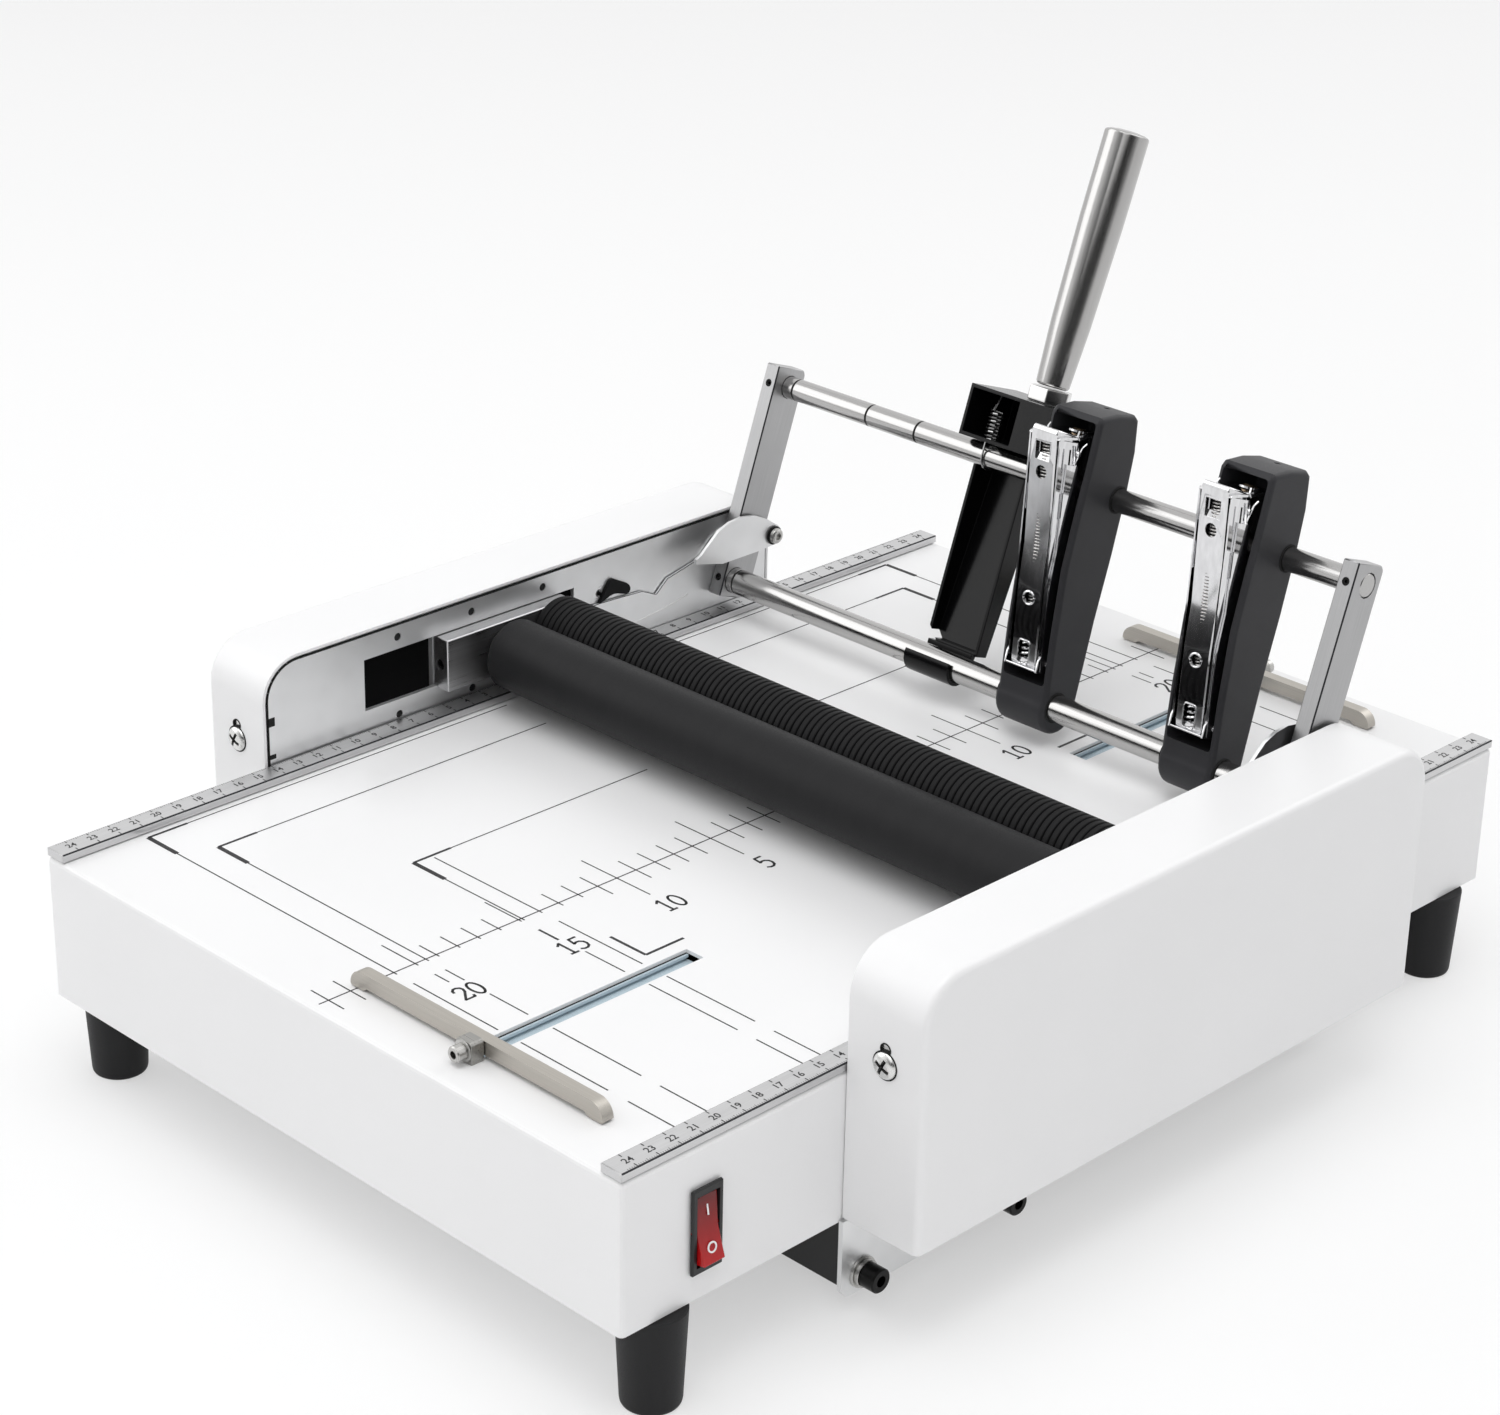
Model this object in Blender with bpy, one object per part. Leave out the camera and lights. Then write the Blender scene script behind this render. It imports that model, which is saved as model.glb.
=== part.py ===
"""Desk-top booklet maker: a white sheet-metal deck, a swing frame with two staplers, and folding rollers.

Units are metres, +Z is up, +X is the right-hand (switch) side and +Y is the feed direction.
The origin lies on the surface that the machine stands on, under the middle of the deck.
The swing frame has its own axes: "along" runs up the arms from the lower rod, "ahead" points
forward from the arms' plane, towards the rollers.
"""
import math

import bmesh
import bpy
from mathutils import Vector

for old in list(bpy.data.objects):
    bpy.data.objects.remove(old, do_unlink=True)

# Shared clearances and cutting allowance
FIT = 0.0003
COVER_GAP = 0.0006
OVERRUN = 0.005
RUNNING_FIT = 0.0006
ARC_STEPS = 5
ROUND_STEPS = 24
SMALL_STEPS = 14

# Deck: a folded sheet-metal box, open below
DECK_WIDTH = 0.3240
DECK_LENGTH = 0.4956
DECK_DEPTH = 0.0600
DECK_SHEET = 0.0015
DECK_BEND = 0.0020
DECK_LIP = 0.0250

# Feet: tapered rubber
FOOT_HEIGHT = 0.0386
FOOT_TOP_RADIUS = 0.0128
FOOT_BASE_RADIUS = 0.0109
FOOT_EDGE = 0.0010
FOOT_FROM_SIDE = 0.0083
FOOT_FROM_END = 0.0218

# Belly tray between the side plates
TRAY_LENGTH = 0.2760
TRAY_DEPTH = 0.0312
TRAY_SHEET = 0.0020

# Steel rulers lying along both edges of the deck
RULER_WIDTH = 0.0104
RULER_HEIGHT = 0.0036
RULER_FROM_EDGE = 0.0002
RULER_FROM_END = 0.0001

# Side plates and covers
PLATE_SHEET = 0.0020
PLATE_DROP = 0.0915
PLATE_FOOT_LENGTH = 0.2900
PLATE_FOOT_CORNER = 0.0050
COVER_WIDTH = 0.0359
COVER_FRONT = 0.1422
COVER_BACK = 0.1450
COVER_TOP = 0.0485
COVER_BOTTOM = 0.0585
COVER_SHEET = 0.0015
COVER_CORNER = 0.0180
COVER_EDGE = 0.0028
WINDOW_FRONT = 0.0900
WINDOW_BACK = 0.0259
WINDOW_BOTTOM = 0.0125
WINDOW_TOP = 0.0353

# Folding rollers, their gears and their carriage
ROLLER_RADIUS = 0.0153
ROLLER_AXIS_HEIGHT = 0.0226
SMOOTH_ROLLER_Y = -0.0206
ROLLER_END_GAP = 0.0003
ROLLER_EDGE = 0.0012
RIB_COUNT = 58
RIB_GROOVE = 0.0012
RIB_GROOVE_DEPTH = 0.0009
RIB_MARGIN = 0.0060
JOURNAL_RADIUS = 0.0040
BLOCK_PROUD = 0.0073
BLOCK_LENGTH = 0.0695
BLOCK_BACK = 0.0180
BLOCK_BOTTOM = 0.0115
BLOCK_TOP = 0.0350
BLOCK_EDGE = 0.0004
BAR_SHEET = 0.0025
BAR_OVERLAP = 0.0025
BAR_BOTTOM = 0.0245
BAR_DEPTH = 0.0046
GEAR_TEETH = 24
PINION_TEETH = 14
GEAR_WIDTH = 0.0060
GEAR_BACKLASH = 0.0006
PRESSURE_ANGLE = math.radians(20.0)
ADDENDUM_SHARE = 0.85
DEDENDUM_SHARE = 1.20
PINION_DIRECTION = math.radians(-105.0)
MOTOR_RADIUS = 0.0170
MOTOR_LENGTH = 0.0180
MOTOR_SHAFT_RADIUS = 0.0022
MOTOR_POST_RADIUS = 0.0022
MOTOR_POST_CIRCLE = 0.0136
MOTOR_PAD = 0.0050

# Swing frame: two arms, two rods
LEAN = math.radians(19.3)
SWING = math.radians(97.0)
PIVOT_Y = 0.1145
PIVOT_HEIGHT = 0.0173
LOWER_ROD_RADIUS = 0.00575
TOP_ROD_RADIUS = 0.0050
TOP_ROD_ALONG = 0.0895
TOP_ROD_AHEAD = -0.0031
ROD_GROOVE_WIDTH = 0.0012
ROD_GROOVE_DEPTH = 0.0005
TOP_ROD_GROOVES_FROM_ARM = (0.0060, 0.0507, 0.0793)
ARM_FROM_SKIRT = 0.0015
ARM_SHEET = 0.0075
ARM_AHEAD = 0.0070
ARM_BEHIND = 0.0115
ARM_BELOW = 0.0080
ARM_ABOVE = 0.0980
ARM_HEEL_RADIUS = 0.0060
ARM_EDGE = 0.0005

# Carriage drive: a crank on each end of the lower rod works in a fork of each carriage bar
CARRIAGE_TRAVEL = 0.0374
CRANK_SHEET = 0.0040
CRANK_PIN_RADIUS = 0.0020
CRANK_EYE = 0.0100
CRANK_TIP = 0.0042
FORK_PLAY = 0.0011
FORK_WALL = 0.0025
FORK_ABOVE_PIN = 0.0006
FORK_CHAMFER = 0.0017
FORK_CHAMFER_HEIGHT = 0.0024

# Guide plates, ear plates and the stop bolts that the arms lean on
GUIDE_SHEET = 0.0012
GUIDE_FRONT = 0.0200
GUIDE_BACK = 0.1415
GUIDE_HEIGHT = 0.0410
GUIDE_EDGE_SHARES = ((1.0, 0.0), (1.0, 0.9756), (0.8066, 1.0), (0.7243, 0.8780), (0.6724, 0.7317),
                     (0.6486, 0.7049), (0.4971, 0.6073), (0.4420, 0.4683), (0.3712, 0.5634), (0.1695, 0.5951),
                     (0.0, 0.5951), (0.0, 0.0))
EAR_SHEET = 0.0015
EAR_PROUD = 0.0015
EAR_REACH = 0.0269
EAR_HEIGHT = 0.0480
EAR_CROWN_SHARES = ((-1.0, 0.6875), (-1.0, 0.7313), (-0.8922, 0.7542), (-0.4796, 0.9396), (-0.2454, 0.9854),
                    (0.0372, 1.0), (0.3494, 0.9688), (0.6394, 0.8917))
EAR_FOOT_SHARES = ((0.4275, 0.6), (-0.3903, 0.6))
STOP_BOLT_RADIUS = 0.0025
STOP_BOLT_ALONG = 0.0230
BOLT_HEAD_RADIUS = 0.0043
BOLT_HEAD_LENGTH = 0.0030

# Latch lever on the left side plate
LATCH_Y = 0.0405
LATCH_HEIGHT = 0.0287
LATCH_PIN_RADIUS = 0.0015
LATCH_BOSS = 0.0029
LATCH_REACH = 0.0147
LATCH_HOOK_SHARES = ((0.5170, 0.1156), (1.0, -0.1769), (0.9660, 0.0408), (0.3401, 0.4150))

# Staplers: side outlines are shares of each one's own reach ahead and length
SHELL_WIDTH = 0.0264
SHELL_WALL = 0.0022
SHELL_ROOF = 0.0030
SHELL_CENTRE_SHARES = (0.1386, 0.6738)
SHELL_HEEL_AHEAD = -0.0030
SHELL_HEEL_ALONG = -0.0006
SHELL_HEEL_RADIUS = 0.0112
SHELL_EDGE = 0.0014
SHELL_FLOOR_ALONG = 0.0090
SHELL_FLOOR_AHEAD = 0.0035
SHELL_REACH = 0.0222
SHELL_LENGTH = 0.1248
SHELL_FRONT_SHARES = ((0.6126, 0.2244), (0.8559, 0.4615), (0.9189, 0.6410), (0.9550, 0.8093), (1.0, 0.9495))
SHELL_ROOF_SHARES = ((0.9234, 0.9712), (0.4730, 0.9920), (-0.0225, 1.0), (-0.1441, 0.9872))
SHELL_BACK_SHARES = ((-0.3198, 0.8798), (-0.4144, 0.7372), (-0.4865, 0.5288), (-0.5180, 0.3045))
MAGAZINE_WIDTH = 0.0132
MAGAZINE_SHEET = 0.0010
MAGAZINE_PIN_ALONG = 0.0170
MAGAZINE_PIN_AHEAD = 0.0070
MAGAZINE_PIN_RADIUS = 0.0018
MAGAZINE_PIN_COVER = 0.0008
MAGAZINE_REACH = 0.0400
MAGAZINE_LENGTH = 0.1130
MAGAZINE_FRONT_SHARES = ((0.295, 0.1195), (0.3275, 0.1504), (0.5375, 0.4159), (0.625, 0.5664),
                         (0.825, 0.7832), (1.0, 0.9779), (0.98, 1.0))
MAGAZINE_BACK_SHARES = ((0.67, 0.9867), (0.5375, 0.7788), (0.3375, 0.5310), (0.2125, 0.3540),
                        (0.0875, 0.1593), (0.105, 0.1150))
MAGAZINE_MOUTH_SHARES = ((0.925, 0.9513), (0.5, 0.9513), (0.125, 0.5310), (-0.125, 0.1593), (0.15, 0.1593))
MAGAZINE_WINDOW_SHARES = ((0.9395, 0.9106, 0.280, 0.280), (0.345, 0.1726, 0.212, 0.379))
MAGAZINE_HOLE_SHARES = ((0.872, 0.8354, 0.212), (0.5053, 0.3752, 0.174))
CHEEK_OUTER = 0.0090
CHEEK_SHEET = 0.0008
CHEEK_SHARES = ((0.28, 0.1195), (0.5125, 0.4159), (0.555, 0.5664), (0.7125, 0.7788), (0.78, 0.8850),
                (0.57, 0.8850), (0.4875, 0.7788), (0.3125, 0.5310), (0.1875, 0.3540), (0.0875, 0.1593),
                (0.105, 0.1150))

# Handle bracket, its spring, the nut and the handle
BRACKET_LEFT = -0.0460
BRACKET_CHANNEL_WIDTH = 0.0290
BRACKET_SHEET = 0.0016
BRACKET_BACK_TOP = -0.0235
BRACKET_BACK_BOTTOM = -0.0150
BRACKET_FOOT_ALONG = 0.0060
BRACKET_BOX_ALONG = 0.0955
BRACKET_TOP_ALONG = 0.1175
BRACKET_BOX_AHEAD = 0.0070
BRACKET_SHELL_GAP = 0.0012
BRACKET_CORNER = 0.0060
BRACKET_EDGE = 0.0006
HOOK_WIDTH = 0.0250
HOOK_SHEET = 0.0016
HOOK_SHIFT = 0.0010
HOOK_SWEEP = math.radians(195.0)
NUT_ACROSS_FLATS = 0.0169
NUT_HEIGHT = 0.0062
HANDLE_X = -0.0168
HANDLE_AHEAD = -0.0090
HANDLE_LENGTH = 0.1103
HANDLE_RADIUS = 0.00955
HANDLE_TAPER_SHARES = ((0.0, 0.759), (0.25, 0.895), (0.65, 0.990))
HANDLE_DOME = 0.0012
HANDLE_TILT = math.radians(2.0)
SPRING_X = -0.0340
SPRING_RADIUS = 0.0028
SPRING_WIRE = 0.0005
SPRING_CURLS = 8
SPRING_CURL_POINTS = 9
SPRING_PITCH = 0.00155
SPRING_HOOK_POINTS = 8
SPRING_TAIL = 0.0018
SPRING_ROOM = 0.0012

# Stops on the deck, with the slots that they run in
STOP_LENGTH = 0.1335
STOP_HEIGHT = 0.0085
STOP_THICKNESS = 0.0051
STOP_FOOT_LENGTH = 0.0150
STOP_ARCH = 0.0012
STOP_END_RADIUS = 0.0078
SLOT_WIDTH = 0.0090
CLAMP_WIDTH = 0.0100
CLAMP_DEPTH = 0.0058
CLAMP_HEIGHT = 0.0097
CLAMP_TONGUE_DEPTH = 0.0022
CLAMP_TONGUE_DROP = 0.0040
CLAMP_OFFSET = 0.0017
RAIL_WALL = 0.0015
RAIL_DEPTH = 0.0040
FRONT_STOP_FROM_SKIRT = 0.0315
FRONT_STOP_FROM_END = 0.0207
FRONT_SLOT_SHIFT = 0.0005
FRONT_SLOT_FROM_END = 0.0168
FRONT_SLOT_LENGTH = 0.1110
BACK_STOP_FROM_SKIRT = 0.0458
BACK_STOP_FROM_END = 0.0192
BACK_SLOT_SHIFT = 0.0
BACK_SLOT_FROM_END = 0.0128
BACK_SLOT_LENGTH = 0.1210

# Rocker switch in the right-hand skirt and the power inlet in the back skirt
BEZEL_WIDTH = 0.0145
BEZEL_HEIGHT = 0.0336
BEZEL_FLANGE = 0.0018
BEZEL_WALL = 0.0018
BEZEL_FROM_END = 0.0380
BEZEL_MIDDLE_DROP = 0.0322
SWITCH_BODY_DEPTH = 0.0180
ROCKER_WIDTH = 0.0100
ROCKER_LENGTH = 0.0256
ROCKER_HALF_THICKNESS = 0.0030
ROCKER_DISH = 0.0016
ROCKER_TIP = math.radians(10.0)
ROCKER_PIN_RADIUS = 0.0010
INLET_WIDTH = 0.0280
INLET_HEIGHT = 0.0220
INLET_FLANGE = 0.0020
INLET_BORDER = 0.0040
INLET_BODY_DEPTH = 0.0200
INLET_SOCKET_DEPTH = 0.0160
INLET_FROM_SKIRT = 0.0520
INLET_DROP = 0.0320

# Folding blade and what lifts it
BLADE_SHEET = 0.0012
BLADE_TOP_DROP = 0.0006
BLADE_TOOTH_DEPTH = 0.0240
BLADE_BOTTOM_DROP = 0.0740
BLADE_FROM_SKIRT = 0.0180
BLADE_NOTCH_MARGIN = 0.0040
BLADE_TRAVEL = 0.0160
LUG_SHEET = 0.0030
LUG_HEIGHT = 0.0110
LUG_REACH = 0.0120
LUG_XS = (-0.1000, 0.0700)
CRANK_REACH = 0.0300
LIFT_SHAFT_RADIUS = 0.0040
LIFT_PIN_RADIUS = 0.0020
LIFT_ARM_SHEET = 0.0030
LIFT_ARM_HEIGHT = 0.0080
LIFT_EYE_SHARE = 1.4
LIFT_MOTOR_FROM_SKIRT = 0.0050
LIFT_MOTOR_LENGTH = 0.0340
LIFT_MOTOR_RADIUS = 0.0140

# Clinch anvils in the deck under the staplers
ANVIL_WIDTH = 0.0200
ANVIL_LENGTH = 0.0070
ANVIL_SHEET = 0.0010
ANVIL_Y = 0.0016
CLINCH_WIDTH = 0.0050
CLINCH_LENGTH = 0.0016
CLINCH_DEPTH = 0.0005
CLINCH_SPACING = 0.0070

# Places that follow from the sizes above
DECK_TOP = FOOT_HEIGHT + DECK_DEPTH
SKIRT_X = DECK_WIDTH / 2
DECK_END = DECK_LENGTH / 2
PLATE_INNER = SKIRT_X + FIT
PLATE_OUTER = PLATE_INNER + PLATE_SHEET
COVER_INNER = PLATE_INNER
COVER_OUTER = COVER_INNER + COVER_WIDTH
BLOCK_INNER = PLATE_INNER - BLOCK_PROUD
TONGUE_END = PLATE_OUTER + FIT
BAR_INNER = TONGUE_END + FIT
BAR_OUTER = BAR_INNER + BAR_SHEET
GEAR_INNER = BAR_OUTER + RUNNING_FIT
GEAR_OUTER = GEAR_INNER + GEAR_WIDTH
ROLLER_END = BLOCK_INNER - ROLLER_END_GAP
ROLLER_Z = DECK_TOP + ROLLER_AXIS_HEIGHT
RIBBED_ROLLER_Y = SMOOTH_ROLLER_Y + 2 * ROLLER_RADIUS + FIT
NIP_Y = (SMOOTH_ROLLER_Y + RIBBED_ROLLER_Y) / 2
GEAR_MODULE = (RIBBED_ROLLER_Y - SMOOTH_ROLLER_Y) / GEAR_TEETH
PIVOT_Z = DECK_TOP + PIVOT_HEIGHT
ARM_OUTER = SKIRT_X - ARM_FROM_SKIRT
ARM_INNER = ARM_OUTER - ARM_SHEET
GUIDE_INNER = ARM_OUTER + FIT
EAR_INNER = ARM_INNER - EAR_PROUD - EAR_SHEET
STOP_BOLT_AHEAD = -(ARM_BEHIND + FIT + STOP_BOLT_RADIUS)
CRANK_RADIUS = CARRIAGE_TRAVEL / (2 * math.sin(SWING / 2))
FORK_Y = PIVOT_Y + CARRIAGE_TRAVEL / 2
SHELL_CENTRES = tuple(SKIRT_X * share for share in SHELL_CENTRE_SHARES)
BRACKET_BOX_RIGHT = SHELL_CENTRES[0] - SHELL_WIDTH / 2 - BRACKET_SHELL_GAP
FRONT_STOP_X = SKIRT_X - FRONT_STOP_FROM_SKIRT - STOP_LENGTH / 2
FRONT_STOP_Y = FRONT_STOP_FROM_END - DECK_END
FRONT_SLOT_X = FRONT_STOP_X + FRONT_SLOT_SHIFT
FRONT_SLOT_NEAR = FRONT_SLOT_FROM_END - DECK_END
FRONT_SLOT_FAR = FRONT_SLOT_NEAR + FRONT_SLOT_LENGTH
BACK_STOP_X = SKIRT_X - BACK_STOP_FROM_SKIRT - STOP_LENGTH / 2
BACK_STOP_Y = DECK_END - BACK_STOP_FROM_END
BACK_SLOT_X = BACK_STOP_X + BACK_SLOT_SHIFT
BACK_SLOT_FAR = DECK_END - BACK_SLOT_FROM_END
BACK_SLOT_NEAR = BACK_SLOT_FAR - BACK_SLOT_LENGTH
BEZEL_Y = BEZEL_FROM_END - DECK_END
INLET_X = SKIRT_X - INLET_FROM_SKIRT
BLADE_HALF_LENGTH = SKIRT_X - BLADE_FROM_SKIRT
LIFT_MOTOR_X = SKIRT_X - LIFT_MOTOR_FROM_SKIRT - LIFT_MOTOR_LENGTH


def finish(name, colour, roughness, metallic=0.0):
    """Return a plain Principled material."""
    material = bpy.data.materials.new(name)
    material.use_nodes = True
    shader = material.node_tree.nodes["Principled BSDF"]
    shader.inputs["Base Color"].default_value = (*colour, 1.0)
    shader.inputs["Roughness"].default_value = roughness
    shader.inputs["Metallic"].default_value = metallic
    material.diffuse_color = (*colour, 1.0)
    return material


WHITE_PAINT = finish("white_paint", (0.86, 0.86, 0.86), 0.35)
BLACK_PAINT = finish("black_paint", (0.02, 0.02, 0.02), 0.25)
BLACK_PLASTIC = finish("black_plastic", (0.03, 0.03, 0.032), 0.45)
BLACK_RUBBER = finish("black_rubber", (0.035, 0.035, 0.037), 0.6)
POLISHED_STEEL = finish("polished_steel", (0.62, 0.62, 0.61), 0.18, 1.0)
SATIN_ALUMINIUM = finish("satin_aluminium", (0.70, 0.70, 0.71), 0.35, 1.0)
ZINC_STEEL = finish("zinc_steel", (0.62, 0.63, 0.64), 0.4, 1.0)
CHROME = finish("chrome", (0.78, 0.78, 0.78), 0.08, 1.0)
STOP_STEEL = finish("brushed_stop_steel", (0.34, 0.32, 0.29), 0.35, 1.0)
RAIL_STEEL = finish("rail_steel", (0.50, 0.58, 0.64), 0.35, 1.0)
RED_PLASTIC = finish("red_plastic", (0.55, 0.02, 0.015), 0.2)


def place(name, mesh, material, parent=None):
    """Link a mesh as an object under an optional parent."""
    item = bpy.data.objects.new(name, mesh)
    bpy.context.scene.collection.objects.link(item)
    item.parent = parent
    if material is not None:
        mesh.materials.append(material)
    return item


def mesh_from(name, form):
    """Turn a bmesh into a mesh with its faces pointing out."""
    bmesh.ops.recalc_face_normals(form, faces=form.faces)
    mesh = bpy.data.meshes.new(name)
    form.to_mesh(mesh)
    form.free()
    return mesh


def shade_round(item, angle=math.radians(35.0)):
    """Shade smooth, with the true edges kept sharp."""
    item.data.shade_smooth()
    item.data.set_sharp_from_angle(angle=angle)
    return item


AXES = {"X": (1, 2, 0), "Y": (0, 2, 1), "Z": (0, 1, 2)}


def prism(name, outline, start, end, axis, material=None, parent=None):
    """Extrude an outline along one axis; the outline's pair is the two other axes in order."""
    across, up, along = AXES[axis]
    form = bmesh.new()
    corners = []
    for first, second in outline:
        corner = [0.0, 0.0, 0.0]
        corner[across] = first
        corner[up] = second
        corner[along] = start
        corners.append(form.verts.new(corner))
    face = form.faces.new(corners)
    grown = bmesh.ops.extrude_face_region(form, geom=[face])
    moved = [part for part in grown["geom"] if isinstance(part, bmesh.types.BMVert)]
    shift = Vector((0.0, 0.0, 0.0))
    shift[along] = end - start
    bmesh.ops.translate(form, verts=moved, vec=shift)
    return place(name, mesh_from(name, form), material, parent)


def block(name, low, high, material=None, parent=None):
    """A rectangular block between two corners."""
    outline = [(low[0], low[1]), (high[0], low[1]), (high[0], high[1]), (low[0], high[1])]
    return prism(name, outline, low[2], high[2], "Z", material, parent)


def turned(name, profile, axis, centre, material=None, parent=None, steps=ROUND_STEPS):
    """Spin a profile of (radius, place along the axis) pairs about an axis through a centre."""
    form = bmesh.new()
    points = [form.verts.new((radius, 0.0, along)) for radius, along in profile]
    edges = [form.edges.new(pair) for pair in zip(points, points[1:])]
    bmesh.ops.spin(form, geom=points + edges, cent=(0.0, 0.0, 0.0), axis=(0.0, 0.0, 1.0),
                   angle=math.tau, steps=steps, use_merge=True)
    bmesh.ops.remove_doubles(form, verts=form.verts, dist=0.000001)
    turn = {"X": (0.0, math.pi / 2, 0.0), "Y": (-math.pi / 2, 0.0, 0.0), "Z": (0.0, 0.0, 0.0)}[axis]
    item = place(name, mesh_from(name, form), material, parent)
    item.location = centre
    item.rotation_euler = turn
    return shade_round(item)


def rod(name, radius, start, end, axis, centre, material=None, parent=None, steps=ROUND_STEPS):
    """A plain round bar along an axis, from start to end on that axis."""
    profile = [(0.0, end), (radius, end), (radius, start), (0.0, start)]
    return turned(name, profile, axis, centre, material, parent, steps)


def arc(middle, radius, start, end, steps=ARC_STEPS):
    """Points on an arc, angles in radians."""
    return [(middle[0] + radius * math.cos(start + (end - start) * step / steps),
             middle[1] + radius * math.sin(start + (end - start) * step / steps))
            for step in range(steps + 1)]


def rounded(corners, steps=ARC_STEPS):
    """Round the corners of an outline given as (first, second, radius)."""
    points = []
    count = len(corners)
    for index, (first, second, radius) in enumerate(corners):
        here = Vector((first, second))
        if radius == 0:
            points.append((first, second))
            continue
        before = (Vector(corners[index - 1][:2]) - here).normalized()
        after = (Vector(corners[(index + 1) % count][:2]) - here).normalized()
        half = before.angle(after) / 2
        centre = here + (before + after).normalized() * (radius / math.sin(half))
        begin = here + before * (radius / math.tan(half)) - centre
        finish_at = here + after * (radius / math.tan(half)) - centre
        first_angle = math.atan2(begin.y, begin.x)
        sweep = math.atan2(finish_at.y, finish_at.x) - first_angle
        sweep = (sweep + math.pi) % math.tau - math.pi
        points += arc(centre, radius, first_angle, first_angle + sweep, steps)
    return points


def soften(item, width, steps=2):
    """Round every sharp edge of an object by a small radius."""
    bevel = item.modifiers.new("edge_radius", "BEVEL")
    bevel.width = width
    bevel.segments = steps
    bevel.limit_method = "ANGLE"
    bevel.angle_limit = math.radians(40.0)
    bevel.use_clamp_overlap = True
    return item


def hide_tool(tool):
    """Keep a cutter out of the finished part."""
    tool.hide_render = True
    tool.display_type = "WIRE"
    return tool


def combine(item, tool, operation):
    """Add one Boolean step that uses a hidden tool object."""
    hide_tool(tool)
    step = item.modifiers.new(operation.lower(), "BOOLEAN")
    step.operation = operation
    step.solver = "EXACT"
    step.object = tool
    return item


def cut(item, tool):
    """Take a tool's volume away."""
    return combine(item, tool, "DIFFERENCE")


def join(item, tool):
    """Fuse a tool's volume on."""
    return combine(item, tool, "UNION")


def drill(item, radius, start, end, axis, centre, parent=None, steps=SMALL_STEPS):
    """Cut a round hole."""
    return cut(item, rod(item.name + ".drill", radius, start, end, axis, centre, None, parent, steps))


def cut_block(item, low, high, parent=None):
    """Cut a rectangular pocket."""
    return cut(item, block(item.name + ".pocket", low, high, None, parent))


def sides():
    """Both sides of the machine: name and sign of X."""
    return (("left", -1), ("right", 1))


def span(inner, outer, sign):
    """Two X places in rising order on one side."""
    return tuple(sorted((sign * inner, sign * outer)))


def add_empty(name, place_at, turn_x=0.0, parent=None):
    """An empty that marks a joint's axis."""
    mark = bpy.data.objects.new(name, None)
    bpy.context.scene.collection.objects.link(mark)
    mark.location = place_at
    mark.rotation_euler = (turn_x, 0.0, 0.0)
    mark.parent = parent
    return mark


def scaled(shares, first, second):
    """Turn pairs of shares into pairs of lengths."""
    return [(share * first, other * second) for share, other in shares]


def leaning(points):
    """Turn (ahead, along) pairs into the swing frame's own (Y, Z)."""
    return [(-ahead, along) for ahead, along in points]


def frame_world(ahead, along):
    """World Y and Z of a place given in the swing frame."""
    y = PIVOT_Y + along * math.sin(LEAN) - ahead * math.cos(LEAN)
    z = PIVOT_Z + along * math.cos(LEAN) + ahead * math.sin(LEAN)
    return y, z


def bevelled_box(name, low, high, width, steps, material):
    """A box whose top and upright edges are bent round, with a crisp lower rim."""
    form = bmesh.new()
    bmesh.ops.create_cube(form, size=2.0)
    middle = (low[2] + high[2]) / 2
    for vertex in form.verts:
        vertex.co = [high[axis] if vertex.co[axis] > 0 else low[axis] for axis in range(3)]
    edges = [edge for edge in form.edges if max(end.co.z for end in edge.verts) > middle]
    bmesh.ops.bevel(form, geom=edges, offset=width, offset_type="OFFSET", segments=steps,
                    profile=0.5, affect="EDGES")
    return place(name, mesh_from(name, form), material)


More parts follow.
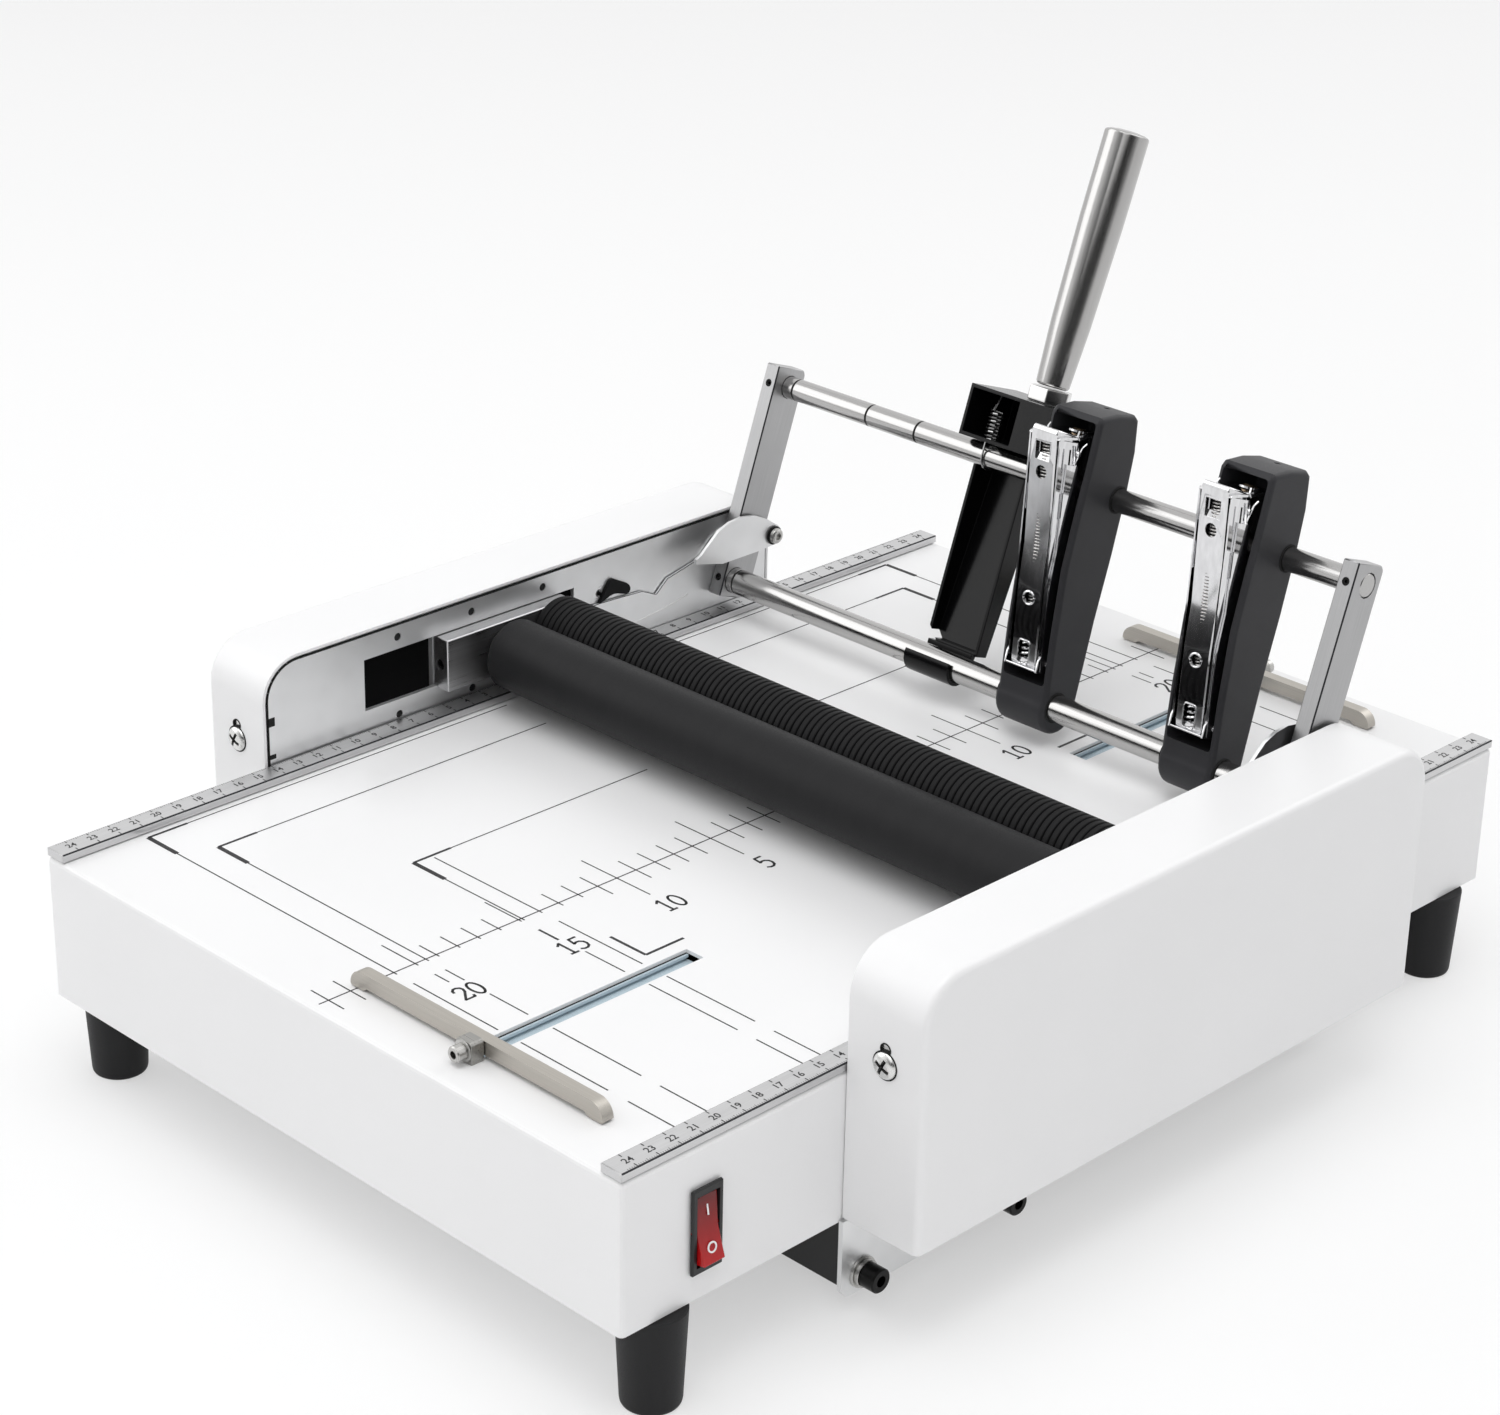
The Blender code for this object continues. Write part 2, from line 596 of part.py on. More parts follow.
def make_deck():
    """The folded deck with slots for the stops and the folding blade, and the switch's cut-out."""
    deck = bevelled_box("deck_shell", (-SKIRT_X, -DECK_END, FOOT_HEIGHT),
                        (SKIRT_X, DECK_END, DECK_TOP), DECK_BEND, 3, WHITE_PAINT)
    inner_x = SKIRT_X - DECK_SHEET
    inner_y = DECK_END - DECK_SHEET
    cut_block(deck, (-inner_x, -inner_y, FOOT_HEIGHT + DECK_SHEET), (inner_x, inner_y, DECK_TOP - DECK_SHEET))
    mouth_x = SKIRT_X - DECK_LIP
    mouth_y = DECK_END - DECK_LIP
    above = FOOT_HEIGHT + DECK_SHEET + OVERRUN
    cut_block(deck, (-mouth_x, -mouth_y, FOOT_HEIGHT - OVERRUN), (mouth_x, mouth_y, above))
    middle_y = TRAY_LENGTH / 2 - TRAY_SHEET
    cut_block(deck, (-inner_x, -middle_y, FOOT_HEIGHT - OVERRUN), (inner_x, middle_y, above))
    under = DECK_TOP - DECK_SHEET - OVERRUN
    over = DECK_TOP + OVERRUN
    for middle, near, far in ((FRONT_SLOT_X, FRONT_SLOT_NEAR, FRONT_SLOT_FAR),
                              (BACK_SLOT_X, BACK_SLOT_NEAR, BACK_SLOT_FAR)):
        cut_block(deck, (middle - SLOT_WIDTH / 2, near, under), (middle + SLOT_WIDTH / 2, far, over))
    half_slot = BLADE_SHEET / 2 + RUNNING_FIT
    for left, right in blade_spans(RUNNING_FIT):
        cut_block(deck, (left, NIP_Y - half_slot, under), (right, NIP_Y + half_slot, over))
    switch_z = DECK_TOP - BEZEL_MIDDLE_DROP
    half_y = BEZEL_WIDTH / 2 - BEZEL_WALL / 2
    half_z = BEZEL_HEIGHT / 2 - BEZEL_WALL / 2
    cut_block(deck, (inner_x - OVERRUN, BEZEL_Y - half_y, switch_z - half_z),
              (SKIRT_X + OVERRUN, BEZEL_Y + half_y, switch_z + half_z))
    inlet_z = DECK_TOP - INLET_DROP
    half_wide = INLET_WIDTH / 2 + FIT
    half_high = INLET_HEIGHT / 2 + FIT
    cut_block(deck, (INLET_X - half_wide, inner_y - OVERRUN, inlet_z - half_high),
              (INLET_X + half_wide, DECK_END + OVERRUN, inlet_z + half_high))


def blade_spans(margin):
    """The three stretches of the folding blade, left and right ends, with a margin."""
    gap = SHELL_WIDTH / 2 + BLADE_NOTCH_MARGIN
    first, second = SHELL_CENTRES
    ends = ((-BLADE_HALF_LENGTH, first - gap), (first + gap, second - gap), (second + gap, BLADE_HALF_LENGTH))
    return [(left - margin, right + margin) for left, right in ends]


def make_feet():
    """Four tapered feet under the deck's corners."""
    top = FOOT_HEIGHT - FIT
    profile = [(0.0, top), (FOOT_TOP_RADIUS, top), (FOOT_BASE_RADIUS + FOOT_EDGE / 2, FOOT_EDGE),
               (FOOT_BASE_RADIUS - FOOT_EDGE / 2, 0.0), (0.0, 0.0)]
    for side, sign in sides():
        for end, way in (("front", -1), ("back", 1)):
            centre = (sign * (SKIRT_X - FOOT_FROM_SIDE), way * (DECK_END - FOOT_FROM_END), 0.0)
            turned("foot_" + end + "_" + side, profile, "Z", centre, BLACK_RUBBER)


def make_tray():
    """The black belly tray that closes the middle of the deck from below."""
    half_x = SKIRT_X
    half_y = TRAY_LENGTH / 2
    top = FOOT_HEIGHT - FIT
    low = top - TRAY_DEPTH
    tray = block("belly_tray", (-half_x, -half_y, low), (half_x, half_y, top), BLACK_PAINT)
    cut_block(tray, (-half_x + TRAY_SHEET, -half_y + TRAY_SHEET, low + TRAY_SHEET),
              (half_x - TRAY_SHEET, half_y - TRAY_SHEET, top + OVERRUN))


def make_rulers():
    """Two steel rulers along the deck's edges, each notched round its guide plate."""
    for side, sign in sides():
        outer = SKIRT_X - RULER_FROM_EDGE
        low_x, high_x = span(outer - RULER_WIDTH, outer, sign)
        end_y = DECK_END - RULER_FROM_END
        ruler = block("ruler_" + side, (low_x, -end_y, DECK_TOP + FIT),
                      (high_x, end_y, DECK_TOP + FIT + RULER_HEIGHT), SATIN_ALUMINIUM)
        soften(ruler, FIT, 1)
        low_x, high_x = span(GUIDE_INNER - FIT, SKIRT_X, sign)
        cut_block(ruler, (low_x, GUIDE_FRONT - FIT, DECK_TOP),
                  (high_x, GUIDE_BACK + FIT, DECK_TOP + RULER_HEIGHT + OVERRUN))


def cover_outline(inset):
    """The side cover's outline in (Y, Z), moved in by an inset, open side downwards."""
    radius = COVER_CORNER - inset
    top = DECK_TOP + COVER_TOP - inset
    bottom = DECK_TOP - COVER_BOTTOM
    front = -COVER_FRONT + inset
    back = COVER_BACK - inset
    return rounded([(front, bottom, 0), (back, bottom, 0), (back, top, radius), (front, top, radius)], 7)


def make_side_plates():
    """The zinc side plates, with the carriage's window and the rod's bearing hole."""
    inset = COVER_SHEET + COVER_GAP
    top = DECK_TOP + COVER_TOP - inset
    shoulder = DECK_TOP - COVER_BOTTOM - COVER_GAP
    bottom = DECK_TOP - PLATE_DROP
    front = -COVER_FRONT + inset
    back = COVER_BACK - inset
    radius = COVER_CORNER - inset
    foot_half = PLATE_FOOT_LENGTH / 2
    middle = (COVER_BACK - COVER_FRONT) / 2
    outline = rounded([(front, shoulder, 0), (middle - foot_half, shoulder, 0),
                       (middle - foot_half, bottom, PLATE_FOOT_CORNER),
                       (middle + foot_half, bottom, PLATE_FOOT_CORNER),
                       (middle + foot_half, shoulder, 0), (back, shoulder, 0),
                       (back, top, radius), (front, top, radius)])
    bolt_y, bolt_z = frame_world(STOP_BOLT_AHEAD, STOP_BOLT_ALONG)
    for side, sign in sides():
        start, end = span(PLATE_INNER, PLATE_OUTER, sign)
        plate = prism("side_plate_" + side, outline, start, end, "X", ZINC_STEEL)
        over_low, over_high = start - OVERRUN, end + OVERRUN
        cut_block(plate, (over_low, -WINDOW_FRONT, DECK_TOP + WINDOW_BOTTOM),
                  (over_high, WINDOW_BACK, DECK_TOP + WINDOW_TOP))
        drill(plate, LOWER_ROD_RADIUS + FIT, over_low, over_high, "X", (0.0, PIVOT_Y, PIVOT_Z))
        drill(plate, STOP_BOLT_RADIUS + FIT, over_low, over_high, "X", (0.0, bolt_y, bolt_z))
        if side == "left":
            drill(plate, LATCH_PIN_RADIUS + FIT, over_low, over_high, "X",
                  (0.0, LATCH_Y, DECK_TOP + LATCH_HEIGHT))


def make_side_covers():
    """The white side covers: shells closed outside, open below and towards the deck."""
    for side, sign in sides():
        start, end = span(COVER_INNER, COVER_OUTER, sign)
        cover = prism("side_cover_" + side, cover_outline(0.0), start, end, "X", WHITE_PAINT)
        form = bmesh.new()
        form.from_mesh(cover.data)
        outer = sign * COVER_OUTER
        bottom = DECK_TOP - COVER_BOTTOM
        rim = [edge for edge in form.edges
               if all(abs(end_point.co.x - outer) < FIT for end_point in edge.verts)
               and max(end_point.co.z for end_point in edge.verts) > bottom + FIT]
        bmesh.ops.bevel(form, geom=rim, offset=COVER_EDGE, offset_type="OFFSET", segments=3,
                        profile=0.5, affect="EDGES", clamp_overlap=True)
        cover.data = mesh_from("side_cover_" + side, form)
        cover.data.materials.append(WHITE_PAINT)
        shade_round(cover)
        hollow = cover_outline(COVER_SHEET)
        deep = [(y, z if z > bottom + FIT else bottom - OVERRUN) for y, z in hollow]
        open_side, closed_side = span(COVER_INNER - OVERRUN, COVER_OUTER - COVER_SHEET, sign)
        cut(cover, prism(cover.name + ".hollow", deep, open_side, closed_side, "X"))


def roller_profile(ribbed, left_end, right_end):
    """A roller's half section, from its right-hand journal to its left-hand one."""
    radius = ROLLER_RADIUS
    profile = [(0.0, right_end), (JOURNAL_RADIUS, right_end), (JOURNAL_RADIUS, ROLLER_END),
               (radius - ROLLER_EDGE, ROLLER_END), (radius, ROLLER_END - ROLLER_EDGE)]
    if ribbed:
        usable = 2 * (ROLLER_END - RIB_MARGIN)
        pitch = usable / RIB_COUNT
        for rib in range(RIB_COUNT + 1):
            middle = ROLLER_END - RIB_MARGIN - rib * pitch
            profile += [(radius, middle + RIB_GROOVE / 2), (radius - RIB_GROOVE_DEPTH, middle),
                        (radius, middle - RIB_GROOVE / 2)]
    profile += [(radius, -ROLLER_END + ROLLER_EDGE), (radius - ROLLER_EDGE, -ROLLER_END),
                (JOURNAL_RADIUS, -ROLLER_END), (JOURNAL_RADIUS, left_end), (0.0, left_end)]
    return profile


def make_rollers():
    """The smooth front roller and the ribbed back roller, each with its journals."""
    right_end = GEAR_OUTER + FIT
    left_end = -BAR_OUTER - FIT
    turned("smooth_roller", roller_profile(False, left_end, right_end), "X",
           (0.0, SMOOTH_ROLLER_Y, ROLLER_Z), BLACK_RUBBER, None, 28)
    turned("ribbed_roller", roller_profile(True, left_end, right_end), "X",
           (0.0, RIBBED_ROLLER_Y, ROLLER_Z), BLACK_RUBBER, None, 14)


def gear_outline(teeth, phase):
    """A spur gear's outline about its own centre, with involute flanks."""
    pitch_radius = GEAR_MODULE * teeth / 2
    base_radius = pitch_radius * math.cos(PRESSURE_ANGLE)
    tip_radius = pitch_radius + ADDENDUM_SHARE * GEAR_MODULE
    root_radius = pitch_radius - DEDENDUM_SHARE * GEAR_MODULE
    half_tooth = (math.pi * GEAR_MODULE / 2 - GEAR_BACKLASH) / (2 * pitch_radius)
    base_angle = half_tooth + math.tan(PRESSURE_ANGLE) - PRESSURE_ANGLE

    def flank(radius):
        pressure = math.acos(min(1.0, base_radius / max(radius, base_radius)))
        return base_angle - (math.tan(pressure) - pressure)

    rising = [(radius, -flank(radius)) for radius in (root_radius, pitch_radius, tip_radius)]
    falling = [(radius, -angle) for radius, angle in reversed(rising)]
    outline = []
    for tooth in range(teeth):
        middle = phase + math.tau * tooth / teeth
        outline += [(radius * math.cos(middle + angle), radius * math.sin(middle + angle))
                    for radius, angle in rising + falling]
    return outline


def make_gears():
    """A gear on each roller and the motor's pinion, all in one plane on the right-hand side."""
    half_pitch = math.pi / GEAR_TEETH
    for name, y, phase in (("smooth_roller_gear", SMOOTH_ROLLER_Y, 0.0),
                           ("ribbed_roller_gear", RIBBED_ROLLER_Y, half_pitch)):
        outline = [(y + across, ROLLER_Z + up) for across, up in gear_outline(GEAR_TEETH, phase)]
        gear = prism(name, outline, GEAR_INNER, GEAR_OUTER, "X", ZINC_STEEL)
        drill(gear, JOURNAL_RADIUS + FIT, GEAR_INNER - OVERRUN, GEAR_OUTER + OVERRUN, "X", (0.0, y, ROLLER_Z))
    centre_y, centre_z = motor_centre()
    phase = PINION_DIRECTION + math.pi - math.pi / PINION_TEETH
    outline = [(centre_y + across, centre_z + up) for across, up in gear_outline(PINION_TEETH, phase)]
    pinion = prism("drive_pinion", outline, GEAR_INNER, GEAR_OUTER, "X", ZINC_STEEL)
    drill(pinion, MOTOR_SHAFT_RADIUS + FIT, GEAR_INNER - OVERRUN, GEAR_OUTER + OVERRUN, "X",
          (0.0, centre_y, centre_z))


def motor_centre():
    """Where the drive motor's shaft lies, meshing with the smooth roller's gear."""
    reach = GEAR_MODULE * (GEAR_TEETH + PINION_TEETH) / 2
    return (SMOOTH_ROLLER_Y + reach * math.cos(PINION_DIRECTION),
            ROLLER_Z + reach * math.sin(PINION_DIRECTION))


def motor_posts():
    """The two posts that hold the drive motor off its plate, below the gears."""
    centre_y, centre_z = motor_centre()
    eighth = math.pi / 4
    middle = (centre_y, centre_z)
    return arc(middle, MOTOR_POST_CIRCLE, PINION_DIRECTION - eighth, PINION_DIRECTION + eighth, 1)


def make_drive_motor():
    """The flat gear motor that turns the rollers, riding with the carriage."""
    centre_y, centre_z = motor_centre()
    start = GEAR_OUTER + RUNNING_FIT
    end = start + MOTOR_LENGTH
    edge = FIT + RUNNING_FIT
    shaft_end = GEAR_INNER + FIT
    radius = MOTOR_RADIUS
    profile = [(0.0, end), (radius - edge, end), (radius, end - edge), (radius, start + edge),
               (radius - edge, start), (MOTOR_SHAFT_RADIUS, start), (MOTOR_SHAFT_RADIUS, shaft_end),
               (0.0, shaft_end)]
    motor = turned("drive_motor", profile, "X", (0.0, centre_y, centre_z), ZINC_STEEL)
    for post_y, post_z in motor_posts():
        join(motor, rod("drive_motor.post", MOTOR_POST_RADIUS, BAR_OUTER + FIT, start + MOTOR_PAD, "X",
                        (0.0, post_y, post_z), steps=SMALL_STEPS))


def make_bearing_blocks():
    """The aluminium blocks that carry both rollers and slide in the side plates' windows."""
    front = BLOCK_BACK - BLOCK_LENGTH
    low = DECK_TOP + BLOCK_BOTTOM
    high = DECK_TOP + BLOCK_TOP
    for side, sign in sides():
        start, end = span(BLOCK_INNER, PLATE_INNER - FIT, sign)
        piece = block("bearing_block_" + side, (start, front, low), (end, BLOCK_BACK, high), SATIN_ALUMINIUM)
        soften(piece, BLOCK_EDGE, 1)
        tongue_start, tongue_end = span(BLOCK_INNER + BLOCK_PROUD / 2, TONGUE_END, sign)
        tongue_low = DECK_TOP + WINDOW_BOTTOM + FIT
        tongue_high = min(high - BLOCK_EDGE, DECK_TOP + WINDOW_TOP - FIT)
        join(piece, block(piece.name + ".tongue", (tongue_start, front + BLOCK_EDGE, tongue_low),
                          (tongue_end, BLOCK_BACK - BLOCK_EDGE, tongue_high)))
        bore_start, bore_end = span(BLOCK_INNER - OVERRUN, TONGUE_END + OVERRUN, sign)
        for y in (SMOOTH_ROLLER_Y, RIBBED_ROLLER_Y):
            drill(piece, JOURNAL_RADIUS + FIT, bore_start, bore_end, "X", (0.0, y, ROLLER_Z))


def bar_outline(with_motor):
    """A carriage bar in (Y, Z): keeper over the window, bar to the back, fork, motor pad."""
    low = DECK_TOP + WINDOW_BOTTOM - BAR_OVERLAP
    high = DECK_TOP + WINDOW_TOP + BAR_OVERLAP
    front = BLOCK_BACK - BLOCK_LENGTH
    bar_low = DECK_TOP + BAR_BOTTOM
    bar_high = bar_low + BAR_DEPTH
    fork_top = PIVOT_Z + CRANK_RADIUS + FORK_ABOVE_PIN
    half_slot = CRANK_PIN_RADIUS + FORK_PLAY
    half_fork = half_slot + FORK_WALL
    outline = [(front, low)]
    if with_motor:
        centre_y, centre_z = motor_centre()
        pad_low = centre_z - MOTOR_RADIUS
        outline += [(centre_y - MOTOR_RADIUS, low), (centre_y - MOTOR_RADIUS, pad_low),
                    (centre_y + MOTOR_RADIUS, pad_low), (centre_y + MOTOR_RADIUS, low)]
    outline += [(BLOCK_BACK, low), (BLOCK_BACK, bar_low), (FORK_Y + half_fork, bar_low),
                (FORK_Y + half_fork, fork_top - FORK_CHAMFER_HEIGHT),
                (FORK_Y + half_fork - FORK_CHAMFER, fork_top),
                (FORK_Y + half_slot, fork_top), (FORK_Y + half_slot, bar_high),
                (FORK_Y - half_slot, bar_high), (FORK_Y - half_slot, fork_top),
                (FORK_Y - half_fork, fork_top),
                (FORK_Y - half_fork, bar_high), (BLOCK_BACK, bar_high), (BLOCK_BACK, high), (front, high)]
    return outline


def make_carriage_bars():
    """The plates that keep the blocks in their windows and reach back to the cranks."""
    for side, sign in sides():
        start, end = span(BAR_INNER, BAR_OUTER, sign)
        bar = prism("carriage_bar_" + side, bar_outline(side == "right"), start, end, "X", ZINC_STEEL)
        for y in (SMOOTH_ROLLER_Y, RIBBED_ROLLER_Y):
            drill(bar, JOURNAL_RADIUS + FIT, start - OVERRUN, end + OVERRUN, "X", (0.0, y, ROLLER_Z))


def make_frame_rods(frame):
    """The lower rod, which is the hinge, and the top rod with its ring grooves."""
    reach = BAR_OUTER + RUNNING_FIT + CRANK_SHEET

    def ringed(radius, end, grooves):
        profile = [(0.0, end), (radius, end)]
        for middle in sorted(grooves, reverse=True):
            half = ROD_GROOVE_WIDTH / 2
            inner = radius - ROD_GROOVE_DEPTH
            profile += [(radius, middle + half), (inner, middle + half / 2), (inner, middle - half / 2),
                        (radius, middle - half)]
        return profile + [(radius, -end), (0.0, -end)]

    ring_x = -(EAR_INNER - RUNNING_FIT)
    turned("lower_rod", ringed(LOWER_ROD_RADIUS, reach, [ring_x]), "X",
           (0.0, 0.0, 0.0), POLISHED_STEEL, frame)
    rings = [distance - ARM_INNER for distance in TOP_ROD_GROOVES_FROM_ARM]
    turned("top_rod", ringed(TOP_ROD_RADIUS, ARM_OUTER, rings), "X",
           (0.0, -TOP_ROD_AHEAD, TOP_ROD_ALONG), POLISHED_STEEL, frame)


def make_frame_arms(frame):
    """The flat aluminium arms that hold both rods."""
    outline = rounded(leaning_corners([(ARM_AHEAD, -ARM_BELOW, 0.0), (ARM_AHEAD, ARM_ABOVE, 0.0),
                                       (-ARM_BEHIND, ARM_ABOVE, ARM_HEEL_RADIUS / 2),
                                       (-ARM_BEHIND, -ARM_BELOW, ARM_HEEL_RADIUS)]))
    for side, sign in sides():
        start, end = span(ARM_INNER, ARM_OUTER, sign)
        arm = prism("frame_arm_" + side, outline, start, end, "X", SATIN_ALUMINIUM, frame)
        soften(arm, ARM_EDGE, 1)
        drill(arm, LOWER_ROD_RADIUS + FIT, start - OVERRUN, end + OVERRUN, "X", (0.0, 0.0, 0.0), frame)
        drill(arm, TOP_ROD_RADIUS + FIT, start - OVERRUN, end + OVERRUN, "X",
              (0.0, -TOP_ROD_AHEAD, TOP_ROD_ALONG), frame)


def leaning_corners(corners):
    """Turn (ahead, along, radius) corners into the swing frame's own axes."""
    return [(-ahead, along, radius) for ahead, along, radius in corners]


def make_cranks(frame):
    """The cranks on the lower rod's ends, whose pins work in the carriage's forks."""
    start_angle = math.pi / 2 - SWING / 2 + LEAN
    pin_y = CRANK_RADIUS * math.cos(start_angle)
    pin_z = CRANK_RADIUS * math.sin(start_angle)
    half_turn = math.pi / 2
    outline = arc((0.0, 0.0), CRANK_EYE, start_angle + half_turn, start_angle + 3 * half_turn, 8)
    outline += arc((pin_y, pin_z), CRANK_TIP, start_angle - half_turn, start_angle + half_turn, 6)
    for side, sign in sides():
        inner = BAR_OUTER + RUNNING_FIT
        start, end = span(inner, inner + CRANK_SHEET, sign)
        crank = prism("crank_" + side, outline, start, end, "X", ZINC_STEEL, frame)
        pin_start, pin_end = span(BAR_INNER + FIT, inner + CRANK_SHEET / 2, sign)
        join(crank, rod(crank.name + ".pin", CRANK_PIN_RADIUS, pin_start, pin_end, "X",
                        (0.0, pin_y, pin_z), None, frame, SMALL_STEPS))
        drill(crank, LOWER_ROD_RADIUS + FIT, start - OVERRUN, end + OVERRUN, "X", (0.0, 0.0, 0.0), frame)


def make_guide_plates():
    """The stepped guide plates that stand on the deck behind the rollers."""
    low = DECK_TOP + FIT
    steps = scaled(GUIDE_EDGE_SHARES, GUIDE_BACK - GUIDE_FRONT, GUIDE_HEIGHT - FIT)
    outline = [(GUIDE_FRONT + back, low + height) for back, height in steps]
    bolt_y, bolt_z = frame_world(STOP_BOLT_AHEAD, STOP_BOLT_ALONG)
    for side, sign in sides():
        start, end = span(GUIDE_INNER, GUIDE_INNER + GUIDE_SHEET, sign)
        plate = prism("guide_plate_" + side, outline, start, end, "X", ZINC_STEEL)
        drill(plate, LOWER_ROD_RADIUS + FIT, start - OVERRUN, end + OVERRUN, "X", (0.0, PIVOT_Y, PIVOT_Z))
        drill(plate, STOP_BOLT_RADIUS + FIT, start - OVERRUN, end + OVERRUN, "X", (0.0, bolt_y, bolt_z))


def make_ear_plates():
    """The fan-shaped ears inside the arms, each held by its stop bolt."""
    bolt_y, bolt_z = frame_world(STOP_BOLT_AHEAD, STOP_BOLT_ALONG)
    crown = scaled(EAR_CROWN_SHARES, EAR_REACH, EAR_HEIGHT)
    foot = scaled(EAR_FOOT_SHARES, EAR_REACH, EAR_HEIGHT)
    outline = [(PIVOT_Y + back, DECK_TOP + height) for back, height in crown]
    boss = BOLT_HEAD_RADIUS + RUNNING_FIT
    outline += arc((bolt_y, bolt_z), boss, math.pi / 4, -math.pi / 2, 6)
    outline += [(PIVOT_Y + back, DECK_TOP + height) for back, height in foot]
    for side, sign in sides():
        start, end = span(EAR_INNER, EAR_INNER + EAR_SHEET, sign)
        ear = prism("ear_plate_" + side, outline, start, end, "X", ZINC_STEEL)
        drill(ear, STOP_BOLT_RADIUS + FIT, start - OVERRUN, end + OVERRUN, "X", (0.0, bolt_y, bolt_z))
        inner_end = EAR_INNER - FIT
        outer_end = PLATE_OUTER
        ends = [(0.0, inner_end - BOLT_HEAD_LENGTH), (BOLT_HEAD_RADIUS, inner_end - BOLT_HEAD_LENGTH),
                (BOLT_HEAD_RADIUS, inner_end), (STOP_BOLT_RADIUS, inner_end), (STOP_BOLT_RADIUS, outer_end),
                (0.0, outer_end)]
        profile = [(radius, sign * along) for radius, along in ends]
        turned("stop_bolt_" + side, profile, "X", (0.0, bolt_y, bolt_z), POLISHED_STEEL, None, SMALL_STEPS)


def make_latch_lever():
    """The small black hook lever on the left side plate, with its pivot pin."""
    pivot = add_empty("latch_pivot", (0.0, LATCH_Y, DECK_TOP + LATCH_HEIGHT))
    outline = arc((0.0, 0.0), LATCH_BOSS, math.radians(100.0), math.radians(320.0), 8)
    outline += scaled(LATCH_HOOK_SHARES, LATCH_REACH, LATCH_REACH)
    start, end = -(GUIDE_INNER + GUIDE_SHEET), -GUIDE_INNER
    lever = prism("latch_lever", outline, start, end, "X", BLACK_PLASTIC, pivot)
    join(lever, rod("latch_lever.pin", LATCH_PIN_RADIUS, -TONGUE_END, -GUIDE_INNER - GUIDE_SHEET / 2, "X",
                    (0.0, 0.0, 0.0), None, pivot, SMALL_STEPS))


def shell_side():
    """A stapler shell's side outline in (ahead, along), heel arc first."""
    heel = (SHELL_HEEL_AHEAD, SHELL_HEEL_ALONG)
    outline = arc(heel, SHELL_HEEL_RADIUS, math.radians(165.0), math.radians(375.0), 9)
    rest = SHELL_FRONT_SHARES + SHELL_ROOF_SHARES + SHELL_BACK_SHARES
    return outline + scaled(rest, SHELL_REACH, SHELL_LENGTH)


def shell_hollow():
    """The room inside a stapler shell in (ahead, along), open to the front."""
    wall = SHELL_WALL
    roof = SHELL_LENGTH * SHELL_ROOF_SHARES[1][1] - SHELL_ROOF - wall
    back = scaled(reversed(SHELL_BACK_SHARES), SHELL_REACH, SHELL_LENGTH)
    back_top = (SHELL_REACH * SHELL_ROOF_SHARES[-1][0] + wall / 2, roof)
    open_at = SHELL_REACH + OVERRUN
    floor = SHELL_FLOOR_ALONG
    hollow = [(back[0][0] + wall, floor + wall)] + [(ahead + wall, along) for ahead, along in back]
    return hollow + [back_top, (open_at, roof), (open_at, floor), (SHELL_FLOOR_AHEAD, floor)]


def make_stapler_shells(frame):
    """The two black stapler bodies, hollow and open to the front, threaded on both rods."""
    for (side, _sign), centre in zip(sides(), SHELL_CENTRES):
        half = SHELL_WIDTH / 2
        shell = prism("stapler_shell_" + side, leaning(shell_side()), centre - half, centre + half, "X",
                      BLACK_PLASTIC, frame)
        soften(shell, SHELL_EDGE, 2)
        shade_round(shell)
        inner = half - SHELL_WALL
        cut(shell, prism(shell.name + ".hollow", leaning(shell_hollow()), centre - inner, centre + inner, "X",
                         None, frame))
        start, end = centre - half - OVERRUN, centre + half + OVERRUN
        drill(shell, LOWER_ROD_RADIUS + FIT, start, end, "X", (0.0, 0.0, 0.0), frame)
        drill(shell, TOP_ROD_RADIUS + FIT, start, end, "X", (0.0, -TOP_ROD_AHEAD, TOP_ROD_ALONG), frame)
        blind = half - MAGAZINE_PIN_COVER
        drill(shell, MAGAZINE_PIN_RADIUS + FIT, centre - blind, centre + blind, "X",
              (0.0, -MAGAZINE_PIN_AHEAD, MAGAZINE_PIN_ALONG), frame)


def in_magazine(pairs):
    """Turn (ahead, along) pairs into a magazine's own (Y, Z) about its pin."""
    return leaning([(ahead - MAGAZINE_PIN_AHEAD, along - MAGAZINE_PIN_ALONG) for ahead, along in pairs])


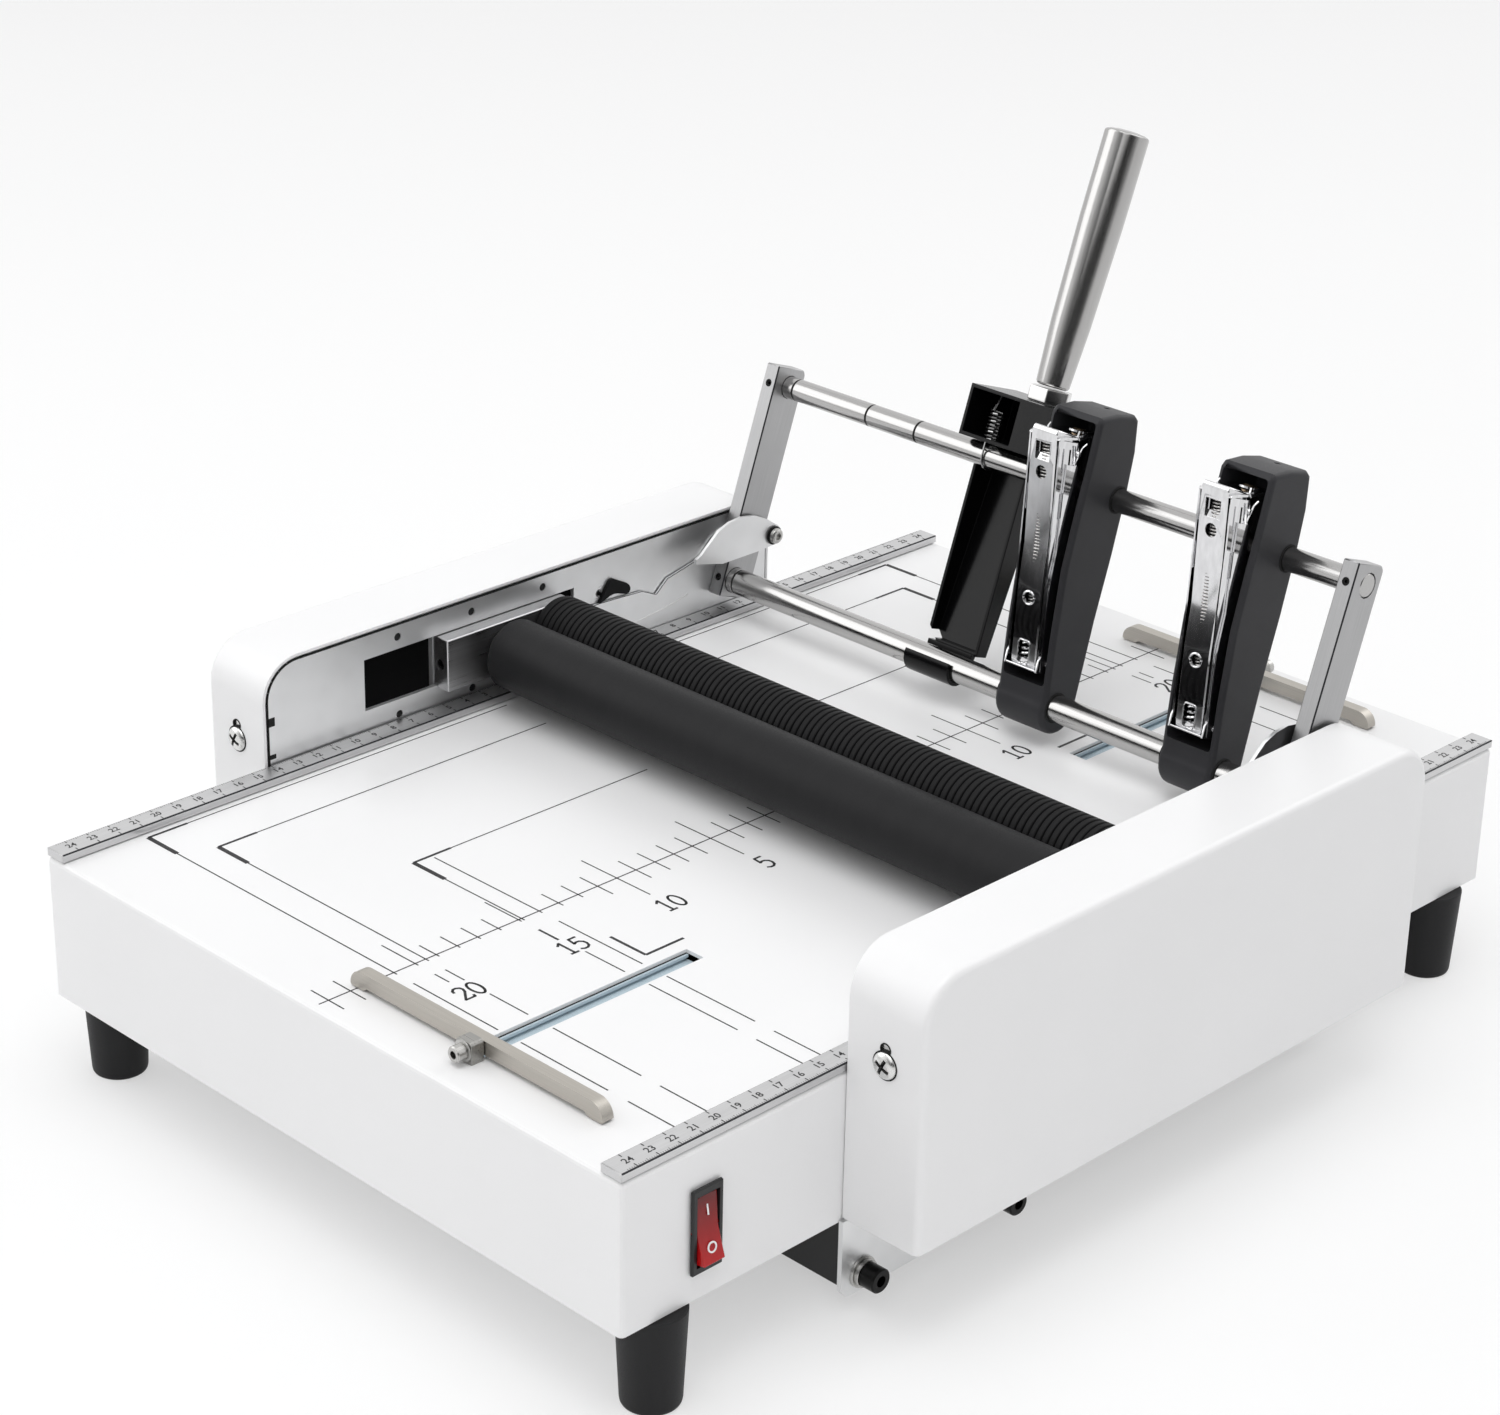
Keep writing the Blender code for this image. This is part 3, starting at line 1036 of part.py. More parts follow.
def make_magazines(frame):
    """The chromed staple magazines, hinged in the shells at their lower ends."""
    reach, length, sheet = MAGAZINE_REACH, MAGAZINE_LENGTH, MAGAZINE_SHEET
    half = MAGAZINE_WIDTH / 2
    side_view = in_magazine(scaled(MAGAZINE_FRONT_SHARES + MAGAZINE_BACK_SHARES, reach, length))
    face = [(ahead - sheet, along) for ahead, along in scaled(MAGAZINE_FRONT_SHARES[1:5], reach, length)]
    mouth = in_magazine(face + scaled(MAGAZINE_MOUTH_SHARES, reach, length))
    cheek = in_magazine(scaled(CHEEK_SHARES, reach, length))
    for (side, _sign), centre in zip(sides(), SHELL_CENTRES):
        middle = (centre, -MAGAZINE_PIN_AHEAD, MAGAZINE_PIN_ALONG)
        pivot = add_empty("magazine_pivot_" + side, middle, 0.0, frame)
        magazine = prism("staple_magazine_" + side, side_view, -half, half, "X", CHROME, pivot)
        soften(magazine, sheet / 2, 1)
        cut(magazine, prism(magazine.name + ".hollow", mouth, sheet - half, half - sheet, "X", None, pivot))
        for ahead, along, wide, high in MAGAZINE_WINDOW_SHARES:
            at_y, at_z = in_magazine([(ahead * reach, along * length)])[0]
            half_wide, half_high = wide * MAGAZINE_WIDTH, high * MAGAZINE_WIDTH
            cut_block(magazine, (-half_wide, at_y - sheet * 2, at_z - half_high),
                      (half_wide, at_y + sheet * 2, at_z + half_high), pivot)
        for ahead, along, share in MAGAZINE_HOLE_SHARES:
            at_y, at_z = in_magazine([(ahead * reach, along * length)])[0]
            drill(magazine, share * MAGAZINE_WIDTH, -sheet * 3, sheet * 3, "Y", (0.0, at_y, at_z), pivot)
        for low, high in (span(CHEEK_OUTER - CHEEK_SHEET, CHEEK_OUTER, way) for way in (-1, 1)):
            join(magazine, prism(magazine.name + ".cheek", cheek, low, high, "X", None, pivot))
        pin_end = SHELL_WIDTH / 2 - MAGAZINE_PIN_COVER - FIT
        join(magazine, rod(magazine.name + ".pin", MAGAZINE_PIN_RADIUS, -pin_end, pin_end, "X",
                           (0.0, 0.0, 0.0), None, pivot, SMALL_STEPS))


def make_handle_bracket(frame):
    """The gloss-black bracket: a channel behind both rods, a box on top and a hook below."""
    left = BRACKET_LEFT
    right = left + BRACKET_CHANNEL_WIDTH
    sheet = BRACKET_SHEET
    face = TOP_ROD_AHEAD - TOP_ROD_RADIUS - FIT
    side = [(face, BRACKET_FOOT_ALONG), (face, BRACKET_TOP_ALONG), (BRACKET_BACK_TOP, BRACKET_TOP_ALONG),
            (BRACKET_BACK_TOP, BRACKET_BOX_ALONG), (BRACKET_BACK_BOTTOM, BRACKET_FOOT_ALONG)]
    bracket = prism("handle_bracket", leaning(side), left, right, "X", BLACK_PAINT, frame)
    back_top = BRACKET_BACK_TOP + sheet
    back_low = BRACKET_BACK_BOTTOM + sheet
    trough = [(face + OVERRUN, BRACKET_FOOT_ALONG + sheet), (face + OVERRUN, BRACKET_BOX_ALONG - sheet),
              (back_top, BRACKET_BOX_ALONG - sheet), (back_low, BRACKET_FOOT_ALONG + sheet)]
    inner_left, inner_right = left + sheet, right - sheet
    cut(bracket, prism("handle_bracket.trough", leaning(trough), inner_left, inner_right, "X", None, frame))
    box_front = BRACKET_BOX_AHEAD
    join(bracket, prism("handle_bracket.box",
                        leaning([(box_front, BRACKET_BOX_ALONG), (box_front, BRACKET_TOP_ALONG),
                                 (BRACKET_BACK_TOP, BRACKET_TOP_ALONG), (BRACKET_BACK_TOP, BRACKET_BOX_ALONG)]),
                        left, BRACKET_BOX_RIGHT, "X", None, frame))
    room = [(box_front + OVERRUN, BRACKET_BOX_ALONG + sheet),
            (box_front + OVERRUN, BRACKET_TOP_ALONG - sheet),
            (back_top, BRACKET_TOP_ALONG - sheet), (back_top, BRACKET_BOX_ALONG + sheet)]
    cut(bracket, prism("handle_bracket.room", leaning(room), inner_left, inner_right, "X", None, frame))
    spring_half = SPRING_RADIUS + SPRING_WIRE + SPRING_ROOM
    slot = [(box_front - sheet, BRACKET_BOX_ALONG - OVERRUN),
            (box_front - sheet, BRACKET_BOX_ALONG + OVERRUN),
            (back_low, BRACKET_BOX_ALONG + OVERRUN), (back_low, BRACKET_BOX_ALONG - OVERRUN)]
    cut(bracket, prism("handle_bracket.slot", leaning(slot), SPRING_X - spring_half, SPRING_X + spring_half,
                       "X", None, frame))
    corner = [(left - OVERRUN, BRACKET_FOOT_ALONG - OVERRUN),
              (left + BRACKET_CORNER + OVERRUN, BRACKET_FOOT_ALONG - OVERRUN),
              (left - OVERRUN, BRACKET_FOOT_ALONG + BRACKET_CORNER + OVERRUN)]
    cut(bracket, prism("handle_bracket.corner", corner, -face - OVERRUN, -BRACKET_BACK_TOP + OVERRUN, "Y",
                       None, frame))
    inner = LOWER_ROD_RADIUS + FIT
    outer = inner + HOOK_SHEET
    start = math.pi
    curl = arc((0.0, 0.0), outer, start, start + HOOK_SWEEP, 10)
    curl += arc((0.0, 0.0), inner, start + HOOK_SWEEP, start, 10)
    shank = [(-inner, BRACKET_FOOT_ALONG + sheet / 2), (-outer - sheet, BRACKET_FOOT_ALONG + sheet / 2)]
    hook = leaning(curl + shank)
    middle = left + BRACKET_CHANNEL_WIDTH / 2 + HOOK_SHIFT
    join(bracket, prism("handle_bracket.hook", hook, middle - HOOK_WIDTH / 2, middle + HOOK_WIDTH / 2, "X",
                        None, frame))


def make_bracket_spring(frame):
    """The extension spring: one wire, coiled inside the box and hooked under the top rod."""
    ring = TOP_ROD_RADIUS + FIT + SPRING_WIRE
    points = []
    steps = SPRING_HOOK_POINTS
    for step in range(steps + 1):
        angle = math.radians(-160.0) + math.radians(160.0) * step / steps
        points.append((SPRING_X, -TOP_ROD_AHEAD - ring * math.cos(angle),
                       TOP_ROD_ALONG + ring * math.sin(angle)))
    coil_bottom = BRACKET_BOX_ALONG + RUNNING_FIT + SPRING_WIRE
    axis_y = -(TOP_ROD_AHEAD + ring) + SPRING_RADIUS
    count = SPRING_CURLS * SPRING_CURL_POINTS
    for step in range(count + 1):
        angle = -math.pi / 2 + math.tau * step / SPRING_CURL_POINTS
        points.append((SPRING_X + SPRING_RADIUS * math.cos(angle), axis_y + SPRING_RADIUS * math.sin(angle),
                       coil_bottom + SPRING_PITCH * step / SPRING_CURL_POINTS))
    roof = BRACKET_TOP_ALONG - BRACKET_SHEET - FIT
    last = points[-1]
    points.append((last[0], last[1] + SPRING_RADIUS / 2, (last[2] + roof) / 2))
    points.append((last[0], last[1] + SPRING_RADIUS, roof))
    curve = bpy.data.curves.new("bracket_spring", "CURVE")
    curve.dimensions = "3D"
    curve.bevel_depth = SPRING_WIRE
    curve.bevel_resolution = 1
    curve.use_fill_caps = True
    line = curve.splines.new("POLY")
    line.points.add(len(points) - 1)
    for target, point in zip(line.points, points):
        target.co = (*point, 1.0)
    spring = bpy.data.objects.new("bracket_spring", curve)
    bpy.context.scene.collection.objects.link(spring)
    spring.parent = frame
    curve.materials.append(POLISHED_STEEL)
    gap = SPRING_PITCH - 2 * SPRING_WIRE
    print("least gap between the spring's curls, mm:", round(gap * 1000, 3))


def make_handle(frame):
    """The hexagonal nut and the tapered steel handle."""
    nut_along = BRACKET_TOP_ALONG + FIT
    across_corners = NUT_ACROSS_FLATS / 2 / math.cos(math.pi / 6)
    middle_y = -HANDLE_AHEAD
    hexagon = [(HANDLE_X + across_corners * math.cos(math.tau * side / 6),
                middle_y + across_corners * math.sin(math.tau * side / 6)) for side in range(6)]
    prism("hex_nut", hexagon, nut_along, nut_along + NUT_HEIGHT, "Z", POLISHED_STEEL, frame)
    base = nut_along + NUT_HEIGHT + FIT
    length = HANDLE_LENGTH
    edge = HANDLE_DOME
    radius = HANDLE_RADIUS
    profile = [(0.0, length), (radius / 2, length - edge / 4), (radius - edge, length - edge),
               (radius, length - 2 * edge)]
    profile += [(share * radius, max(edge, place_share * length))
                for place_share, share in reversed(HANDLE_TAPER_SHARES)]
    foot = HANDLE_TAPER_SHARES[0][1] * radius
    profile += [(foot - edge, 0.0), (0.0, 0.0)]
    handle = turned("handle", profile, "Z", (HANDLE_X, middle_y, base + foot * math.sin(HANDLE_TILT)),
                    POLISHED_STEEL, frame)
    handle.rotation_euler = (-HANDLE_TILT, 0.0, 0.0)


def stop_outline(middle):
    """A stop bar seen from the front in (X, Z): rounded ends, small feet, arched between them."""
    low = DECK_TOP + FIT
    top = low + STOP_HEIGHT
    half = STOP_LENGTH / 2
    foot = STOP_FOOT_LENGTH
    rise = STOP_ARCH
    return rounded([(middle - half, low, 0.0), (middle - half + foot, low, 0.0),
                    (middle - half + foot + rise, low + rise, 0.0),
                    (middle + half - foot - rise, low + rise, 0.0),
                    (middle + half - foot, low, 0.0), (middle + half, low, 0.0),
                    (middle + half, top, STOP_END_RADIUS), (middle - half, top, STOP_END_RADIUS)])


def make_stop(end, middle, face_y, slot_x, way):
    """A sliding stop with its clamp; way is the direction from the bar to the clamp."""
    near, far = sorted((face_y, face_y - way * STOP_THICKNESS))
    bar = prism(end + "_stop_bar", stop_outline(middle), near, far, "Y", STOP_STEEL)
    soften(bar, FIT, 1)
    start = face_y + way * FIT
    outer = start + way * CLAMP_DEPTH
    low_y, high_y = sorted((start, outer))
    low_x = slot_x - SLOT_WIDTH / 2 + CLAMP_OFFSET
    clamp = block(end + "_stop_clamp", (low_x, low_y, DECK_TOP + FIT),
                  (low_x + CLAMP_WIDTH, high_y, DECK_TOP + FIT + CLAMP_HEIGHT), POLISHED_STEEL)
    tongue_low, tongue_high = sorted((start, start + way * CLAMP_TONGUE_DEPTH))
    tongue_bottom = DECK_TOP - RAIL_DEPTH + FIT
    join(clamp, block(clamp.name + ".tongue", (low_x, tongue_low, tongue_bottom),
                      (slot_x + SLOT_WIDTH / 2 - RUNNING_FIT, tongue_high, DECK_TOP + FIT + RUNNING_FIT)))


def make_stops():
    """The front and back stops and the rails under their slots."""
    make_stop("front", FRONT_STOP_X, FRONT_STOP_Y, FRONT_SLOT_X, -1)
    make_stop("back", BACK_STOP_X, BACK_STOP_Y, BACK_SLOT_X, 1)
    for end, middle, near, far in (("front", FRONT_SLOT_X, FRONT_SLOT_NEAR, FRONT_SLOT_FAR),
                                   ("back", BACK_SLOT_X, BACK_SLOT_NEAR, BACK_SLOT_FAR)):
        half = SLOT_WIDTH / 2 + RAIL_WALL
        top = DECK_TOP - DECK_SHEET - FIT
        floor = DECK_TOP - RAIL_DEPTH
        rail = block(end + "_slot_rail", (middle - half, near, floor - RAIL_WALL), (middle + half, far, top),
                     RAIL_STEEL)
        cut_block(rail, (middle - SLOT_WIDTH / 2, near - OVERRUN, floor),
                  (middle + SLOT_WIDTH / 2, far + OVERRUN, top + OVERRUN))


def make_switch():
    """The switch body with its bezel, and the rocker that tips in it."""
    middle_z = DECK_TOP - BEZEL_MIDDLE_DROP
    half_y = BEZEL_WIDTH / 2
    half_z = BEZEL_HEIGHT / 2
    face = SKIRT_X + FIT + BEZEL_FLANGE
    bezel = block("switch_bezel", (SKIRT_X + FIT, BEZEL_Y - half_y, middle_z - half_z),
                  (face, BEZEL_Y + half_y, middle_z + half_z), BLACK_PLASTIC)
    soften(bezel, BEZEL_FLANGE / 3, 1)
    body_y = half_y - BEZEL_WALL / 2 - FIT
    body_z = half_z - BEZEL_WALL / 2 - FIT
    join(bezel, block("switch_bezel.body", (SKIRT_X - SWITCH_BODY_DEPTH, BEZEL_Y - body_y, middle_z - body_z),
                      (SKIRT_X + BEZEL_FLANGE / 2, BEZEL_Y + body_y, middle_z + body_z)))
    room_y = ROCKER_WIDTH / 2 + FIT
    room_z = ROCKER_LENGTH / 2 + 2 * RUNNING_FIT
    cut_block(bezel, (SKIRT_X - SWITCH_BODY_DEPTH / 2, BEZEL_Y - room_y, middle_z - room_z),
              (face + OVERRUN, BEZEL_Y + room_y, middle_z + room_z))
    pin = ROCKER_PIN_RADIUS
    axis_x = SKIRT_X + FIT
    drill(bezel, pin + FIT, -body_y - OVERRUN, body_y + OVERRUN, "Y", (axis_x, BEZEL_Y, middle_z))
    pivot = add_empty("rocker_pivot", (axis_x, BEZEL_Y, middle_z))
    pivot.rotation_euler = (0.0, -ROCKER_TIP, 0.0)
    half = ROCKER_LENGTH / 2
    thick = ROCKER_HALF_THICKNESS
    side = [(-thick, -half), (thick, -half), (thick - ROCKER_DISH, 0.0), (thick, half), (-thick, half)]
    rocker = prism("switch_rocker", side, -ROCKER_WIDTH / 2, ROCKER_WIDTH / 2, "Y", RED_PLASTIC, pivot)
    soften(rocker, FIT, 1)
    join(rocker, rod("switch_rocker.pin", pin, -body_y, body_y, "Y", (0.0, 0.0, 0.0), None, pivot,
                     SMALL_STEPS))


def make_power_inlet():
    """The mains inlet in the back skirt: a flanged socket with a recess."""
    middle_z = DECK_TOP - INLET_DROP
    skin = DECK_END
    half_x = INLET_WIDTH / 2
    half_z = INLET_HEIGHT / 2
    inner = skin - INLET_BODY_DEPTH
    inlet = block("power_inlet", (INLET_X - half_x, inner, middle_z - half_z),
                  (INLET_X + half_x, skin + INLET_FLANGE / 2, middle_z + half_z), BLACK_PLASTIC)
    rim_x = half_x + INLET_BORDER
    rim_z = half_z + INLET_BORDER / 2
    join(inlet, block("power_inlet.flange", (INLET_X - rim_x, skin + FIT, middle_z - rim_z),
                      (INLET_X + rim_x, skin + INLET_FLANGE, middle_z + rim_z)))
    room_x = half_x - INLET_FLANGE
    room_z = half_z - INLET_FLANGE
    cut_block(inlet, (INLET_X - room_x, skin - INLET_SOCKET_DEPTH, middle_z - room_z),
              (INLET_X + room_x, skin + INLET_FLANGE + OVERRUN, middle_z + room_z))


def lift_pin_place():
    """World Y and Z of the lift cranks' pins at rest, and of their shaft."""
    pin_y = NIP_Y - BLADE_SHEET / 2 - LUG_REACH / 2
    pin_z = DECK_TOP - BLADE_BOTTOM_DROP + LUG_HEIGHT / 2
    drop = BLADE_TRAVEL / 2
    shaft_y = pin_y - math.sqrt(CRANK_REACH ** 2 - drop ** 2)
    return pin_y, pin_z, shaft_y, pin_z + drop


def make_fold_blade():
    """The folding blade: three teeth through the deck, and two lugs for the lift cranks."""
    top = DECK_TOP - BLADE_TOP_DROP
    tooth = top - BLADE_TOOTH_DEPTH
    bottom = DECK_TOP - BLADE_BOTTOM_DROP
    spans = blade_spans(0.0)
    outline = [(-BLADE_HALF_LENGTH, bottom), (BLADE_HALF_LENGTH, bottom)]
    for left, right in reversed(spans):
        outline += [(right, top), (left, top)]
        if left != spans[0][0]:
            outline.append((left, tooth))
            previous = spans[spans.index((left, right)) - 1]
            outline.append((previous[1], tooth))
    half_sheet = BLADE_SHEET / 2
    blade = prism("fold_blade", outline, NIP_Y - half_sheet, NIP_Y + half_sheet, "Y", POLISHED_STEEL)
    _pin_y, pin_z, shaft_y, _shaft_z = lift_pin_place()
    half_slot = LIFT_PIN_RADIUS + FIT
    for lug_x in LUG_XS:
        low = (lug_x - LUG_SHEET / 2, NIP_Y - LUG_REACH, pin_z - LUG_HEIGHT / 2 + FIT)
        high = (lug_x + LUG_SHEET / 2, NIP_Y, pin_z + LUG_HEIGHT / 2)
        join(blade, block("fold_blade.lug", low, high))
        cut_block(blade, (lug_x - LUG_SHEET, NIP_Y - LUG_REACH - OVERRUN, pin_z - half_slot),
                  (lug_x + LUG_SHEET, shaft_y + CRANK_REACH + half_slot, pin_z + half_slot))


def make_lift_shaft():
    """The lift shaft across the tray, with two crank arms and their pins."""
    pin_y, pin_z, shaft_y, shaft_z = lift_pin_place()
    pivot = add_empty("lift_pivot", (0.0, shaft_y, shaft_z))
    tilt = math.atan2(pin_z - shaft_z, pin_y - shaft_y)
    start = -(SKIRT_X - TRAY_SHEET - FIT)
    end = LIFT_MOTOR_X - FIT
    shaft = rod("lift_shaft", LIFT_SHAFT_RADIUS, start, end, "X", (0.0, 0.0, 0.0), POLISHED_STEEL, pivot)
    pin = (CRANK_REACH * math.cos(tilt), CRANK_REACH * math.sin(tilt))
    half = LIFT_ARM_HEIGHT / 2
    outline = arc((0.0, 0.0), half * LIFT_EYE_SHARE, tilt + math.pi / 2, tilt + 3 * math.pi / 2, 8)
    outline += arc(pin, half, tilt - math.pi / 2, tilt + math.pi / 2, 6)
    for lug_x in LUG_XS:
        inner = lug_x + LUG_SHEET / 2 + RUNNING_FIT
        join(shaft, prism("lift_shaft.arm", outline, inner, inner + LIFT_ARM_SHEET, "X", None, pivot))
        join(shaft, rod("lift_shaft.pin", LIFT_PIN_RADIUS, lug_x - LUG_SHEET / 2, inner + LIFT_ARM_SHEET / 2,
                        "X", (0.0, *pin), None, pivot, SMALL_STEPS))


def make_blade_motor():
    """The geared motor that turns the lift shaft, standing on the tray's floor."""
    _pin_y, _pin_z, shaft_y, shaft_z = lift_pin_place()
    end = LIFT_MOTOR_X + LIFT_MOTOR_LENGTH
    edge = FIT + RUNNING_FIT
    radius = LIFT_MOTOR_RADIUS
    profile = [(0.0, end), (radius - edge, end), (radius, end - edge), (radius, LIFT_MOTOR_X + edge),
               (radius - edge, LIFT_MOTOR_X), (0.0, LIFT_MOTOR_X)]
    motor = turned("blade_motor", profile, "X", (0.0, shaft_y, shaft_z), ZINC_STEEL)
    floor = FOOT_HEIGHT - FIT - TRAY_DEPTH + TRAY_SHEET + FIT
    inset = LIFT_MOTOR_LENGTH / 5
    join(motor, block("blade_motor.foot", (LIFT_MOTOR_X + inset, shaft_y - radius / 2, floor),
                      (end - inset, shaft_y + radius / 2, shaft_z - radius / 2)))


def make_anvils():
    """The clinch anvils in the deck, where the staplers come down."""
    for (side, _sign), centre in zip(sides(), SHELL_CENTRES):
        half = ANVIL_WIDTH / 2
        low = DECK_TOP + FIT
        top = low + ANVIL_SHEET
        anvil = block("staple_anvil_" + side, (centre - half, ANVIL_Y - ANVIL_LENGTH, low),
                      (centre + half, ANVIL_Y, top), POLISHED_STEEL)
        middle_y = ANVIL_Y - ANVIL_LENGTH / 2
        for way in (-1, 1):
            middle = centre + way * CLINCH_SPACING / 2
            left, right = middle - CLINCH_WIDTH / 2, middle + CLINCH_WIDTH / 2
            near, far = middle_y - CLINCH_LENGTH / 2, middle_y + CLINCH_LENGTH / 2
            cut_block(anvil, (left, near, top - CLINCH_DEPTH), (right, far, top + OVERRUN))


def main():
    """Build the whole machine."""
    frame = add_empty("frame_pivot", (0.0, PIVOT_Y, PIVOT_Z), -LEAN)
    make_deck()
    make_feet()
    make_tray()
    make_rulers()
    make_side_plates()
    make_side_covers()
    make_rollers()
    make_gears()
    make_drive_motor()
    make_bearing_blocks()
    make_carriage_bars()
    make_frame_rods(frame)
    make_frame_arms(frame)
    make_cranks(frame)
    make_guide_plates()
    make_ear_plates()
    make_latch_lever()
    make_stapler_shells(frame)
    make_magazines(frame)
    make_handle_bracket(frame)
    make_bracket_spring(frame)
    make_handle(frame)
    make_stops()
    make_switch()
    make_power_inlet()
    make_fold_blade()
    make_lift_shaft()
    make_blade_motor()
    make_anvils()


main()
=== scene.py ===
"""Looks of a desk-top booklet maker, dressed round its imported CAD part.

Units are metres in the part's own frame: +X is the switch side, +Y the way that the paper goes, +Z up, and
z = 0 is the surface that the feet stand on. The swing frame has its own leaning axes, kept in SwingAxes.
"""
from __future__ import annotations

import logging
import math
from dataclasses import dataclass, field
from enum import Enum
from typing import Callable, Iterable, Sequence

import bmesh
import bpy
from mathutils import Matrix, Vector


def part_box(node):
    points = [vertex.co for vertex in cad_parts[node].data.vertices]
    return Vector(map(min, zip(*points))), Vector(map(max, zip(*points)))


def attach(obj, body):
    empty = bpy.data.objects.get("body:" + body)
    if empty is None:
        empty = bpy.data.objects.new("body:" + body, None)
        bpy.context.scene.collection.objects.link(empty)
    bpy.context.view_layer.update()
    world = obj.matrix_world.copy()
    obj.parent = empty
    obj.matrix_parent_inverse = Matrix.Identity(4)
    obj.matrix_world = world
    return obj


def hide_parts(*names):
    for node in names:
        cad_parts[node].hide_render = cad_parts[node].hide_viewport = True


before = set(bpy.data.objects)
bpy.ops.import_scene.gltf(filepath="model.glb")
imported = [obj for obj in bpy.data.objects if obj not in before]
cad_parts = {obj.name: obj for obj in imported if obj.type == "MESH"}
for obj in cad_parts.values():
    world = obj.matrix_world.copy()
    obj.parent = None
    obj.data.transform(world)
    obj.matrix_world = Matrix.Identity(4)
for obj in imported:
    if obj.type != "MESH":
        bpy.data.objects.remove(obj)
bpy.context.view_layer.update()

log = logging.getLogger("booklet_maker")
MILLIMETRE = 0.001
CENTIMETRE = 0.01
HALF_TURN = 180.0
QUARTER_TURN = 90.0

Colour = tuple[float, float, float]
Point = tuple[float, float, float]
Pair = tuple[float, float]
Pairs = tuple[Pair, ...]


class Axis(Enum):
    """The three axes of the machine."""

    X = 0
    Y = 1
    Z = 2


class Place(Enum):
    """A place in the machine, with its word in the part's node names."""

    @property
    def word(self) -> str:
        """The place's word."""
        return self.name.lower()


class Side(Place):
    """The two sides of the machine, with the sign of X."""

    LEFT = -1
    RIGHT = 1


class End(Place):
    """The two ends of the machine, with the sign of Y."""

    FRONT = -1
    BACK = 1


class Grain(Enum):
    """Which way a metal's fine lines run: along an axis, or round it as a lathe leaves them."""

    ALONG_X = (True, False, False)
    ALONG_Y = (False, True, False)
    ALONG_Z = (False, False, True)
    ROUND_X = (False, True, True)


class Nodes:
    """A node tree, with a short call that adds and joins its nodes."""

    def __init__(self, tree: bpy.types.NodeTree) -> None:
        """Take up a tree.

        Args:
            tree: a material's or a world's nodes.
        """
        self.tree = tree

    def add(self, kind: str, inputs: dict | None = None, **settings: object) -> bpy.types.Node:
        """Add a node.

        Args:
            kind: the node's type name without its ShaderNode prefix.
            inputs: values or sockets for the node's inputs, by name or number.
            **settings: properties of the node.

        Returns:
            The new node.
        """
        node = self.tree.nodes.new("ShaderNode" + kind)
        for name, value in settings.items():
            setattr(node, name, value)
        for name, value in (inputs or {}).items():
            if isinstance(value, bpy.types.NodeSocket):
                self.tree.links.new(value, node.inputs[name])
            else:
                node.inputs[name].default_value = value
        return node


class Graph(Nodes):
    """A material's node tree, with short calls for what the finishes share."""

    def __init__(self, name: str) -> None:
        """Start a material.

        Args:
            name: the material's name.
        """
        self.material = bpy.data.materials.new(name)
        self.material.use_nodes = True
        super().__init__(self.material.node_tree)
        self.shader = self.tree.nodes["Principled BSDF"]

    def place(self) -> bpy.types.NodeSocket:
        """The piece's own coordinates, in metres."""
        return self.add("TexCoord").outputs["Object"]

    def stretched(self, reach: Point) -> bpy.types.NodeSocket:
        """Coordinates measured in a cell of a given size.

        Args:
            reach: the cell's size along X, Y and Z, in metres.

        Returns:
            The scaled coordinates.
        """
        scale = tuple(1.0 / size for size in reach)
        return self.add("Mapping", {"Vector": self.place(), "Scale": scale}).outputs["Vector"]

    def noise(self, where: bpy.types.NodeSocket, scale: float, detail: float = 2.0) -> bpy.types.NodeSocket:
        """Cloudy noise from 0 to 1.

        Args:
            where: the coordinates.
            scale: cells per unit of the coordinates.
            detail: how many finer layers are added.

        Returns:
            The noise value.
        """
        return self.add("TexNoise", {"Vector": where, "Scale": scale, "Detail": detail}).outputs["Fac"]

    def ranged(self, value: bpy.types.NodeSocket, low: float, high: float, start: float = 0.3,
               end: float = 0.7) -> bpy.types.NodeSocket:
        """Bring a value from start..end to low..high."""
        return self.add("MapRange", {"Value": value, "From Min": start, "From Max": end, "To Min": low,
                                     "To Max": high}).outputs["Result"]

    def paint(self, share: bpy.types.NodeSocket, first: Colour, second: Colour) -> None:
        """Colour the surface between two colours, by a share."""
        node = self.add("Mix", {0: share, 6: (*first, 1.0), 7: (*second, 1.0)}, data_type="RGBA")
        self.feed("Base Color", node.outputs[2])

    def roughen(self, value: bpy.types.NodeSocket, middle: float, spread: float) -> None:
        """Let the roughness wander by a spread to both sides of its middle."""
        self.feed("Roughness", self.ranged(value, middle - spread, middle + spread))

    def bumps(self, height: bpy.types.NodeSocket, depth: float) -> None:
        """Give the surface relief of a given depth."""
        bump = self.add("Bump", {"Height": height, "Distance": depth, "Strength": 1.0})
        self.feed("Normal", bump.outputs["Normal"])

    def gloss(self, specular: float, coat: float = 0.0, coat_roughness: float = 0.03) -> None:
        """Set the surface's own gloss, and that of a clear coat over it."""
        for socket, value in (("Specular IOR Level", specular), ("Coat Weight", coat),
                              ("Coat Roughness", coat_roughness)):
            self.feed(socket, value)

    def feed(self, socket: str, value: object) -> None:
        """Give a shader socket a value or a link."""
        if isinstance(value, bpy.types.NodeSocket):
            self.tree.links.new(value, self.shader.inputs[socket])
        else:
            self.shader.inputs[socket].default_value = value


def tinted(colour: Colour, share: float) -> Colour:
    """A colour made darker or lighter by a share."""
    return tuple(min(1.0, part * share) for part in colour)


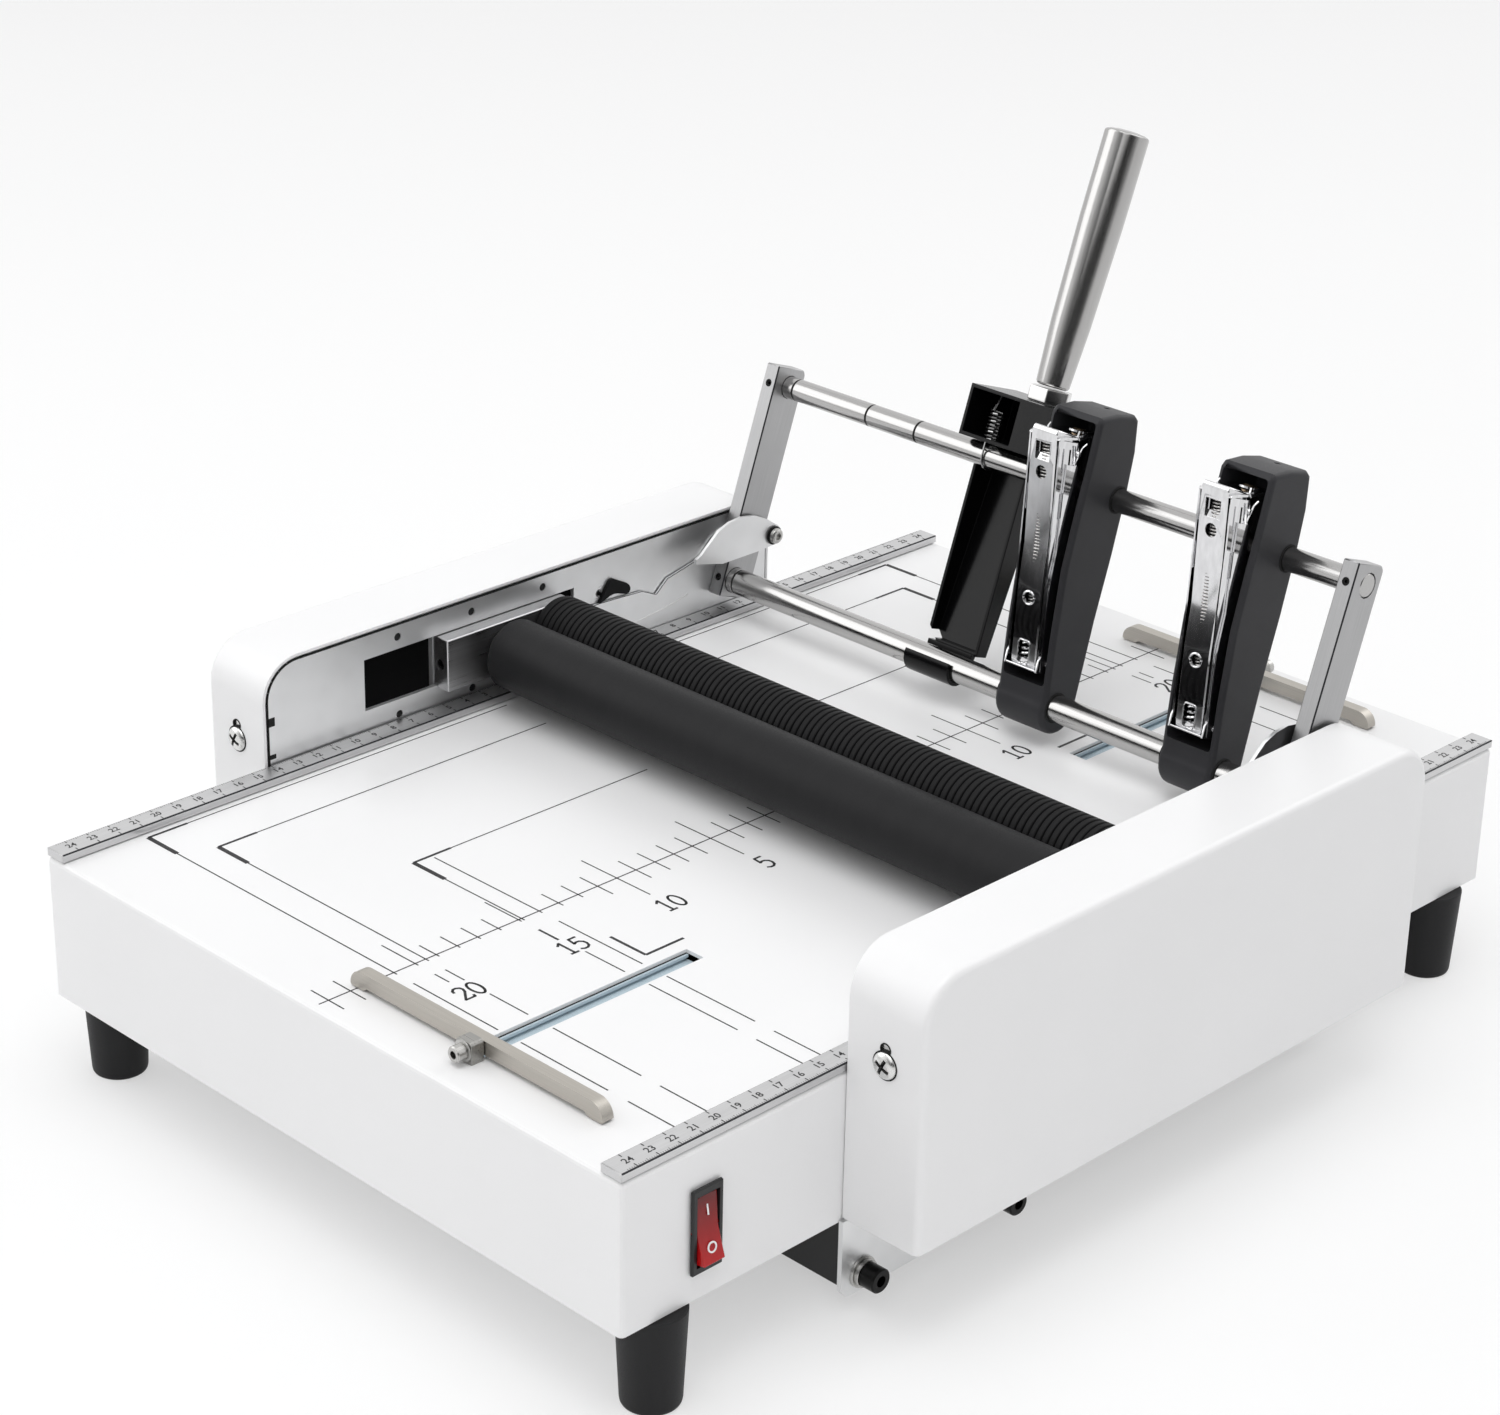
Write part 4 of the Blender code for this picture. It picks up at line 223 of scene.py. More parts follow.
@dataclass(frozen=True)
class Finish:
    """A surface finish; each kind below fills in dress()."""

    name: str
    colour: Colour
    roughness: float
    slot: str = ""

    def dress(self, graph: Graph) -> None:
        """Build the finish's nodes."""
        raise NotImplementedError

    def material(self) -> bpy.types.Material:
        """The finish's material, made once.

        Returns:
            The Blender material.
        """
        known = bpy.data.materials.get("finish_" + self.name)
        if known is not None:
            return known
        graph = Graph("finish_" + self.name)
        self.dress(graph)
        graph.material.diffuse_color = (*self.colour, 1.0)
        return graph.material


@dataclass(frozen=True)
class PowderCoat(Finish):
    """Powder-coated sheet: a fine orange peel, faint clouds and a soft gloss."""

    slot: str = "black_paint"
    peel: float = 0.0011
    depth: float = 1.2e-5
    clouds: float = 0.02
    cloud_size: float = 0.08
    speck: float = 0.0004
    spread: float = 0.05
    coat: float = 0.12
    coat_roughness: float = 0.2
    specular: float = 0.5

    def dress(self, graph: Graph) -> None:
        """Build the finish's nodes."""
        place = graph.place()
        cloud = graph.ranged(graph.noise(place, 1 / self.cloud_size, 3.0), 0.0, 1.0)
        graph.paint(cloud, tinted(self.colour, 1 - self.clouds), self.colour)
        graph.roughen(graph.noise(place, 1 / self.speck, 1.0), self.roughness, self.spread)
        graph.bumps(graph.noise(place, 1 / self.peel, 2.0), self.depth)
        graph.gloss(self.specular, self.coat, self.coat_roughness)


@dataclass(frozen=True)
class Metal(Finish):
    """Bare metal with fine lines, hand smudges and a slight change of tone."""

    slot: str = "polished_steel"
    grain: Grain = Grain.ALONG_X
    line: float = 0.00018
    line_length: float = 0.03
    depth: float = 2.5e-6
    tones: Pair = (0.90, 1.06)
    rough_shares: Pair = (0.85, 1.2)
    smudge: float = 0.05
    smudge_size: float = 0.018

    def dress(self, graph: Graph) -> None:
        """Build the finish's nodes."""
        reach = tuple(self.line_length if runs else self.line for runs in self.grain.value)
        lines = graph.noise(graph.stretched(reach), 1.0, 3.0)
        cloud = graph.noise(graph.place(), 1 / self.smudge_size, 3.0)
        graph.paint(graph.ranged(lines, 0.0, 1.0), *(tinted(self.colour, tone) for tone in self.tones))
        graph.feed("Metallic", 1.0)
        rough = graph.ranged(lines, *(self.roughness * share for share in self.rough_shares))
        smudged = graph.ranged(cloud, 0.0, self.smudge, 0.45, 0.75)
        graph.feed("Roughness", graph.add("Math", {0: rough, 1: smudged}, operation="ADD").outputs[0])
        graph.bumps(lines, self.depth)


@dataclass(frozen=True)
class ZincPlate(Finish):
    """Zinc-plated sheet: pale grey patches and a dull sheen."""

    slot: str = "zinc_steel"
    patch: float = 0.009
    depth: float = 4e-6
    cloud_size: float = 0.03
    fine: float = 0.0006
    tones: Pair = (0.93, 1.03)
    metallic: float = 0.85
    spread: float = 0.06

    def dress(self, graph: Graph) -> None:
        """Build the finish's nodes."""
        place = graph.place()
        cells = graph.add("TexVoronoi", {"Vector": place, "Scale": 1 / self.patch}, feature="SMOOTH_F1")
        patches = graph.ranged(cells.outputs["Distance"], 0.0, 0.5, 0.1, 0.8)
        cloud = graph.noise(place, 1 / self.cloud_size, 3.0)
        share = graph.add("Math", {0: patches, 1: graph.ranged(cloud, 0.0, 0.5)}, operation="ADD").outputs[0]
        graph.paint(share, *(tinted(self.colour, tone) for tone in self.tones))
        graph.feed("Metallic", self.metallic)
        graph.roughen(cloud, self.roughness, self.spread)
        graph.bumps(graph.noise(place, 1 / self.fine, 2.0), self.depth)


@dataclass(frozen=True)
class Rubber(Finish):
    """Dark ground rubber with a fine grain and a breath of paper dust."""

    slot: str = "rubber"
    grain: float = 0.0004
    depth: float = 2e-5
    dust: Colour = (0.03, 0.03, 0.032)
    streak: Point = (0.006, 0.05, 0.05)
    spread: float = 0.07
    specular: float = 0.35

    def dress(self, graph: Graph) -> None:
        """Build the finish's nodes."""
        fine = graph.noise(graph.place(), 1 / self.grain, 3.0)
        streaks = graph.noise(graph.stretched(self.streak), 1.0, 4.0)
        graph.paint(graph.ranged(streaks, 0.0, 0.45, 0.42, 0.8), self.colour, self.dust)
        graph.roughen(fine, self.roughness, self.spread)
        graph.bumps(fine, self.depth)
        graph.gloss(self.specular)


@dataclass(frozen=True)
class MouldedPlastic(Finish):
    """Moulded plastic with a spark-eroded texture."""

    slot: str = "black_plastic"
    grain: float = 0.00035
    depth: float = 1.2e-5
    cloud_size: float = 0.02
    tones: Pair = (0.85, 1.25)
    spread: float = 0.06
    specular: float = 0.5

    def dress(self, graph: Graph) -> None:
        """Build the finish's nodes."""
        place = graph.place()
        fine = graph.noise(place, 1 / self.grain, 2.0)
        cloud = graph.noise(place, 1 / self.cloud_size, 2.0)
        graph.paint(cloud, *(tinted(self.colour, tone) for tone in self.tones))
        graph.roughen(fine, self.roughness, self.spread)
        graph.bumps(fine, self.depth)
        graph.gloss(self.specular)


@dataclass(frozen=True)
class RedLens(Finish):
    """The rocker's clear red plastic, with painted light: brighter at its lower end and darker at its upper
    end.
    """

    slot: str = "red_plastic"
    foot: float = 0.056
    head: float = 0.078

    def dress(self, graph: Graph) -> None:
        """Build the finish's nodes."""
        place = graph.place()
        cloud = graph.noise(place, 1 / 0.006, 2.0)
        height = graph.add("SeparateXYZ", {"Vector": place}).outputs["Z"]
        # Painted light: the red is brighter low on the rocker and darker high up, with random mottle on top.
        shade = graph.ranged(height, 0.0, 0.9, self.foot, self.head)
        worn = graph.add("Math", {0: cloud, 1: 0.15}, operation="MULTIPLY").outputs[0]
        shade_and_mottle = graph.add("Math", {0: shade, 1: worn}, operation="ADD").outputs[0]
        graph.paint(shade_and_mottle, self.colour, tinted(self.colour, 0.28))
        graph.feed("Roughness", graph.ranged(cloud, self.roughness, self.roughness + 0.08))
        graph.gloss(0.3, 0.15, 0.05)
        graph.bumps(graph.noise(place, 1 / 0.002, 1.0), 1e-5)


@dataclass(frozen=True)
class Ink(Finish):
    """Screen-printed ink: matt, a little uneven. The same finish, near black, also serves as painted shadow in
    gaps.
    """

    slot: str = "black_paint"

    def dress(self, graph: Graph) -> None:
        """Build the finish's nodes."""
        cloud = graph.noise(graph.place(), 1 / 0.0015, 2.0)
        graph.paint(cloud, self.colour, tinted(self.colour, 1.6))
        graph.roughen(cloud, self.roughness, 0.1)


WHITE_COAT = PowderCoat("white_coat", (0.86, 0.86, 0.865), 0.36, "white_paint")
TRAY_COAT = PowderCoat("tray_coat", (0.014, 0.014, 0.015), 0.45, clouds=0.2, coat=0.0, specular=0.35)
# Painted shade: the near-black inner faces of the side covers.
COVER_INSIDE_SHADE = PowderCoat("inner_coat", (0.012, 0.012, 0.013), 0.7, clouds=0.2, coat=0.0, specular=0.15)
GLOSS_BLACK = PowderCoat("gloss_black", (0.003, 0.003, 0.0034), 0.20, peel=0.004, depth=6e-6, clouds=0.2,
                         coat=0.0, specular=0.20)
SATIN_BLACK = MouldedPlastic("satin_black", (0.032, 0.032, 0.035), 0.42, specular=0.18)
SWITCH_BLACK = MouldedPlastic("switch_black", (0.01, 0.01, 0.011), 0.34, depth=6e-6, specular=0.4)
LATCH_BLACK = MouldedPlastic("latch_black", (0.004, 0.004, 0.0045), 0.4, specular=0.12)
ROLLER_RUBBER = Rubber("roller_rubber", (0.015, 0.015, 0.016), 0.48, grain=0.0006, depth=8e-6,
                       dust=(0.019, 0.019, 0.02), specular=0.12)
RIB_RUBBER = Rubber("rib_rubber", (0.01, 0.01, 0.0105), 0.55, dust=(0.013, 0.013, 0.014), specular=0.12)
FOOT_RUBBER = Rubber("foot_rubber", (0.012, 0.012, 0.013), 0.55, dust=(0.02, 0.02, 0.02), specular=0.25)
ROD_STEEL = Metal("rod_steel", (0.46, 0.455, 0.45), 0.17, grain=Grain.ALONG_X, depth=1e-6, smudge=0.03)
HANDLE_STEEL = Metal("handle_steel", (0.45, 0.445, 0.44), 0.17, grain=Grain.ALONG_Z, depth=1e-6,
                     smudge=0.03)
NUT_STEEL = Metal("nut_steel", (0.58, 0.575, 0.57), 0.16, grain=Grain.ALONG_X)
ARM_ALUMINIUM = Metal("arm_aluminium", (0.42, 0.42, 0.425), 0.36, "satin_aluminium", Grain.ALONG_Z, line=0.0003,
                      depth=1.5e-6)
# Painted shade: near-black metal for slanted edges of the ruler, the guide plates and the arms.
EDGE_SHADE = Metal("edge_shade", (0.055, 0.055, 0.06), 0.5, grain=Grain.ALONG_Z)
BLOCK_ALUMINIUM = Metal("block_aluminium", (0.58, 0.58, 0.59), 0.30, "satin_aluminium", Grain.ALONG_Y,
                        line=0.0003)
RULER_STEEL = Metal("ruler_steel", (0.62, 0.62, 0.625), 0.36, "satin_aluminium", Grain.ALONG_Y, line=0.00025,
                    depth=1.5e-6)
STOP_STEEL = Metal("stop_steel", (0.48, 0.455, 0.415), 0.38, "stop_steel", Grain.ALONG_X, line=0.0003)
CLAMP_STEEL = Metal("clamp_steel", (0.36, 0.355, 0.34), 0.30, grain=Grain.ALONG_X, line=0.0006, depth=1e-6)
PALE_SCREW = Metal("pale_screw", (0.72, 0.72, 0.71), 0.24, grain=Grain.ALONG_X, depth=1e-6)
# Painted highlight: the pale wire along the guide plate's bend.
CREASE_HIGHLIGHT = Metal("crease_zinc", (0.88, 0.88, 0.88), 0.34, "zinc_steel", Grain.ALONG_Y)
CHROME = Metal("chrome", (0.70, 0.70, 0.71), 0.045, "chrome", Grain.ALONG_Z, line=0.002, depth=1e-7,
               smudge=0.015)
SPRING_STEEL = Metal("spring_steel", (0.42, 0.41, 0.40), 0.25, grain=Grain.ROUND_X)
BLACK_WIRE = Metal("black_wire", (0.36, 0.36, 0.36), 0.22, grain=Grain.ROUND_X)
BRASS_WASHER = Metal("brass_washer", (0.36, 0.27, 0.18), 0.25, grain=Grain.ROUND_X)
SCREW_STEEL = Metal("screw_steel", (0.50, 0.495, 0.48), 0.27, grain=Grain.ROUND_X)
BLACK_SCREW = Metal("black_screw", (0.022, 0.022, 0.022), 0.36, "black_paint", Grain.ROUND_X)
BLADE_STEEL = Metal("blade_steel", (0.58, 0.58, 0.58), 0.2, grain=Grain.ALONG_X)
RAIL_COAT = PowderCoat("rail_coat", (0.52, 0.62, 0.68), 0.30, "zinc_steel", peel=0.0008, clouds=0.05)
PLATE_ZINC = ZincPlate("plate_zinc", (0.82, 0.825, 0.83), 0.38)
# Painted shade: a darker copy of the plate zinc, for the ear plates' outer faces.
SHADED_ZINC = ZincPlate("dark_zinc", (0.17, 0.17, 0.175), 0.40)
GEAR_STEEL = Metal("gear_steel", (0.50, 0.50, 0.49), 0.3, grain=Grain.ROUND_X)
MOTOR_CAN = ZincPlate("motor_can", (0.56, 0.56, 0.56), 0.34)
ROCKER_RED = RedLens("rocker_red", (0.46, 0.004, 0.006), 0.14)
BLACK_INK = Ink("black_ink", (0.012, 0.012, 0.013), 0.6)
WHITE_INK = Ink("white_ink", (0.80, 0.80, 0.80), 0.5, "white_paint")
# Painted shadow: near-black strips, rings and discs laid in gaps, grooves, slits and holes.
SHADOW_GAP = Ink("shadow_gap", (0.005, 0.005, 0.005), 0.9)


@dataclass(frozen=True)
class RodSeat:
    """A rod of the swing frame: its radius, and where it lies in the frame's own axes."""

    radius: float
    behind: float
    along: float


LOWER_ROD = RodSeat(0.00575, 0.0, 0.0)
TOP_ROD = RodSeat(0.005, 0.0031, 0.0895)


@dataclass(frozen=True)
class SwingAxes:
    """The swing frame's own axes: along the arms (local Z), and behind them (local Y)."""

    pivot_y: float = 0.1145
    pivot_z: float = 0.1159
    lean: float = math.radians(19.3)

    def matrix(self) -> Matrix:
        """From the frame's own axes to the machine's."""
        return Matrix.Translation((0.0, self.pivot_y, self.pivot_z)) @ Matrix.Rotation(-self.lean, 4, "X")


SWING = SwingAxes()


def evaluated(piece: bpy.types.Object) -> bpy.types.Mesh:
    """A piece's mesh with its modifiers applied."""
    graph = bpy.context.evaluated_depsgraph_get()
    graph.update()
    return bpy.data.meshes.new_from_object(piece.evaluated_get(graph))


def put(name: str, data: bpy.types.ID) -> bpy.types.Object:
    """Make an object and put it in the scene."""
    made = bpy.data.objects.new(name, data)
    bpy.context.scene.collection.objects.link(made)
    return made


def turned_to(axis: Axis, centre: Point) -> Matrix:
    """From a lathe's own Z axis to one of the machine's axes through a centre."""
    turn = {Axis.X: Matrix.Rotation(math.pi / 2, 4, "Y"), Axis.Y: Matrix.Rotation(-math.pi / 2, 4, "X"),
            Axis.Z: Matrix.Identity(4)}[axis]
    return Matrix.Translation(centre) @ turn


def arc(centre: Pair, radius: float, start: float, end: float, steps: int) -> list[Pair]:
    """Points on an arc.

    Args:
        centre: the arc's centre.
        radius: its radius.
        start: the first angle in degrees.
        end: the last angle in degrees.
        steps: how many stretches it has.

    Returns:
        The points, both ends included.
    """
    angles = [math.radians(start + (end - start) * step / steps) for step in range(steps + 1)]
    return [(centre[0] + radius * math.cos(angle), centre[1] + radius * math.sin(angle)) for angle in angles]


def plug(radius: float, start: float, end: float) -> list[Pair]:
    """The half section of a plain round bar between two places on its axis."""
    return [(0.0, start), (radius, start), (radius, end), (0.0, end)]


def band(inner: float, outer: float, start: float, end: float) -> list[Pair]:
    """The half section of a ring with square corners, closed on itself."""
    return [(inner, start), (inner, end), (outer, end), (outer, start), (inner, start)]


def chamfered(radius: float, low: float, high: float, edge: float, between: Sequence[Pair] = ()) -> list[Pair]:
    """The half section of a round bar with chamfered ends, from its high end to its low one.

    Args:
        radius: the bar's radius.
        low: the low end's place on the axis.
        high: the high end's place on the axis.
        edge: how wide the chamfers are.
        between: further points between the two chamfers.

    Returns:
        The half section.
    """
    return [(0.0, high), (radius - edge, high), (radius, high - edge), *between, (radius, low + edge),
            (radius - edge, low), (0.0, low)]


def facing(profile: Iterable[Pair], way: float) -> list[Pair]:
    """A half section turned to run the other way along its axis where way is below nought."""
    return [(radius, way * along) for radius, along in profile]


class Form:
    """The mesh of one piece while it is being made: shapes are added, cut and rounded, then placed."""

    POINT_RADIUS = 1e-7
    WELD = 2e-6
    FLAT_ANGLE = 0.4
    CAP_SHARE = 1.38
    FACE_WEIGHT = 80

    def __init__(self, leaning: bool = False) -> None:
        """Start an empty form.

        Args:
            leaning: True if its coordinates are the swing frame's own.
        """
        self.mesh = bmesh.new()
        self.leaning = leaning

    def _grow(self, add: Callable[[], None], matrix: Matrix = Matrix.Identity(4)) -> Form:
        """Run a step that adds corners, and move what it added by a matrix."""
        before = len(self.mesh.verts)
        add()
        self.mesh.verts.ensure_lookup_table()
        fresh = self.mesh.verts[before:]
        bmesh.ops.transform(self.mesh, matrix=matrix, verts=fresh)
        return self

    def lathe(self, profile: Sequence[Pair], axis: Axis, centre: Point, steps: int = 64) -> Form:
        """Spin a profile of (radius, place along the axis) round an axis.

        Args:
            profile: the half section, from one end to the other.
            axis: the axis that it turns about.
            centre: a point on that axis.
            steps: how many flats it has round it.

        Returns:
            This form.
        """
        def spin() -> None:
            rings = []
            for radius, along in profile:
                if radius < self.POINT_RADIUS:
                    rings.append([self.mesh.verts.new((0.0, 0.0, along))])
                    continue
                rings.append([self.mesh.verts.new((radius * math.cos(math.tau * step / steps),
                                                   radius * math.sin(math.tau * step / steps), along))
                              for step in range(steps)])
            for lower, upper in zip(rings, rings[1:]):
                for step in range(steps):
                    following = (step + 1) % steps
                    corners = [lower[step % len(lower)], lower[following % len(lower)],
                               upper[following % len(upper)], upper[step % len(upper)]]
                    corners = list(dict.fromkeys(corners))
                    if len(corners) > 2:
                        self.mesh.faces.new(corners)

        return self._grow(spin, turned_to(axis, centre))

    def extrude(self, outline: Sequence[Pair], start: float, end: float, axis: Axis) -> Form:
        """Extrude an outline along an axis; its pairs are the two other axes in order."""
        others = [index for index in range(3) if index != axis.value]

        def push() -> None:
            rings = []
            for along in (start, end):
                ring = []
                for first, second in outline:
                    corner = [0.0, 0.0, 0.0]
                    corner[others[0]] = first
                    corner[others[1]] = second
                    corner[axis.value] = along
                    ring.append(self.mesh.verts.new(corner))
                rings.append(ring)
            self.mesh.faces.new(rings[0])
            self.mesh.faces.new(list(reversed(rings[1])))
            count = len(outline)
            for index in range(count):
                following = (index + 1) % count
                self.mesh.faces.new([rings[0][index], rings[1][index],
                                     rings[1][following], rings[0][following]])

        return self._grow(push)

    def box(self, low: Point, high: Point) -> Form:
        """Add a block between two corners."""
        outline = [(low[0], low[1]), (high[0], low[1]), (high[0], high[1]), (low[0], high[1])]
        return self.extrude(outline, low[2], high[2], Axis.Z)

    def pipe(self, points: Sequence[Point], radius: float, sides: int = 10) -> Form:
        """Add a round wire along a path.

        Args:
            points: the path's points.
            radius: the wire's radius.
            sides: how many flats it has round it.

        Returns:
            This form.
        """
        def sweep() -> None:
            path = [Vector(point) for point in points]
            normal = (path[1] - path[0]).orthogonal().normalized()
            rings = []
            for index, here in enumerate(path):
                ahead = path[min(index + 1, len(path) - 1)] - path[max(index - 1, 0)]
                ahead.normalize()
                normal = (normal - ahead * normal.dot(ahead)).normalized()
                across = ahead.cross(normal)
                turns = [math.tau * side / sides for side in range(sides)]
                ways = [normal * math.cos(turn) + across * math.sin(turn) for turn in turns]
                rings.append([self.mesh.verts.new(here + way * radius) for way in ways])
            self.mesh.faces.new(list(reversed(rings[0])))
            self.mesh.faces.new(rings[-1])
            for lower, upper in zip(rings, rings[1:]):
                for side in range(sides):
                    following = (side + 1) % sides
                    self.mesh.faces.new([lower[side], lower[following], upper[following], upper[side]])

        return self._grow(sweep)

    def node(self, name: str) -> Form:
        """Add a copy of a CAD node's shape, with its flat faces made whole again.

        Args:
            name: the node's name.

        Returns:
            This form.
        """
        other = Form()
        other.mesh.from_mesh(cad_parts[name].data)
        verts, edges = other.mesh.verts, other.mesh.edges
        bmesh.ops.remove_doubles(other.mesh, verts=verts, dist=self.WELD)
        flat = math.radians(self.FLAT_ANGLE)
        bmesh.ops.dissolve_limit(other.mesh, angle_limit=flat, verts=verts, edges=edges)
        if self.leaning:
            other.moved(SWING.matrix().inverted())
        return self.join(other)

    def words(self, text: str, height: float, centre: Point, facing: Matrix, thickness: float = 4e-5,
              bold: float = 0.0) -> Form:
        """Add a printed number or sign as thin raised ink.

        Args:
            text: what is printed.
            height: the height of its figures.
            centre: the middle of the print.
            facing: turns the print from lying flat, reading along +X, to its real way.
            thickness: how thick the ink is.
            bold: how far its strokes are widened.

        Returns:
            This form.
        """
        def write() -> None:
            line = bpy.data.curves.new("line", "FONT")
            line.body = text
            line.align_x = "CENTER"
            line.align_y = "CENTER"
            line.size = height * self.CAP_SHARE
            line.extrude = thickness
            line.offset = bold
            line.resolution_u = 3
            holder = put("line", line)
            made = evaluated(holder)
            bpy.data.objects.remove(holder, do_unlink=True)
            self.mesh.from_mesh(made)
            bpy.data.meshes.remove(made)
            bpy.data.curves.remove(line)

        return self._grow(write, Matrix.Translation(centre) @ facing)

    def used_up(self, name: str) -> bpy.types.Mesh:
        """Turn the form into a mesh, which leaves nothing of the form."""
        mesh = bpy.data.meshes.new(name)
        self.mesh.to_mesh(mesh)
        self.mesh.free()
        return mesh

    def join(self, other: Form) -> Form:
        """Take in the faces of another form."""
        passing = other.used_up("passing")
        self.mesh.from_mesh(passing)
        bpy.data.meshes.remove(passing)
        return self

    def moved(self, matrix: Matrix) -> Form:
        """Move the whole form."""
        bmesh.ops.transform(self.mesh, matrix=matrix, verts=self.mesh.verts)
        return self

    def _shaped(self, add: Callable[[bpy.types.Object], None]) -> Form:
        """Pass the form through modifiers that a step adds."""
        bmesh.ops.recalc_face_normals(self.mesh, faces=self.mesh.faces)
        rough = bpy.data.meshes.new("rough")
        self.mesh.to_mesh(rough)
        holder = put("holder", rough)
        add(holder)
        made = evaluated(holder)
        self.mesh.clear()
        self.mesh.from_mesh(made)
        bpy.data.objects.remove(holder, do_unlink=True)
        for spent in (rough, made):
            bpy.data.meshes.remove(spent)
        return self

    def cut(self, tool: Form) -> Form:
        """Take another form's volume away.

        Args:
            tool: the form that cuts; it is used up.

        Returns:
            This form.
        """
        bmesh.ops.recalc_face_normals(tool.mesh, faces=tool.mesh.faces)
        blade = tool.used_up("cutter")
        cutter = put("cutter", blade)

        def add(holder: bpy.types.Object) -> None:
            step = holder.modifiers.new("cut", "BOOLEAN")
            step.solver = "EXACT"
            step.operation = "DIFFERENCE"
            step.use_self = True
            step.object = cutter

        self._shaped(add)
        bpy.data.objects.remove(cutter, do_unlink=True)
        bpy.data.meshes.remove(blade)
        return self

    def rounded(self, width: float, segments: int = 2, angle: float = 38.0) -> Form:
        """Round every edge that is sharper than an angle in degrees."""
        def add(holder: bpy.types.Object) -> None:
            step = holder.modifiers.new("round", "BEVEL")
            step.width = width
            step.segments = segments
            step.limit_method = "ANGLE"
            step.angle_limit = math.radians(angle)
            step.use_clamp_overlap = True
            step.miter_outer = "MITER_ARC"

        return self._shaped(add)

    def place(self, name: str, finish: Finish, body: str, stands_for: Iterable[str] = (),
              slot: str | None = None, sharp: float = 32.0) -> bpy.types.Object:
        """Turn the form into a finished piece.

        Args:
            name: the piece's name.
            finish: its surface finish.
            body: the CAD body that it moves with.
            stands_for: the CAD nodes that it is shown instead of.
            slot: not used.
            sharp: edges over this many degrees stay sharp.

        Returns:
            The piece.
        """
        bmesh.ops.recalc_face_normals(self.mesh, faces=self.mesh.faces)
        mesh = self.used_up(name)
        mesh.shade_smooth()
        mesh.set_sharp_from_angle(angle=math.radians(sharp))
        piece = put(name, mesh)
        flat = piece.modifiers.new("even_light", "WEIGHTED_NORMAL")
        flat.keep_sharp = True
        flat.weight = self.FACE_WEIGHT
        mesh.materials.clear()
        mesh.materials.append(finish.material())
        if self.leaning:
            piece.matrix_world = SWING.matrix()
        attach(piece, body)
        nodes = list(stands_for)
        if nodes:
            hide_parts(*nodes)
        log.info("%s rides on %s", name, body)
        return piece


def slanted(share: float) -> bool:
    """Tell from one part of a face's normal if the face is a slanted edge, neither square on nor flat along."""
    return 0.3 < share < 0.95


PLAIN_NODES: dict[Finish, tuple[str, ...]] = {
    WHITE_COAT: ("deck_shell",),
    RAIL_COAT: ("front_slot_rail", "back_slot_rail"),
    PLATE_ZINC: ("carriage_bar_left", "carriage_bar_right"),
    GEAR_STEEL: ("smooth_roller_gear", "ribbed_roller_gear", "drive_pinion", "crank_left", "crank_right"),
    MOTOR_CAN: ("drive_motor", "blade_motor"),
    BLACK_WIRE: ("bracket_spring",),
    BLADE_STEEL: ("fold_blade",),
    ROD_STEEL: ("lift_shaft",),
}


def coat_nodes() -> None:
    """Give each CAD node that stays in view its finish."""
    for finish, names in PLAIN_NODES.items():
        for name in names:
            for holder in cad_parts[name].material_slots:
                holder.material = finish.material()


def inner_finish(piece: bpy.types.Object, finish: Finish, chosen: Callable[[Vector, Vector], bool]) -> None:
    """Give some of a piece's faces a second finish.

    Args:
        piece: the piece.
        finish: the second finish.
        chosen: tells from a face's middle and normal, in the piece's own axes, if it gets it.
    """
    piece.data.materials.append(finish.material())
    for face in piece.data.polygons:
        if chosen(face.center, face.normal):
            face.material_index = 1


def refine(name: str, finish: Finish, body: str, edge: float = 0.0003, leaning: bool = False,
           cutter: Form | None = None, segments: int = 2) -> bpy.types.Object:
    """Stand a piece with rounded edges, and its small holes, for a CAD node.

    Args:
        name: the CAD node's name.
        finish: its finish.
        body: the body that it rides on.
        edge: the radius of its edges.
        leaning: True for a piece of the swing frame.
        cutter: what is cut out of it.
        segments: steps in each rounded edge.

    Returns:
        The piece.
    """
    form = Form(leaning).node(name)
    if cutter is not None:
        form.cut(cutter)
    if edge > 0:
        form.rounded(edge, segments)
    return form.place(name + "_dressed", finish, body, [name])


FIGURE_LINES: dict[str, tuple[Pairs, ...]] = {
    "0": (tuple((0.28 + 0.23 * math.sin(turn * math.tau / 20), 0.5 + 0.48 * math.cos(turn * math.tau / 20))
                for turn in range(21)),),
    "1": (((0.12, 0.82), (0.30, 0.99), (0.30, 0.03)), ((0.12, 0.02), (0.48, 0.02))),
    "2": (((0.06, 0.74), (0.09, 0.87), (0.20, 0.97), (0.33, 0.98), (0.46, 0.90), (0.50, 0.75), (0.44, 0.57),
           (0.27, 0.34), (0.05, 0.04), (0.50, 0.04), (0.53, 0.16)),),
    "5": (((0.49, 0.97), (0.15, 0.97), (0.10, 0.55), (0.23, 0.62), (0.37, 0.60), (0.49, 0.48), (0.52, 0.31),
           (0.46, 0.12), (0.32, 0.02), (0.17, 0.02), (0.05, 0.10)),),
}


